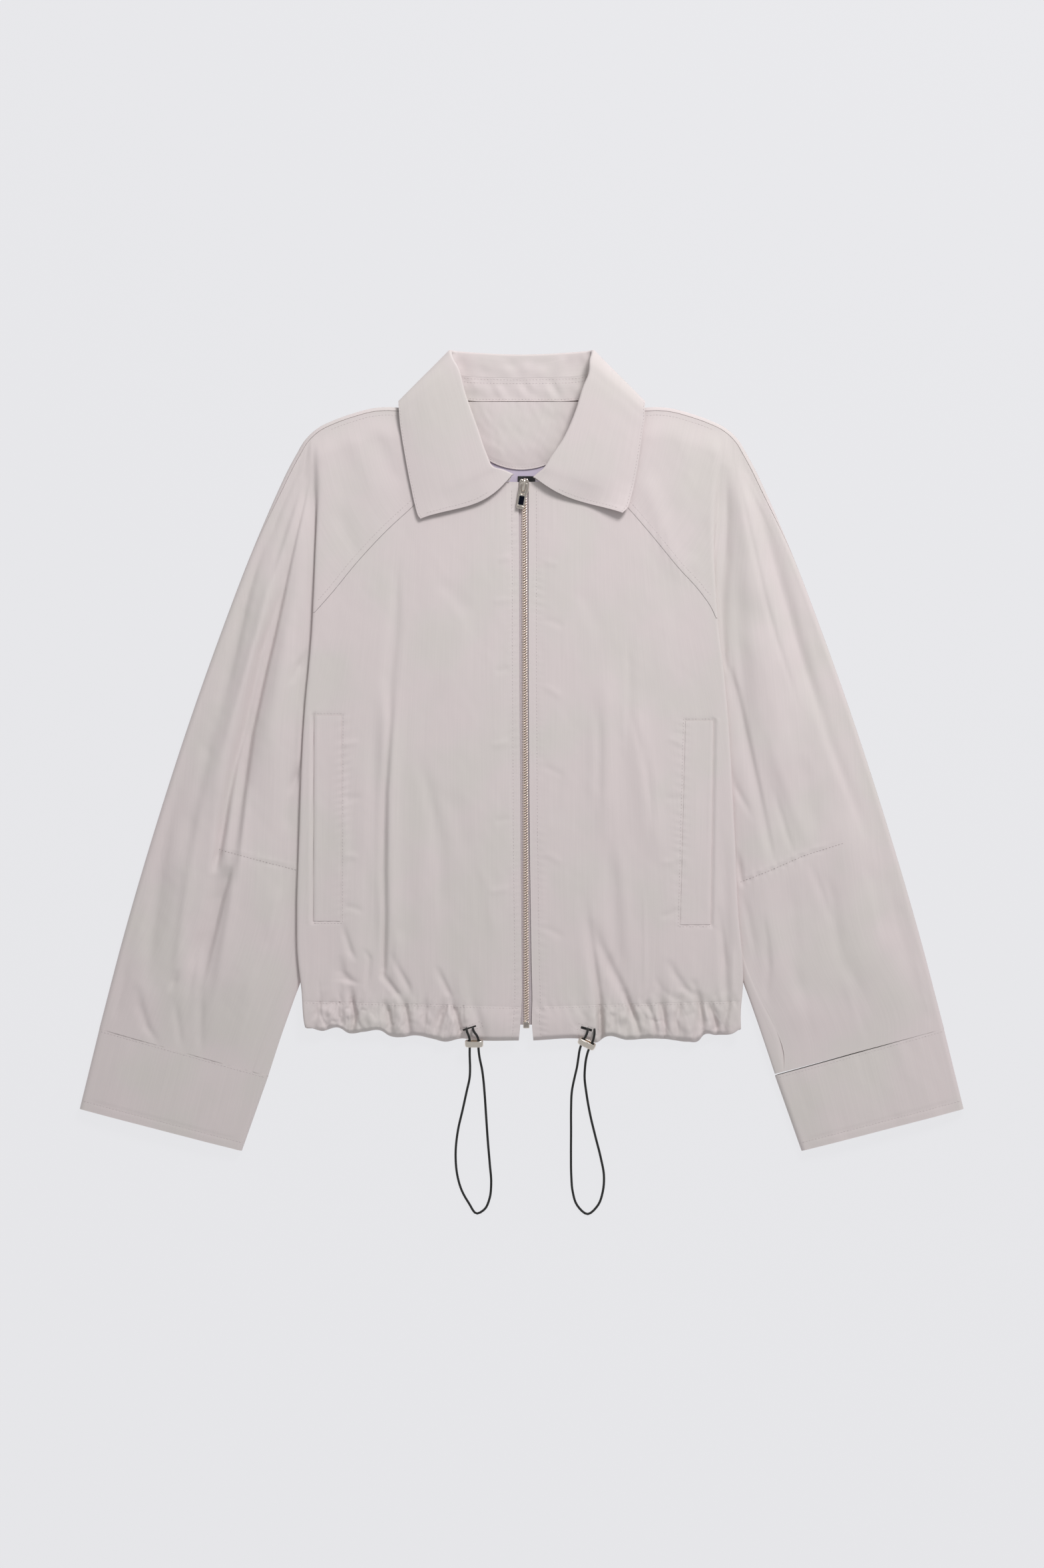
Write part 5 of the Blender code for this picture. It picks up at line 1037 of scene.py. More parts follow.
# %% Relief that the solids don't have
Crease = namedtuple("Crease", "x0 y0 x1 y1 left right height bow")
BODY_CREASES = [Crease(*row) for row in (
    (-111.9, -163, -118, -214.9, 3, 5, 0.7, 0), (-87.5, -62.4, -96.7, -178.3, 9, 6, 0.45, 3),
    (-143.7, -80.7, -146.1, -190.5, 6, 4, -0.5, 2), (-160.7, 4.7, -155.9, -141.7, 5, 7, -0.45, 2),
    (-50.9, 135.9, -78.4, 41.3, 10, 8, 0.5, 5), (-70.5, -31.9, -50.9, -105.1, 7, 9, -0.4, 4),
    (-38.7, -99, -25.3, -178.3, 5, 6, 0.35, 2), (-78.4, 157.2, -47.9, 120.6, 6, 8, -0.4, 3),
    (-23.5, 174.3, -9.5, 178.6, 2, 3, 0.3, 0), (-27.8, 135.9, -9.5, 139.5, 2.5, 2.5, 0.25, 0),
    (-25.3, 71.8, -9.5, 76.1, 2.5, 3, -0.3, 0), (-29.6, 4.7, -8.8, 9.6, 2.5, 3, 0.3, 1),
    (-26.5, -65.4, -8.8, -61.8, 2.5, 2.5, -0.25, 0), (-32.6, -129.5, -8.8, -125.2, 3, 3, 0.3, 1),
    (70.5, 41.3, 70.5, -59.3, 4, 4, -0.9, 1), (63.1, 47.4, 63.1, -53.2, 5, 5, 0.5, 1),
    (97.3, 111.5, 97.3, -4.4, 3, 5, -0.7, 1), (112.5, 14.5, 117.4, -92.9, 3.5, 4.5, -0.75, 1.5),
    (95.5, 49.3, 122.3, -74.6, 3, 4, -0.55, 3), (86.3, -74.6, 97.9, -214.9, 5, 6, 0.5, 2),
    (112.4, -118.5, 112.4, -231.3, 1.3, 1.5, 0.6, 0), (82, -182.5, 70.5, -224.6, 3, 3.5, -0.9, 1),
    (33.2, -13.6, 25.9, -74.6, 9, 6, -0.5, 2), (46.7, 151.1, 74.1, 102.3, 6, 8, -0.4, 3),
    (132.1, 135.9, 122.9, 53.5, 8, 8, 0.45, 3), (120.5, -203.9, 153.4, -230.1, 2.5, 3, -0.7, -7),
    (132.1, -196.6, 167.4, -222.2, 3, 3, 0.6, -5), (193.1, -177.1, 193.7, -233.2, 2, 3.5, 0.7, 0),
    (185.7, -172.2, 184.5, -227.1, 3, 2, -0.8, 0), (200.4, -153.9, 202.2, -230.1, 2.5, 2.5, -0.5, 0),
    (17.4, 174.3, 35.7, 169.4, 2, 2.5, 0.3, 0), (17.4, 120.6, 40.6, 112.1, 2.5, 3, -0.35, 1),
    (17.4, 59.6, 38.1, 47.4, 2.5, 3, 0.35, 1), (17.4, -13.6, 40.6, -25.8, 2.5, 3, -0.35, 1),
    (17.4, -92.9, 39.3, -105.1, 2.5, 3, 0.35, 1), (17.4, -161.2, 40.6, -173.4, 3, 3, -0.4, 1),
    (-143.7, 297.5, -110.7, 236.5, 9, 7, -0.6, 4), (-160.7, 297.5, -136.3, 224.3, 8, 9, 0.5, 4),
    (-172.9, 224.3, -148.5, 169.4, 6, 8, -0.5, 2), (139.4, 300, 116.8, 242.6, 7, 9, -0.5, 4),
    (156.5, 291.4, 138.2, 218.2, 9, 8, 0.5, 4), (169.9, 218.2, 150.4, 169.4, 6, 7, -0.5, 2),
    (-165.6, 4.7, -148.5, 9.6, 2.5, 3, 0.35, 1), (-165.6, -44.1, -145.5, -41.6, 3, 3, -0.35, 1),
    (-165.6, -95.9, -148.5, -99, 3, 3, 0.35, 1), (-165.6, -141.7, -143.7, -149, 2.5, 3, -0.4, 1),
    (150.4, 4.7, 132.1, 10.8, 2.5, 3, 0.35, 1), (149.1, -47.1, 129.6, -43.5, 3, 3, -0.35, 1),
    (147.9, -99, 126, -102.6, 3, 3, 0.35, 1), (146.7, -144.7, 124.7, -152.7, 2.5, 3, -0.4, 1),
)]
BODY_FURROWS = [
    [(-115.6, 175.5, 5, 4, 0), (-114.4, 138.9, 5, 4, -0.8), (-116.8, 102.3, 7, 5, -1.1),
     (-120.5, 65.7, 7, 5, -1.3), (-120.5, 29.1, 4, 3, -1.6), (-122.3, -1.4, 4, 2.5, -1.8),
     (-124.7, -38, 4, 2.2, -2.2), (-125.4, -74.6, 4, 2.2, -2.6), (-126, -111.2, 4, 2.5, -2.4),
     (-125.4, -147.8, 3, 2.5, -2.2), (-126, -178.3, 2.6, 2.2, -2.4), (-126.6, -199.6, 2.6, 2.2, -2.4),
     (-127.2, -211.8, 3, 2.2, 0)],
    [(-164.4, -156.9, 2.4, 2.4, 0), (-161.3, -169.1, 3, 2.2, -0.8), (-156.5, -184.4, 3, 2.2, -1.1),
     (-152.8, -193.5, 3, 2.4, 0)],
    [(-165.6, -187.4, 3, 3, 0), (-164.4, -202.7, 5, 3, -1.2), (-159.5, -210, 5, 3, -1.3),
     (-151.6, -214.9, 4, 3, 0)],
    [(-143.7, -181.3, 2.5, 2.2, 0), (-139.4, -190.5, 2.5, 2, -0.9), (-140.6, -205.7, 2.5, 2.2, -0.8),
     (-142.4, -221, 3, 2.4, 0)],
    [(-127.8, -202.7, 3, 2.5, 0), (-122.3, -211.8, 3, 2.5, -1.4), (-114.4, -222.2, 3, 2.5, -1.6),
     (-108.3, -232, 3, 2.5, 0)],
    [(-119.3, -184.4, 3, 3, 0), (-113.2, -199.6, 3, 2.5, -0.9), (-104.6, -214.9, 3, 2.5, -1.1),
     (-98.5, -230.1, 3, 2.5, 0)],
    [(-77.8, -196.6, 3, 2.2, 0), (-72.9, -208.8, 3, 2, -1), (-66.8, -222.2, 3, 2.2, -1.3),
     (-60.7, -234.4, 3, 2.4, 0)],
    [(-96.7, 4.7, 6, 6, 0), (-84.5, -38, 7, 6, -0.7), (-75.3, -80.7, 7, 7, -0.8),
     (-72.9, -129.5, 7, 7, -0.6), (-70.5, -172.2, 6, 6, 0)],
    [(-157.1, -214.9, 3, 2.4, 0), (-155.2, -230.1, 2.6, 2.2, -2.5), (-152.8, -242.3, 2.6, 2.6, -3),
     (-154.6, -254.5, 3, 3, -2.5), (-154.6, -264.9, 3, 3, -2)],
    [(-127.2, -227.1, 3, 2.4, 0), (-122.3, -239.3, 3, 2.4, -2), (-119.9, -251.5, 3, 3, -1.8),
     (-118.6, -264.9, 3, 3, -1.2)],
    [(-109.5, -227.1, 2.6, 2.4, 0), (-106.4, -236.2, 2.6, 2.4, -1.6), (-104.6, -248.4, 2.6, 2.4, -1.4),
     (-103.4, -264.9, 3, 3, -0.8)],
    [(-66.8, -224.6, 2.6, 2.4, 0), (-71.1, -238.1, 3, 2.4, -1.8), (-75.3, -250.3, 3, 2.4, -1.8),
     (-78.4, -264.9, 3, 2.4, -1.2)],
    [(-66.8, -225.9, 2.6, 2.4, 0), (-61.9, -238.1, 2.6, 2.6, -2.2), (-58.3, -250.3, 2.6, 2.6, -2.4),
     (-54.6, -264.9, 3, 3, -1.6)],
    [(-180.3, -221, 3, 3, 0), (-185.1, -233.2, 3, 3, -1), (-188.8, -245.4, 4, 3, -1.1),
     (-191.2, -264.9, 4, 4, -0.6)],
    [(-86.9, -227.1, 3, 3, 0), (-88.8, -239.3, 3, 3, -1), (-91.2, -254.5, 3, 3, -0.9),
     (-91.8, -264.9, 3, 3, -0.6)],
    [(-138.8, -221, 3, 4, 0), (-138.8, -239.3, 4, 4, 1), (-137.6, -264.9, 4, 4, 0.8)],
    [(56.4, -123.4, 6, 5, 0), (61.3, -160, 6, 3, -0.9), (66.2, -190.5, 5, 2.5, -1.6),
     (69.8, -214.9, 4, 2.2, -2.2), (72.3, -239.3, 3, 2.2, -2.8), (73.5, -266.7, 3, 2.2, -2.6)],
    [(63.7, -153.9, 5, 6, 0), (72.3, -178.3, 6, 4, -1.2), (84.5, -202.7, 6, 3, -1.5),
     (94.2, -221, 5, 3, -1.5), (100.3, -236.2, 4, 3, 0)],
    [(93, -217.9, 3, 2.4, 0), (97.3, -230.1, 3, 2.4, -2.2), (102.8, -242.3, 3, 2.4, -2.8),
     (106.4, -254.5, 3, 3, -2.4), (108.9, -266.7, 3, 3, -1.5)],
    [(112.5, -227.1, 3, 2.4, 0), (118.6, -240.5, 3, 2.4, -1.8), (122.3, -251.5, 3, 2.5, -2),
     (124.7, -266.7, 3, 3, -1.4)],
    [(127.2, -217.9, 3, 3, 0), (128.4, -233.2, 3, 3, -1.6), (130.8, -248.4, 3, 2.5, -1.8),
     (132.1, -266.7, 3, 3, -1.2)],
    [(146.7, -221, 3, 2.4, 0), (144.3, -236.2, 3, 2.5, -1.5), (141.8, -248.4, 3, 2.5, -1.5),
     (143, -266.7, 3, 3, -1)],
    [(157.7, -208.8, 4, 2.4, 0), (162, -227.1, 3, 2.4, -2), (165, -239.3, 3, 2.4, -2.4),
     (166.2, -264.9, 3, 3, -1.6)],
    [(167.4, -222.2, 3, 2.4, 0), (172.3, -236.2, 3, 2.4, -1.8), (177.2, -248.4, 3, 2.4, -2.2),
     (180.9, -264.9, 3, 3, -1.5)],
    [(190.6, -224, 3, 2.4, 0), (188.2, -239.3, 3, 2.4, -1.8), (185.7, -251.5, 3, 3, -1.8),
     (184.5, -264.9, 3, 3, -1.2)],
    [(134.5, -190.5, 4, 3, 0), (140.6, -205.7, 4, 3, -1.2), (150.4, -217.9, 4, 3, -1.3),
     (158.9, -227.1, 3, 3, 0)],
    [(180.9, -141.7, 4, 2.6, 0), (183.3, -166.1, 4, 2.4, -1), (187, -196.6, 4, 2.4, -1.3),
     (188.2, -221, 4, 2.4, -1.2), (190.6, -236.2, 3, 2.4, 0)],
]
SLEEVE_FURROWS = [
    [(-191.2, 267, 4, 1.5, 0), (-202.2, 218.2, 5, 2, -0.8), (-212, 175.5, 6, 2, -1.2),
     (-226.6, 108.4, 7, 2, -1.8), (-233.9, 77.9, 7, 2, -2), (-247.4, 16.9, 7, 2.2, -1.9),
     (-255.9, -44.1, 7, 2.2, -1.8), (-258.9, -74.6, 7, 2.5, -1.5), (-262, -105.1, 6, 3, -0.8),
     (-264.4, -129.5, 6, 3, 0)],
    [(-218.7, 151.1, 5, 4, 0), (-229.1, 120.6, 5, 3, -0.7), (-238.8, 90.1, 5, 3, -1.4),
     (-253.5, 23, 5, 3, -1.6), (-263.2, -13.6, 5, 3, -1.9), (-269.3, -44.1, 5, 3, -2.4),
     (-274.2, -74.6, 5, 3, -2.8), (-277.9, -95.9, 4, 3, -2.5), (-281.5, -112.4, 4, 3, 0)],
    [(-266.3, -105.1, 6, 1.5, 0), (-268.7, -117.3, 7, 1.6, -1.5), (-274.2, -135.6, 8, 1.6, -2.3),
     (-279.1, -156.9, 8, 1.6, -2.2), (-284.6, -178.3, 8, 2, -1.6), (-290.7, -202.7, 8, 2.5, -0.9),
     (-296.8, -227.1, 8, 3, 0)],
    [(-197.3, 260.9, 4, 3, 0), (-209.5, 224.3, 4, 3, -0.7), (-219.3, 193.8, 4, 3, -0.8),
     (-226.6, 169.4, 4, 3, -0.5), (-233.9, 145, 4, 3, 0)],
    [(-235.2, 199.9, 7, 5, 0), (-246.1, 163.3, 7, 4, -0.9), (-254.7, 126.7, 7, 4, -1.1),
     (-262, 93.2, 7, 4, -1), (-271.8, 53.5, 7, 5, -0.8), (-279.7, 16.9, 7, 5, 0)],
    [(-215.6, 199.9, 5, 5, 0), (-230.9, 151.1, 5, 5, 0.8), (-241.3, 108.4, 5, 5, 1),
     (-253.5, 65.7, 5, 5, 1), (-264.4, 29.1, 5, 5, 0.8), (-276.6, -13.6, 6, 6, 0.6),
     (-287.6, -62.4, 6, 6, 0)],
    [(-276.6, 41.3, 7, 5, 0), (-287.6, -1.4, 7, 5, -0.8), (-294.9, -38, 7, 5, -0.9),
     (-302.3, -74.6, 7, 5, -0.7), (-308.4, -111.2, 7, 5, 0)],
    [(-284, -1.4, 5, 6, 0), (-293.7, -44.1, 5, 6, 0.7), (-302.3, -99, 5, 6, 0.8),
     (-309.6, -147.8, 4, 6, 0.9), (-314.5, -184.4, 4, 6, 0.7), (-319.3, -227.1, 4, 6, 0)],
    [(-318.1, -31.9, 8, 6, 0), (-326.7, -80.7, 8, 6, -0.8), (-334, -129.5, 8, 6, -1),
     (-340.1, -178.3, 8, 6, -0.9), (-347.4, -227.1, 8, 6, 0)],
    [(-352.3, -214.9, 5, 4, 0), (-348.6, -236.2, 5, 3, -1.2), (-342.5, -254.5, 5, 3, -1.6),
     (-336.4, -263.7, 4, 3, -1.2), (-332.8, -272.8, 4, 3, 0)],
    [(-318.1, -227.1, 3, 3, 0), (-315.7, -245.4, 3, 3, -0.9), (-313.2, -263.7, 3, 3, -1.2),
     (-311.4, -275.9, 3, 3, 0)],
    [(-292.5, -214.9, 4, 3, 0), (-293.7, -239.3, 4, 3, -0.9), (-294.3, -263.7, 4, 3, -1.2),
     (-293.7, -282, 4, 3, 0)],
    [(-314.5, -199.6, 3, 2.4, 0), (-318.1, -211.8, 3, 2.4, -1), (-321.8, -222.2, 3, 2.4, 0)],
    [(-251, -31.9, 4, 5, 0), (-255.9, -68.5, 4, 5, 1), (-260.8, -105.1, 4, 6, 1.2),
     (-266.9, -141.7, 4, 6, 1.2), (-273, -178.3, 4, 6, 1), (-281.5, -227.1, 5, 6, 0.6),
     (-287.6, -263.7, 5, 6, 0)],
    [(-196.1, 93.2, 3, 3, 0), (-203.4, 77.9, 4, 3, -0.8), (-212, 59.6, 4, 4, 0)],
    [(-198.6, -1.4, 3, 3, 0), (-204.7, -22.7, 4, 2.5, -1.1), (-212, -41, 4, 3, 0)],
    [(-294.9, -166.1, 4, 3, 0), (-299.8, -190.5, 4, 3, -0.8), (-303.5, -214.9, 4, 3, -0.6),
     (-307.1, -239.3, 4, 3, 0)],
    [(-198.6, 279.2, 5, 3, 0), (-212, 248.7, 5, 3, -0.7), (-224.2, 218.2, 5, 3, -0.7),
     (-233.9, 187.7, 5, 4, 0)],
    [(182.1, 288.4, 5, 5, 0), (184.5, 248.7, 6, 5, -1.6), (187, 212.1, 7, 5, -2), (187, 175.5, 7, 5, -2.2),
     (184.5, 145, 6, 5, -2), (183.9, 114.5, 5, 5, -1.6), (185.7, 84, 4, 3, -1.8), (188.2, 70.6, 3, 3, 0)],
    [(204, 251.8, 4, 4, 0), (217.5, 218.2, 4, 5, -1.2), (228.4, 181.6, 4, 6, -1.3),
     (239.4, 145, 4, 6, -1.5), (251.6, 102.3, 4, 6, -1.8), (262.6, 68.8, 4, 6, -1.7),
     (273.6, 35.2, 4, 6, -1.6), (282.1, 7.8, 4, 6, -1.6), (294.3, -22.7, 4, 6, -1.4),
     (305.9, -53.2, 4, 6, -1), (318.1, -86.8, 4, 6, 0)],
    [(197.9, 251.8, 3, 2.5, 0), (206.5, 212.1, 3, 2.5, -0.6), (216.2, 169.4, 3, 2.5, -0.9),
     (224.8, 132.8, 3, 2.5, -0.9), (233.3, 102.3, 3, 2.5, -0.8), (245.5, 65.7, 3, 3, -0.6),
     (254.1, 35.2, 3, 3, 0)],
    [(190.6, 77.9, 3, 2.2, 0), (196.7, 56.6, 5, 2.5, -1.6), (202.8, 29.1, 6, 2.5, -1.8),
     (208.3, 4.7, 6, 2.2, -1.8), (215, -25.8, 6, 2.2, -1.8), (221.7, -56.3, 6, 2.2, -1.6),
     (227.2, -83.7, 5, 2.2, -1.2), (232.1, -105.1, 4, 2.2, 0)],
    [(190, -13.6, 3, 3, 0), (196.7, -34.9, 3, 3, -1), (205.3, -50.2, 3, 3, -0.8), (212.6, -65.4, 3, 3, 0)],
    [(229.7, -31.9, 3, 2.5, 0), (237, -56.3, 3, 2.5, -0.9), (244.3, -80.7, 3, 2.5, -0.9),
     (249.2, -95.9, 3, 2.5, 0)],
    [(196.7, -89.8, 3, 2.4, 0), (198.6, -105.1, 4, 3, -2.2), (201, -117.3, 3, 3, -1.6),
     (204, -126.4, 3, 3, 0)],
    [(263.8, -99, 4, 3, 0), (273.6, -126.4, 4, 3, -0.8), (283.3, -153.9, 5, 4, -0.7),
     (291.9, -184.4, 5, 4, 0)],
    [(221.1, -147.8, 4, 2.4, 0), (224.8, -172.2, 4, 2.2, -1), (227.2, -196.6, 4, 2.2, -1.4),
     (225.4, -217.9, 4, 2.2, -0.9), (222.3, -230.1, 3, 2.4, 0)],
    [(200.4, -126.4, 3, 4, 0), (206.5, -147.8, 3, 4, -0.8), (211.4, -172.2, 3, 4, -0.8),
     (215, -196.6, 3, 4, 0)],
    [(304.1, -214.9, 4, 3, 0), (309, -239.3, 4, 3, -0.7), (315.1, -257.6, 4, 3, -0.8),
     (318.7, -269.8, 3, 3, 0)],
    [(276, -153.9, 6, 6, 0), (291.9, -184.4, 7, 6, -0.7), (306.5, -214.9, 7, 6, -0.6),
     (318.7, -245.4, 6, 6, 0)],
    [(223.6, 23, 6, 6, 0), (237, -19.7, 6, 6, 0.9), (251.6, -62.4, 6, 6, 0.9), (262.6, -92.9, 6, 6, 0)],
    [(327.3, -99, 7, 6, 0), (342.5, -147.8, 7, 6, -0.8), (352.9, -190.5, 7, 6, -0.7),
     (362.6, -233.2, 7, 6, 0)],
    [(254.1, -123.4, 5, 7, 0), (257.7, -166.1, 6, 7, 0.8), (258.9, -208.8, 6, 7, 0.6),
     (261.4, -251.5, 5, 6, 0)],
]
SLEEVE_CREASES = [Crease(*row) for row in (
    (-288.8, 4.7, -304.1, -68.5, 8, 6, 0.6, -2), (-318.1, -99, -331.5, -178.3, 8, 7, -0.6, -2),
    (-337.6, -172.2, -351.1, -245.4, 7, 7, 0.6, -2), (-221.7, -123.4, -233.9, -178.3, 5, 4, 0.6, 0),
    (-241.3, -190.5, -263.2, -282, 5, 6, 0.7, -2), (-362, -190.5, -373, -251.5, 6, 5, -0.5, -1),
    (-209.5, -13.6, -216.9, -80.7, 4, 4, -0.6, 0), (-202.2, 47.4, -205.9, -31.9, 3, 4, 0.6, 0),
    (194.3, 102.3, 200.4, 4.7, 3, 4, 0.5, 1), (254.1, -1.4, 269.3, -80.7, 7, 7, -0.6, 2),
    (278.5, -111.2, 291.9, -190.5, 4, 5, -0.7, 2), (315.1, -99, 333.4, -178.3, 6, 6, -0.6, 3),
    (248, -190.5, 269.3, -288.1, 6, 5, -0.6, 3), (291.9, -196.6, 310.2, -275.9, 6, 7, 0.6, 3),
    (360.8, -184.4, 373.6, -245.4, 5, 6, 0.5, 2),
)]
DARTS = {
    RIGHT: pairs((278.5, -90.4), (249.2, -98.4), (205.9, -109.9)),
    LEFT: pairs((294.9, -84.9), (258.3, -96.5), (229.1, -109.3), (198.6, -121.5)),
}
Welt = namedtuple("Welt", "outer_top inner_top outer_bottom inner_bottom y_top y_bottom")
WELTS = {
    RIGHT: Welt(190.0, 165.6, 190.6, 166.2, 31.9, -156.3),
    LEFT: Welt(175.3, 150.3, 172.9, 145.5, 27.0, -159.6),
}
FRONT_STITCH = {RIGHT: 6.4, LEFT: 7.2}
RAGLAN_STITCH = 5.2
RAGLAN_SPAN = (58.5, 205.0)
WELT_BED = 0.55
CREASE_SHARPNESS = {RIGHT: 1.5, LEFT: 1.1}
SLEEVE_FURROW_DEPTH = {RIGHT: 2.2, LEFT: 1.1}
DART_FADE = {RIGHT: 30.0, LEFT: 20.0}


def crease_height(creases, x, y):
    """Sum of the creases: a bell whose width differs to each side, along a line bent to a parabola."""
    total = np.zeros(np.broadcast(x, y).shape)
    for crease in creases:
        share, across = beside_line(crease, x, y)
        across = across * (1.0 if crease.y1 >= crease.y0 else -1.0)
        across = across - crease.bow * 4.0 * share * (1.0 - share)
        width = np.where(across > 0.0, crease.right, crease.left)
        total = total + crease.height * bell(across, width) * faded(share, 0.3)
    return total


def furrow_height(furrows, x, y):
    """Sum of long folds: each is a bell round a line whose place, widths and height change down its table."""
    total = np.zeros(np.broadcast(x, y).shape)
    for furrow in furrows:
        rows = np.array(furrow)
        line_x, left, right, height = (np.interp(-y, -rows[:, 1], rows[:, column]) for column in (0, 2, 3, 4))
        lean = np.interp(-y, -rows[:, 1], np.gradient(rows[:, 0], rows[:, 1]))
        across = (x - line_x) / np.hypot(1.0, lean)
        total = total + height * bell(across, np.where(across > 0.0, right, left))
    return total


def value_noise(x, y, size_x, size_y, seed, angle=0.0):
    """Smooth random relief between -1 and 1: random values on a turned lattice, joined by smooth steps."""
    lattice = np.random.default_rng(seed).uniform(-1.0, 1.0, (61, 61))
    cos, sin = math.cos(math.radians(angle)), math.sin(math.radians(angle))
    u = (x * cos + y * sin) / size_x + 300.0
    v = (y * cos - x * sin) / size_y + 300.0
    i, j = np.floor(u).astype(int), np.floor(v).astype(int)
    a, b = ease(u - i), ease(v - j)
    low = mix(lattice[i % 61, j % 61], lattice[(i + 1) % 61, j % 61], a)
    high = mix(lattice[i % 61, (j + 1) % 61], lattice[(i + 1) % 61, (j + 1) % 61], a)
    return mix(low, high, b)


def rumple(x, y, seed, angle):
    """Unevenness of washed cloth: long soft waves along the body and small ones over them."""
    soft = 0.34 * value_noise(x, y, 24.0, 78.0, seed, angle)
    medium = 0.17 * value_noise(x, y, 13.0, 33.0, seed + 1, angle - 16.0)
    small = 0.075 * value_noise(x, y, 6.5, 15.0, seed + 2, angle + 24.0)
    return soft + medium + small


def pucker(distance, along_seam, height, period, seed):
    """Small waves beside a line of stitches, strongest on it, with uneven spacing."""
    wander = 1.6 * value_noise(along_seam, distance, 31.0, 60.0, seed)
    swell = 0.6 + 0.4 * value_noise(along_seam, distance, 47.0, 80.0, seed + 3)
    wave = np.sin(2.0 * math.pi * along_seam / period + wander * 2.4 + 0.25 * distance)
    return height * wave * swell * bell(distance, 0.8 * period)


def raglan_distance(side, x, y):
    """Distance from the raglan seam, above nought on the sleeve's side."""
    clear_x = np.clip(x, *RAGLAN_SPAN)
    return (y - y_at(RAGLAN[side], clear_x)) / np.hypot(1.0, raglan_slope(side, clear_x))


def pocket_relief(side, x, y):
    """A pocket round its welt: an open slit along the welt's outer edge, and a dent under its stitches."""
    welt = WELTS[side]
    down = (welt.y_top - y) / (welt.y_top - welt.y_bottom)
    outer = mix(welt.outer_top, welt.outer_bottom, down)
    inner = mix(welt.inner_top, welt.inner_bottom, down)
    in_length = ease((y - welt.y_bottom + 3.0) / 2.0) * ease((welt.y_top + 3.0 - y) / 2.0)
    in_width = ease((x - inner + 3.0) / 2.0) * ease((outer + 3.0 - x) / 2.0)
    slit = -1.5 * bell(x - outer - 1.0, 1.1) * in_length
    ridge = 0.35 * bell(x - outer - 4.2, 2.2) * in_length
    dents = bell(x - inner + 2.0, 0.8) * in_length
    dents = dents + (bell(y - welt.y_top - 2.0, 0.8) + bell(y - welt.y_bottom + 2.0, 0.8)) * in_width
    drag = pucker(x - inner + 2.0, y, 0.2, 8.0, 61 + side) * in_length
    bed = ease((x - inner + 1.0) / 0.9) * ease((outer + 1.0 - x) / 0.9)
    bed = bed * ease((y - welt.y_bottom + 1.0) / 0.9) * ease((welt.y_top + 1.0 - y) / 0.9)
    return slit + ridge - 0.25 * dents + drag - WELT_BED * bed


def body_relief(side, x, y):
    """What the solids leave out of the body and the shoulder: creases, puckers, ridges and rumples."""
    inside = x_at(CREASE[side], y) - x
    edge = x - front_edge_x(side, y)
    calm = ease((edge - 1.0) / 10.0) * ease((inside - 1.0) / 9.0)
    height = CREASE_SHARPNESS[side] * crease_height(BODY_CREASES, side * x, y)
    height = height + 1.6 * furrow_height(BODY_FURROWS, side * x, y)
    height = (height + rumple(side * x, y, 11 + side, 4.0)) * calm
    stitch = edge - FRONT_STITCH[side]
    height = height + pucker(stitch - 2.0 * side, y, 0.2, 6.5, 21 + side) * ease(edge / 3.0)
    height = height - 0.14 * bell(stitch, 0.8)
    seam = raglan_distance(side, x, y)
    on_raglan = ease((x - 50.0) / 12.0) * ease((inside + 2.0) / 8.0)
    height = height + pucker(seam - 1.5, x * 1.35, 0.2, 8.5, 31 + side) * on_raglan
    allowance = 0.14 * ease((seam + 0.5) / 1.5) * ease((RAGLAN_STITCH + 1.6 - seam) / 1.6)
    groove = -0.12 * bell(seam - RAGLAN_STITCH, 0.7)
    height = height + (allowance + groove) * on_raglan
    height = height + pocket_relief(side, x, y)
    above = y - hem_seam_y(x)
    near_casing = ease(1.0 - above / 26.0) * ease((above + 9.0) / 9.0)
    height = height - 0.9 * gather_lines(side, x, y) * near_casing * calm
    casing = -0.1 * bell(above, 1.4)
    return height + (casing + pucker(above, x, 0.42, 8.0, 41 + side)) * ease(edge / 4.0) * ease(inside / 6.0)


def body_height(side, x, y):
    """Outer face of the fronts with all its relief."""
    return plain_body_height(side, x, y) + body_relief(side, x, y)


def sleeve_relief(side, x, y, calm):
    """What the solids leave out of a sleeve's front."""
    height = 1.5 * crease_height(SLEEVE_CREASES, side * x, y)
    height = height + SLEEVE_FURROW_DEPTH[side] * furrow_height(SLEEVE_FURROWS, side * x, y)
    height = height + 1.25 * rumple(side * x, y, 51 + side, -14.0 * side)
    dart = y - y_at(DARTS[side], x)
    in_dart = ease((DARTS[side][0].x - x) / DART_FADE[side])
    dart_relief = 0.35 * bell(dart - 2.2, 2.4) - 0.6 * bell(dart, 0.9) + pucker(dart, x, 0.25, 7.0, 81 + side)
    return (height + dart_relief * in_dart) * calm


print("small creases:", len(BODY_CREASES) + len(SLEEVE_CREASES))

# %% [markdown]
# ## The fronts, their hem casings and the welts
# A front runs from the casing's seam up to the neck curve and the raglan seam, and across from the
# zip to the crease, where the cloth turns round the nose of the fold and back under itself. The
# casing is puffed between its gathers, and its lower edge turns down. A welt lies on its front,
# so its grid is the front's own height at the same points, moved out by its wall.

# %% Fronts, casings and welts
FRONT_ROWS, FRONT_COLUMNS = 232, 122
HEM_ROWS, HEM_COLUMNS = 30, 180
WELT_ROWS, WELT_COLUMNS = 120, 17
WELT_LENGTH = 188.0
WELT_WALL = 0.6
WELT_GAP = 0.02


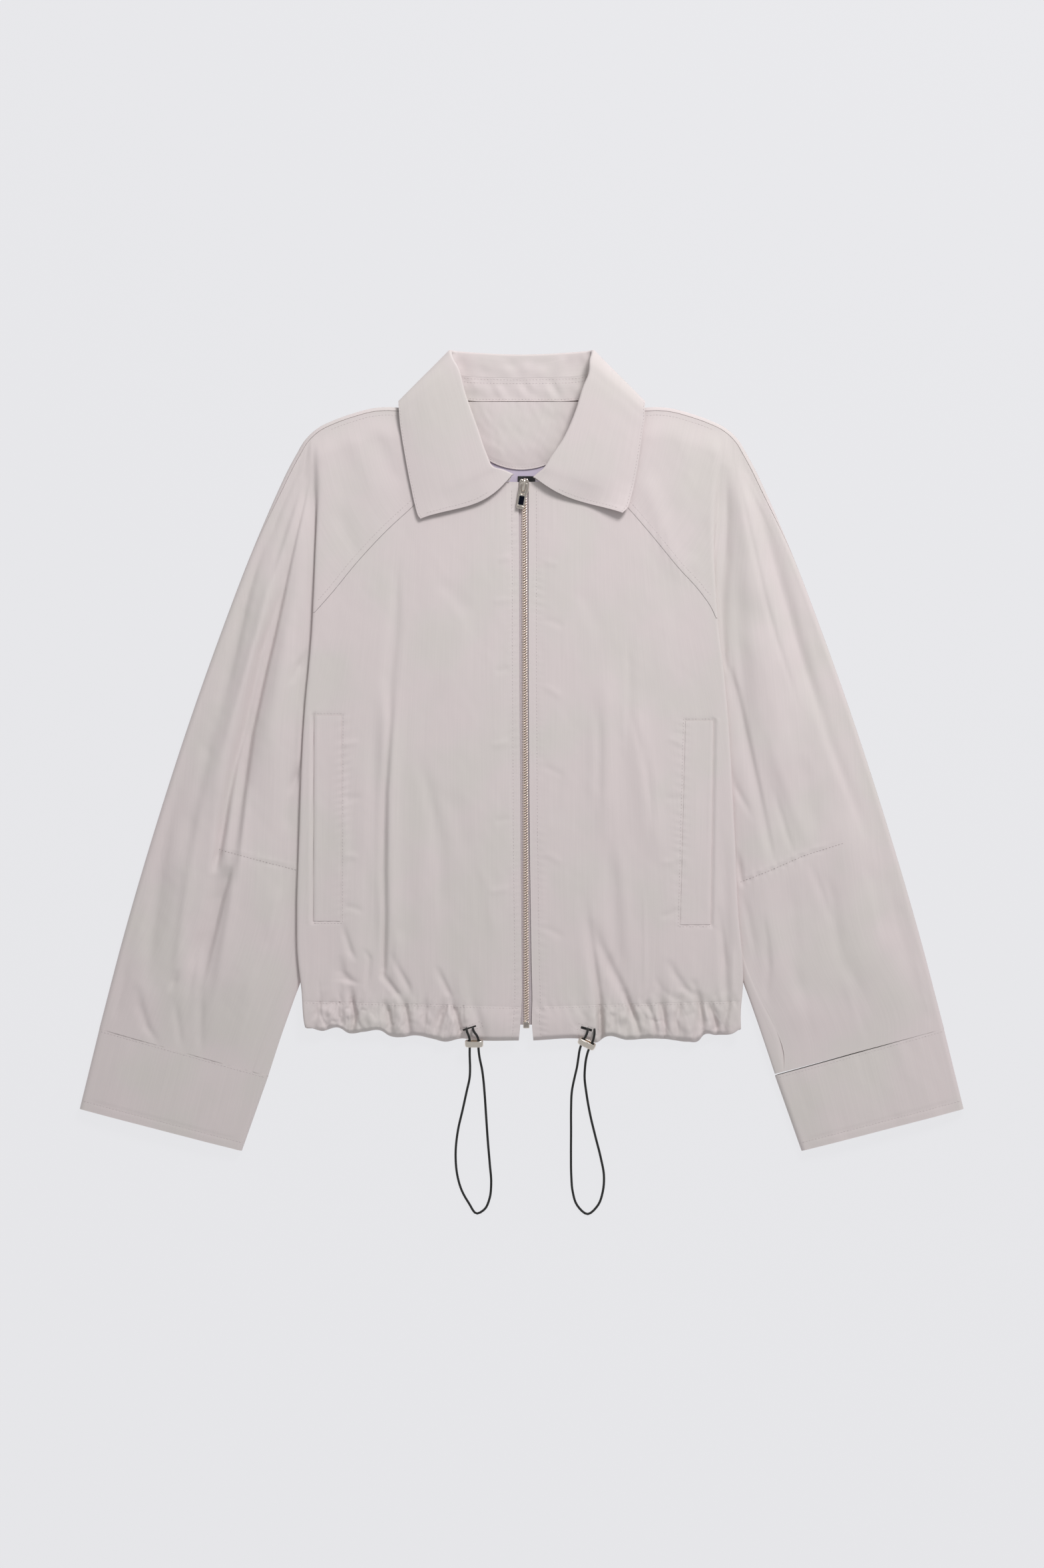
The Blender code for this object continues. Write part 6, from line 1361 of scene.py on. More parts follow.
def side_fold(side, y, top, bottom):
    """The body's folded edge: round the nose, back under itself and down to the side seam."""
    profile = refine(SIDE_PROFILE, PROFILE_STEPS)[1:]
    fold = np.empty((len(y), len(profile), 3))
    fold[..., 0] = x_at(CREASE[side], y)[:, None] + profile[None, :, 0]
    fold[..., 1] = y[:, None]
    fold[..., 2] = np.maximum(top[:, None] - profile[None, :, 1], bottom)
    fold[:, -1, 2] = bottom
    return fold


def front_surface(side, share, across):
    """A front from its hem seam 0 to its top seam 1, across from the zip edge 0 to the body's edge 1."""
    row, col = share[:, None], across[None, :]
    guess_x = mix(10.0, 190.0, across)
    for _ in range(4):
        top_y = top_seam_y(side, guess_x, SEAM_GAP)
        edge = front_edge_x(side, top_y)
        guess_x = mix(edge, x_at(CREASE[side], top_y) - NOSE_RADIUS, across)
    bottom_x = mix(*hem_seam_ends(side), across)
    bottom_y = hem_seam_y(bottom_x) + 0.5 * HEM_GAP
    y = mix(bottom_y[None, :], top_y[None, :], row)
    x = mix(front_edge_x(side, y), x_at(CREASE[side], y) - NOSE_RADIUS, col)
    z = body_height(side, x, y)
    surface = joined(x, y, z)
    return np.concatenate([surface, side_fold(side, y[:, -1], z[:, -1], 1.7)], axis=1)


def gathered(side, x):
    """How much the hem's elastic gathers the casing: least beside the zip and in the calm stretches."""
    return ease((x - 40.0) / 14.0) * (0.45 + 0.55 * value_noise(x, 0.0 * x, 14.0, 50.0, 55 + side) ** 2)


def gather_lines(side, x, y):
    """Sharp valleys between the hem's gathers: they run where a long noise crosses zero, 1 on their lines."""
    lines = value_noise(x + 2.5 * value_noise(x, y, 30.0, 16.0, 67 + side), y, 8.5, 46.0, 61 + side)
    twist = value_noise(x, y, 7.0, 24.0, 63 + side, 24.0)
    return np.maximum(bell(lines, 0.16), 0.75 * bell(twist, 0.12)) * gathered(side, x)


def hem_front_surface(side, share, across):
    """A front's hem casing, from its seam 0 to its lower edge 1, puffed between the gathers."""
    row = share[:, None]
    first_x, last_x = hem_seam_ends(side)
    seam_x = mix(first_x, last_x - NOSE_RADIUS, across)
    seam_y = hem_seam_y(seam_x) - 0.5 * HEM_GAP
    edge_y = y_at(HEM_EDGE[side], seam_x)
    y = mix(seam_y[None], edge_y[None], np.minimum(row, 0.97) / 0.97)
    x = mix(front_edge_x(side, y), x_at(CREASE[side], y) - NOSE_RADIUS, across[None])
    ends = ease((x - front_edge_x(side, y) - 3.0) / 12.0)
    inside = x_at(CREASE[side], y) - x
    calm = ease((inside - 2.0) / 10.0)
    puff = 0.5 * HEM_BULGE * np.sin(math.pi * np.clip(row, 0.0, 1.0)) * (0.35 + 0.65 * ends * calm)
    gathers = gather_depth(side, x, y) * ends * (0.45 + 0.55 * np.sin(math.pi * np.clip(row, 0, 1)))
    on_seam = gather_depth(side, x, seam_y) * ends
    seam_z = plain_body_height(side, x, np.broadcast_to(seam_y[None], x.shape)) + on_seam
    z = seam_z + puff - gathers * calm - on_seam * (1 - row) * 0.1
    clear_of_fold = ease((inside - SIDE_SEAM_INSET + 1.0) / 12.0)
    z = z - mix(0.5, HEM_EDGE_DROP, clear_of_fold) * ease((row - 0.84) / 0.16)
    z = z - 1.3 * gather_lines(side, x, y) * ends * calm * ease((row + 0.1) / 0.3)
    crumple = 1.3 * value_noise(side * x, y, 5.5, 10.0, 91 + side, 20.0)
    crumple = crumple + 0.6 * value_noise(x, y, 4.0, 5.0, 93 + side, -30.0)
    z = z + body_relief(side, x, y) + crumple * ends * calm * ease(row / 0.3) * gathered(side, x)
    surface = joined(x, y, z)
    return np.concatenate([surface, side_fold(side, y[:, -1], z[:, -1], 2.2)], axis=1)


def welt_surface(side):
    """A welt on its front: a strip whose edges turn down a little."""
    welt = WELTS[side]
    share = even(WELT_ROWS)[:, None]
    across = even(WELT_COLUMNS)[None]
    y = mix(welt.y_bottom, welt.y_top, share)
    inner = mix(welt.inner_bottom, welt.inner_top, share)
    outer = mix(welt.outer_bottom, welt.outer_top, share)
    x = mix(inner, outer, across)
    to_sides = np.minimum(across, 1.0 - across) * (outer - inner)
    rim = np.minimum(to_sides, np.minimum(share, 1.0 - share) * WELT_LENGTH)
    z = body_height(side, x, y) + WELT_GAP + WELT_WALL + 0.08 * ease(rim / 1.2)
    return joined(x, y, z)


for side, name in SIDE_NAMES.items():
    flip = side == RIGHT
    grid = front_surface(side, even(FRONT_ROWS), even(FRONT_COLUMNS))
    cloth_piece(f"front_panel_{name}", [side_grid(side, grid)], CLOTH, poplin, flip=flip)
    grid = hem_front_surface(side, even(HEM_ROWS), even(HEM_COLUMNS))
    cloth_piece(f"hem_casing_{name}", [side_grid(side, grid)], CLOTH, poplin, flip=not flip)
    cloth_piece(f"welt_strip_{name}", [side_grid(side, welt_surface(side))], WELT_WALL, poplin, flip=flip)

# %% [markdown]
# ## The sleeves
# A sleeve's front has two grids that share the line under the body's fold: the sleeve itself, and
# the shoulder part above the fold, which ends on the raglan seam. Its back starts on the folded
# outer edge, crosses the underside, and below the armpit curls up to meet the front at the seam
# under the arm. The back's rows are found at a few stations first and then put closer together.

# %% Sleeve fronts, shoulders and backs
SLEEVE_COLUMNS = 88
ROLL_STEPS = 7
SHOULDER_ROWS, SHOULDER_ACROSS = 76, 64
ROW_SPACING = 2.3
BACK_SPACING = 4.0
UNDERLAP = 3.5
CUFF_SEAM_TOP = 9.9
SHOULDER_NECK_X = 58.8
SHOULDER_NECK_LINE = [(72.0, 308.0), (70.6, 292.0), (67.0, 277.0)]
CURL_PROFILE = [(3.4, 0, 0), (0.7, 0, 0.17), (0, 0, 0.5), (0.6, 0, 0.84), (0, 0.6, 1), (0, 1, 1)]


def sleeve_rows(side, upper_count, spacing):
    """Shares of a sleeve's rows: even down to the armpit, then a spacing apart along its inner edge."""
    pit = armpit_share(side)
    places = np.linspace(pit, 1.0, 400)
    length = arc_length(sleeve_inner_line(side, places))
    count = int(length[-1] / spacing) + 1
    lower = np.interp(np.linspace(0.0, length[-1], count), length, places)[1:]
    return np.concatenate([pit * even(upper_count), lower])


def sleeve_front_surface(side, share, across):
    """Front of the sleeve below the body's fold: rows at share, columns across from inner 0 to outer 1."""
    inner = sleeve_inner_line(side, share)
    outer_y = sleeve_row_ends(share)[0]
    place = edge_share_at_y(outer_y)
    seam_angle = over_seam_angle(place) - SEAM_ANGLE
    roll_start = np.minimum(0.0, seam_angle - 0.9)
    top = edge_roll(place, roll_start)
    across = across[None, :]
    flat = mix(inner[:, None, :2], top[:, None, :2], across[..., None])
    width = np.linalg.norm(top[:, :2] - inner[:, :2], axis=-1)[:, None]
    reach = np.minimum(34.0, width * 0.5)
    low_in = ease(1.0 - across * width / reach)
    low_out = ease(1.0 - (1.0 - across) * width / reach)
    crown = mix(FOLDED_EDGE_TOP + 0.3, SLEEVE_TOP, ease(width / 60.0))
    height = crown - (crown - inner[:, None, 2]) * low_in - (crown - FOLDED_EDGE_TOP) * low_out
    folds = fold_height(SLEEVE_FOLDS, side * flat[..., 0], flat[..., 1])
    calm = np.clip((1.0 - low_in) * (1.0 - low_out), 0.0, 1.0)
    height = height + folds * np.sqrt(calm)
    near_top = ease(share[:, None] / 0.12)
    edges = ease(across * width / 9.0) * ease((1.0 - across) * width / 7.0)
    height = height + sleeve_relief(side, flat[..., 0], flat[..., 1], edges * near_top)
    settle = ease((share[:, None] - 0.87) / 0.13)
    height = mix(height, np.minimum(height, CUFF_SEAM_TOP + 0.25 * (height - SLEEVE_TOP)), settle)
    surface = np.concatenate([flat, height[..., None]], axis=-1)
    parts = even(ROLL_STEPS)[1:]
    roll = [edge_roll(place, mix(roll_start, seam_angle, part)) for part in parts]
    surface = np.concatenate([surface, np.stack(roll, axis=1)], axis=1)
    first = surface[0]
    on_seam = shoulder_seam(np.linspace(first[0, 0], first[-1, 0], len(first)))
    fade = np.clip(1.0 - share / SHOULDER_FADE, 0.0, 1.0)
    return surface + (on_seam - first)[None] * fade[:, None, None]


def shoulder_surface(side, share, across):
    """Shoulder part of a sleeve's front: rows from the shoulder seam 0 to the raglan seam 1."""
    pit = armpit_share(side)
    crease_y = sleeve_row_ends(share * pit)[1]
    crease_x = x_at(CREASE[side], crease_y)
    offset, fall, _ = crease_fold(side, share)
    start_x = crease_x + offset[:, 0]
    shoulder = shoulder_seam(mix(start_x[0], SHOULDER_SEAM_START, across))
    neck_end = (SHOULDER_NECK_X, float(raglan_seam_y(side, SHOULDER_NECK_X, RAGLAN_GAP)))
    neck_line = pairs(shoulder[-1, :2], *SHOULDER_NECK_LINE, neck_end)
    neck = along(neck_line, share)
    raglan_x = mix(start_x[-1], neck_line[-1].x, across)
    raglan_y = raglan_seam_y(side, raglan_x, RAGLAN_GAP)
    raglan = joined(raglan_x, raglan_y)
    fold_x = crease_x[:, None] + offset
    fade = np.clip(1.0 - share * pit / SHOULDER_FADE, 0.0, 1.0)[:, None]
    fold_y = crease_y[:, None] + (shoulder_seam(fold_x[0])[:, 1] - crease_y[0])[None] * fade
    fold_y[-1, :-1] = raglan_y[0]
    left = joined(start_x, fold_y[:, 0])
    row, col = share[:, None, None], across[None, :, None]
    top, bottom = shoulder[None, :, :2], raglan[None]
    corners = mix(mix(top[:, :1], bottom[:, :1], row), mix(top[:, -1:], bottom[:, -1:], row), col)
    flat = mix(left[:, None], neck[:, None], col) + mix(top, bottom, row) - corners
    depth = np.linalg.norm(flat - flat[:1], axis=-1)
    height = body_height(side, flat[..., 0], flat[..., 1])
    near = ease(1.0 - depth / 26.0)
    edge_height = mix(height, shoulder[None, :, 2], near)
    drop_end = sleeve_inner_line(side, share * pit)
    fold_points = np.empty((len(share), offset.shape[1], 3))
    fold_points[..., 0] = fold_x
    fold_points[..., 1] = fold_y
    fold_points[..., 2] = mix(edge_height[:, :1], drop_end[:, 2:], fall)
    fold_points[:, -1] = drop_end
    surface = np.concatenate([flat, edge_height[..., None]], axis=-1)
    return np.concatenate([fold_points[:, ::-1], surface[:, 1:]], axis=1)


def uncurl(profile, curl, shorten):
    """A curled edge opened out: every segment keeps its length and turns by only a share of its angle."""
    steps = np.diff(profile, axis=1)
    turned = np.arctan2(steps[..., 1], -steps[..., 0]) * curl[:, None]
    reach = np.linalg.norm(steps, axis=-1) * mix(shorten, 1.0, curl)[:, None]
    path = np.zeros_like(profile)
    path[:, 1:, 0] = -np.cumsum(reach * np.cos(turned), axis=1)
    path[:, 1:, 1] = np.cumsum(reach * np.sin(turned), axis=1)
    path[..., 0] -= path[..., 0].min(axis=1, keepdims=True)
    return path


def back_stations(side):
    """A sleeve's back at its stations: place on the outer edge, inner end, reach to the seam, and curl."""
    upper, lower = sleeve_shares(side)
    crease_x = x_at(CREASE[side], sleeve_row_ends(0.0)[1])
    shoulder_x = np.linspace(SHOULDER_SEAM_START, crease_x + STEP_PROFILE[0, 0], SHOULDER_COLUMNS)
    shoulder_x = np.concatenate([shoulder_x, crease_x + np.array([4.0, 8.0, 12.0])])
    upper_place = edge_share_at_y(sleeve_row_ends(upper)[0])
    lower_place = edge_share_at_y(sleeve_row_ends(lower)[0])
    place = np.concatenate([edge_share_at_x(shoulder_x), upper_place, lower_place])
    flat_rows = len(place) - len(lower)
    knots = np.array([0.0, 0.045, 0.10, 0.165, *edge_share_at_y([283.0, 225.0]), upper_place[-1]])
    raglan_share = np.interp(place[:flat_rows], knots, even(len(knots)))
    raglan = along(BACK_RAGLAN[side], raglan_share) + SEAM_GAP
    seam = sleeve_inner_line(side, lower)[:, :2] - np.array([2.0 * SEAM_GAP, 0.0])
    bottom = edge_roll(place, math.pi)
    fold = seam.copy()
    for _ in range(6):
        fold[:, 0] = x_at(SLEEVE_FOLD[side], fold[:, 1])
        towards = unit(bottom[flat_rows:, :2] - fold)
        fold[:, 1] = seam[:, 1] - towards[:, 1] * (seam[:, 0] - fold[:, 0]) / towards[:, 0]
    end = np.concatenate([raglan, fold])
    reach = np.concatenate([np.full(flat_rows, 3.0), np.linalg.norm(seam - fold, axis=-1)])
    curl = np.concatenate([np.zeros(flat_rows), [FIRST_CURL], np.ones(len(lower) - 1)])
    return np.column_stack([place, end, reach, curl]), flat_rows


def sleeve_back_surface(side):
    """A sleeve's back: from the seam over the arm, round the edge and across the underside to its fold."""
    station, flat_rows = back_stations(side)
    outer_ends = edge_roll(station[:, 0], math.pi)
    gap = np.maximum(np.linalg.norm(np.diff(station[:, 1:3], axis=0), axis=1),
                     np.linalg.norm(np.diff(outer_ends, axis=0), axis=1))
    counts = np.ceil(gap / BACK_SPACING).astype(int)
    parts = [first + np.arange(count) / count for first, count in enumerate(counts)]
    at = np.concatenate([*parts, [len(gap)]])
    knots = np.arange(len(station))
    place = np.interp(at, knots, station[:, 0])
    end = hermite(knots, station[:, 1:3], at)
    bend = (at > flat_rows - 1) & (at < flat_rows)
    end[bend] = joined(*(np.interp(at[bend], knots, station[:, column]) for column in (1, 2)))
    reach = np.interp(at, knots, station[:, 3])
    curl = np.interp(at, knots, station[:, 4])

    start_angle = over_seam_angle(place) + SEAM_ANGLE
    roll = [edge_roll(place, mix(start_angle, math.pi, part)) for part in even(12)]
    bottom = edge_roll(place, math.pi)
    towards = bottom[:, :2] - end
    length = np.linalg.norm(towards, axis=-1)
    towards = towards / length[:, None]
    fold_top = SLEEVE_UNDER_TOP + under_arm_rise(end[:, 1])
    parts = []
    profile = [joined(offset + of_reach * reach, rise * fold_top) for offset, of_reach, rise in CURL_PROFILE]
    profile.append(joined(reach + UNDERLAP, fold_top - 1.4))
    profile = uncurl(np.stack(profile, axis=1), curl, np.minimum(1.0, length / 70.0))
    profile = refine(profile, PROFILE_STEPS, axis=1)
    profile[..., 1] = np.maximum(profile[..., 1], 0.0)
    for part in np.linspace(1.0, 0.0, 38)[1:-1]:
        plan = end + towards * mix(profile[:, 0, 0] + 1.0, length, part)[:, None]
        parts.append(np.concatenate([plan, np.zeros((len(at), 1))], axis=-1))
    for point in range(profile.shape[1]):
        plan = end + towards * profile[:, point, :1]
        parts.append(np.concatenate([plan, profile[:, point, 1:]], axis=-1))
    for points in parts:
        points[:, 2] += back_lift(points[:, 0], points[:, 1])
    return np.stack(roll + parts, axis=1)


for side, name in SIDE_NAMES.items():
    flip = side == RIGHT
    share = sleeve_rows(side, SHOULDER_ROWS, ROW_SPACING)
    sleeve = sleeve_front_surface(side, share, even(SLEEVE_COLUMNS))
    rows, columns = even(SHOULDER_ROWS), even(SHOULDER_ACROSS)
    shoulder = shoulder_surface(side, rows, columns)
    sleeve[:SHOULDER_ROWS, 0] = shoulder[:, 0]
    grids = [side_grid(side, sleeve), side_grid(side, shoulder)[:, ::-1]]
    cloth_piece(f"sleeve_top_{name}", grids, CLOTH, poplin, flip=not flip)
    grid = side_grid(side, sleeve_back_surface(side))
    cloth_piece(f"sleeve_underside_{name}", [grid], CLOTH, poplin, flip=not flip)

# %% [markdown]
# ## The cuffs
# A cuff is a flattened tube of double cloth: a row of points goes from its outer edge over the top
# to the inner edge and back underneath. Short creases fan out from its seam and from its mouth.

# %% Cuffs
CUFF_ROWS = 36
CUFF_TOP_COLUMNS = 66
CUFF_SEAM = ((387.6, -255.6), (232.6, -299.0))
CUFF_MOUTH = ((405.6, -328.8), (256.8, -367.4))
CUFF_TOP = 10.4
CUFF_DEPTH = 75.0
CUFF_HEM_STITCH = 66.5


def cuff_surface(side, rows):
    """A cuff as a flattened tube: rows from the seam to the mouth, round from its outer edge over the top."""
    share = np.linspace(-0.008, 1.0, rows)[:, None]
    outer, inner = (mix(start, end, share) for start, end in zip(np.array(CUFF_SEAM), np.array(CUFF_MOUTH)))
    span = np.linalg.norm(inner - outer, axis=-1)[:, None]
    way = (inner - outer) / span
    half = EDGE_RADIUS
    angle = np.linspace(0.0, math.pi, 13)[None]
    round_in = half - half * np.sin(angle)
    round_z = np.broadcast_to(FOLDED_EDGE_TOP * 0.5 * (1.0 + np.cos(angle)), (rows, 13))
    place = even(CUFF_TOP_COLUMNS)[None, 1:-1]
    over = mix(half, span - half, place)
    top = mix(CUFF_TOP - 0.8, CUFF_TOP, np.sin(math.pi * share * 0.5))
    crown = mix(FOLDED_EDGE_TOP, top, faded(place, 0.2))
    plan_x = outer[:, :1] + way[:, :1] * over
    plan_y = outer[:, 1:] + way[:, 1:] * over
    calm = faded(place, 0.09)
    fan = 0.4 * value_noise(over, share * 70.0, 9.0, 60.0, 71 + side, 7.0) * (1.0 - 0.6 * share)
    relief = fan + 0.9 * rumple(side * plan_x, plan_y, 73 + side, 30.0 * side)
    down = share * CUFF_DEPTH
    relief = relief + pucker(down, over, 0.2, 8.0, 77 + side) - 0.35 * bell(down - CUFF_HEM_STITCH, 0.8)
    crown = crown + relief * calm
    under = mix(half, span - half, np.linspace(1.0, 0.0, 30)[None, 1:])
    offsets = np.concatenate([round_in[:, ::-1].repeat(rows, axis=0), over, span - round_in, under], axis=1)
    heights = np.concatenate([round_z[:, ::-1], crown, round_z, np.zeros_like(under)], axis=1)
    return joined(outer[:, :1] + way[:, :1] * offsets, outer[:, 1:] + way[:, 1:] * offsets, heights)


for side, name in SIDE_NAMES.items():
    grid = side_grid(side, cuff_surface(side, CUFF_ROWS))
    cloth_piece(f"cuff_band_{name}", [grid], DOUBLE_CLOTH, poplin, flip=side == RIGHT)

# %% [markdown]
# ## The back, its casing, the neck facing and the label
# The back lies face down and rests flat. Through the neck its inner side shows, which is more
# lilac, with the half-moon facing on it and a bare black label below the facing's edge.

# %% Back, facing and label
BACK_NECK_Y = 320.3
BACK_ARMPIT_Y = 118.0
BACK_SEAM_Y = -232.2
BACK_HEM_TOP = -232.45
FACING_DEPTH = 61.0
FACING_HALF_WIDTH = 60.0
FACING_TOP = 319.2
FACING_WALL = 1.0
FACING_SPAN = 0.97
LABEL = (4.5, 237.2, 16.0, 30.0)
LABEL_WALL = 0.6
REST_GAP = 0.5


def back_edge_x(side, y):
    """Distance of the back's side seam from the middle."""
    return x_at(CREASE[side], y) - SIDE_SEAM_INSET + 0.3


def back_surface(share, across):
    """The back, face down: rows from the hem seam to the neck and raglan seams, across from right to left."""
    points = np.zeros((len(share), len(across), 3))
    for side in (RIGHT, LEFT):
        half = across * side >= 0.0
        out = np.abs(across[half])
        x = out * 181.0
        for _ in range(5):
            raglan = y_at(BACK_RAGLAN[side], x) - SEAM_GAP
            top = np.where(x < BACK_RAGLAN[side][0].x, BACK_NECK_Y, raglan)
            x = out * back_edge_x(side, np.minimum(top, BACK_ARMPIT_Y))
        y = mix(BACK_SEAM_Y, top[None], share[:, None])
        edge = back_edge_x(side, np.minimum(y, BACK_ARMPIT_Y))
        points[:, half, 0] = side * out * edge
        points[:, half, 1] = y
        points[:, half, 2] = back_lift(out * edge, y)
    return points


def hem_back_surface(rows, columns):
    """The back's hem casing, face down, with a slightly rippled lower edge."""
    across = np.linspace(-1.0, 1.0, columns)[None]
    share = even(rows)[:, None]
    y = mix(BACK_HEM_TOP, BACK_HEM_BOTTOM, share) + 0.7 * np.sin(across * 40.0) * ease(2.0 * share - 1.0)
    x = across * np.where(across > 0.0, back_edge_x(LEFT, y), back_edge_x(RIGHT, y))
    return joined(x, y, 0.0)


def facing_surface(rows, columns):
    """The half-moon facing: its lower edge is y = top - depth sqrt(1 - t t), with t its share across."""
    across = np.linspace(-FACING_SPAN, FACING_SPAN, columns)
    share = even(rows)[:, None]
    bottom = FACING_TOP - FACING_DEPTH * np.sqrt(1.0 - across ** 2)
    y = mix(bottom[None], FACING_TOP + 1.0, share)
    x = across * FACING_HALF_WIDTH
    from_edge = y - bottom[None]
    z = CLOTH + REST_GAP + FACING_WALL + back_lift(np.abs(x), y)
    relief = 1.1 * rumple(x, y, 91, 55.0) + 0.22 * value_noise(x, y, 3.2, 9.0, 92, 28.0)
    relief = relief - 0.3 * bell(from_edge - 2.0, 0.8) + 0.1 * ease(from_edge / 1.5)
    return joined(x, y, z + relief * ease(from_edge + 0.4))


def label_surface():
    """A woven label, stitched down along its top and curling up slightly at its lower corners."""
    x, y, width, length = LABEL
    across = np.linspace(-0.5, 0.5, 17)[None]
    share = np.linspace(-0.5, 0.5, 31)[:, None]
    low = ease((0.1 - share) / 0.6)
    z = CLOTH + REST_GAP + LABEL_WALL + 0.5 * low * (2.0 * across) ** 2 + 0.08 * np.sin(9.0 * share)
    return joined(x + width * across, y + length * share, z)


back_rows = even(112)
back_grid = back_surface(back_rows, np.linspace(-1.0, 1.0, 79))
cloth_piece("back_panel", [back_grid], CLOTH, poplin, flip=True, inner=lilac_poplin)
cloth_piece("hem_casing_back", [hem_back_surface(7, 121)], DOUBLE_CLOTH, poplin)
cloth_piece("neck_facing", [facing_surface(30, 61)], FACING_WALL, facing_poplin)
cloth_piece("neck_label", [label_surface()], LABEL_WALL, black_satin)

# %% [markdown]
# ## The collar
# The collar goes right round the neck, so it is described by stations: at each one, where the leaf's
# edge, the roll and the neck seam are, and which way the leaf faces. Under the back neck the leaf
# lies face down, at the sides it turns over, and on the front it faces up. A row of the tables
# holds a station's turn in degrees, then x, y and z of its neck point, its roll and its leaf's edge.

# %% Collar and stand
COLLAR_ROWS_EACH = 8
LEAF_COLUMNS = 30
COLLAR_NOSE = 1.95
COLLAR_SHARE = 0.48
COLLAR_GAP = 1.4
STAND_START_LIMIT = 0.64
NECK, ROLL, EDGE = slice(1, 4), slice(4, 7), slice(7, 10)
COLLAR_BACK = [
    (-90, 0, 320.9, 3, 0, 364, 1.95, 0, 296.5, 0), (-90, 22, 320.9, 3, 23, 364.6, 1.95, 32, 296.7, 0),
    (-90, 42, 321, 3, 43, 365.8, 1.95, 64, 297.8, 0), (-80, 56, 322.6, 3.4, 55, 366.7, 2.3, 88, 303.5, 0),
    (-60, 63.5, 324.4, 4.6, 60.5, 367, 3.4, 102.5, 311.5, 0.2),
    (-32, 67, 324.6, 6.2, 63.2, 367.2, 5.6, 110, 317.6, 2),
    (0, 68.6, 322, 8.2, 64.4, 366.6, 8.6, 112.9, 320.6, 6.6),
    (32, 69, 317.5, 10.2, 63.9, 363.4, 12, 113, 319, 11.4),
    (62, 69, 311, 11.6, 62.2, 358.4, 14.8, 112.6, 314.2, 13.6),
]
COLLAR_FRONT = {
    RIGHT: [
        (82, 68.6, 301, 12.2, 57.6, 350, 16.6, 111.8, 303.5, 14.2),
        (90, 68, 290, 12.3, 51.6, 327.6, 17.2, 109.8, 288, 14.2),
        (90, 66, 279, 12.3, 45.4, 309.8, 17.4, 107.2, 272.5, 14.2),
        (90, 61.5, 270, 12.3, 39.3, 292.6, 17.4, 104.4, 257, 14.2),
        (90, 54, 262.6, 12.2, 32, 271.6, 17.2, 101.2, 241, 14.2),
        (90, 42, 254.6, 12.1, 25.6, 259.6, 16.8, 98, 226, 14.2),
        (90, 27, 249.4, 12, 16.4, 257, 15.6, 95.2, 216, 14.2),
        (90, 11, 247.2, 11.8, 7.2, 253, 14.8, 92.6, 212.2, 14.2),
    ],
    LEFT: [
        (82, 68.6, 301, 12.2, 61.2, 346, 16.6, 112.6, 303.5, 14.2),
        (90, 68, 290, 12.3, 55.6, 331.8, 17.2, 110.4, 289.5, 14.2),
        (90, 66, 279, 12.3, 48.6, 309.5, 17.4, 108.4, 275.5, 14.2),
        (90, 61.5, 270, 12.3, 38.2, 286, 17.4, 106.2, 261, 14.2),
        (90, 54, 262.6, 12.2, 26.5, 268.6, 17.2, 103.4, 246, 14.2),
        (90, 42, 254.6, 12.1, 20.4, 259, 16.8, 100, 232, 14.2),
        (90, 27, 249.4, 12, 14.6, 254, 15.6, 96.4, 221.5, 14.2),
        (90, 13, 247.2, 11.8, 10.4, 250.4, 14.8, 92.2, 217.4, 14.2),
    ],
}
LeafEnd = namedtuple("LeafEnd", "bow lift")
LEAF_ENDS = {RIGHT: LeafEnd(9.4, 1.0), LEFT: LeafEnd(5.2, 4.6)}


def collar_stations(rows_each):
    """The collar's stations all round, from the wearer's right end to the left, with x signed."""
    halves = []
    for side in (RIGHT, LEFT):
        table = np.array(COLLAR_BACK + COLLAR_FRONT[side], float)
        knots = arc_length(table[:, 4:])
        parts = [np.linspace(*ends, rows_each, endpoint=False) for ends in zip(knots, knots[1:])]
        values = hermite(knots, table, np.concatenate([*parts, knots[-1:]]))
        values[:, [1, 4, 7]] *= side
        halves.append(values)
    return np.concatenate([halves[0][:0:-1], halves[1]])


def collar_frame(station):
    """Each station's face direction, roll, leaf's edge, neck point, and direction from edge to roll."""
    turn = np.radians(station[:, 0])
    side = np.where(np.arange(len(station)) < len(station) // 2, RIGHT, LEFT)
    roll, edge = station[:, ROLL], station[:, EDGE]
    level = joined(side * 0.69, 0.72, 0.0)
    up = np.array([0.0, 0.0, 1.0])
    face = level * np.cos(turn)[:, None] + up * np.sin(turn)[:, None]
    away = roll - edge
    away = away - face * np.sum(away * face, axis=1)[:, None]
    return face, roll, edge, station[:, NECK], unit(away)


def leaf_end_offset(edge, start, rows_each, share):
    """How far the leaf's front ends lie off a straight line, at a share of the way from edge to roll."""
    count = len(edge)
    index = np.arange(count)
    on_right = index < count // 2
    bow = np.where(on_right, LEAF_ENDS[RIGHT].bow, LEAF_ENDS[LEFT].bow)
    lift = np.where(on_right, LEAF_ENDS[RIGHT].lift, LEAF_ENDS[LEFT].lift)
    from_end = np.minimum(index, count - 1 - index) / rows_each
    bow = bow * ease(1.0 - from_end / 1.6) * math.sin(math.pi * share ** 1.45)
    lift = lift * ease(1.0 - from_end / 3.0) * math.cos(2.0 * math.pi * share) * (1.0 - share)
    run = unit(start[:, :2] - edge[:, :2])
    return joined(bow * run[:, 1] * np.sign(run[:, 0]), -bow * np.abs(run[:, 0]), lift)


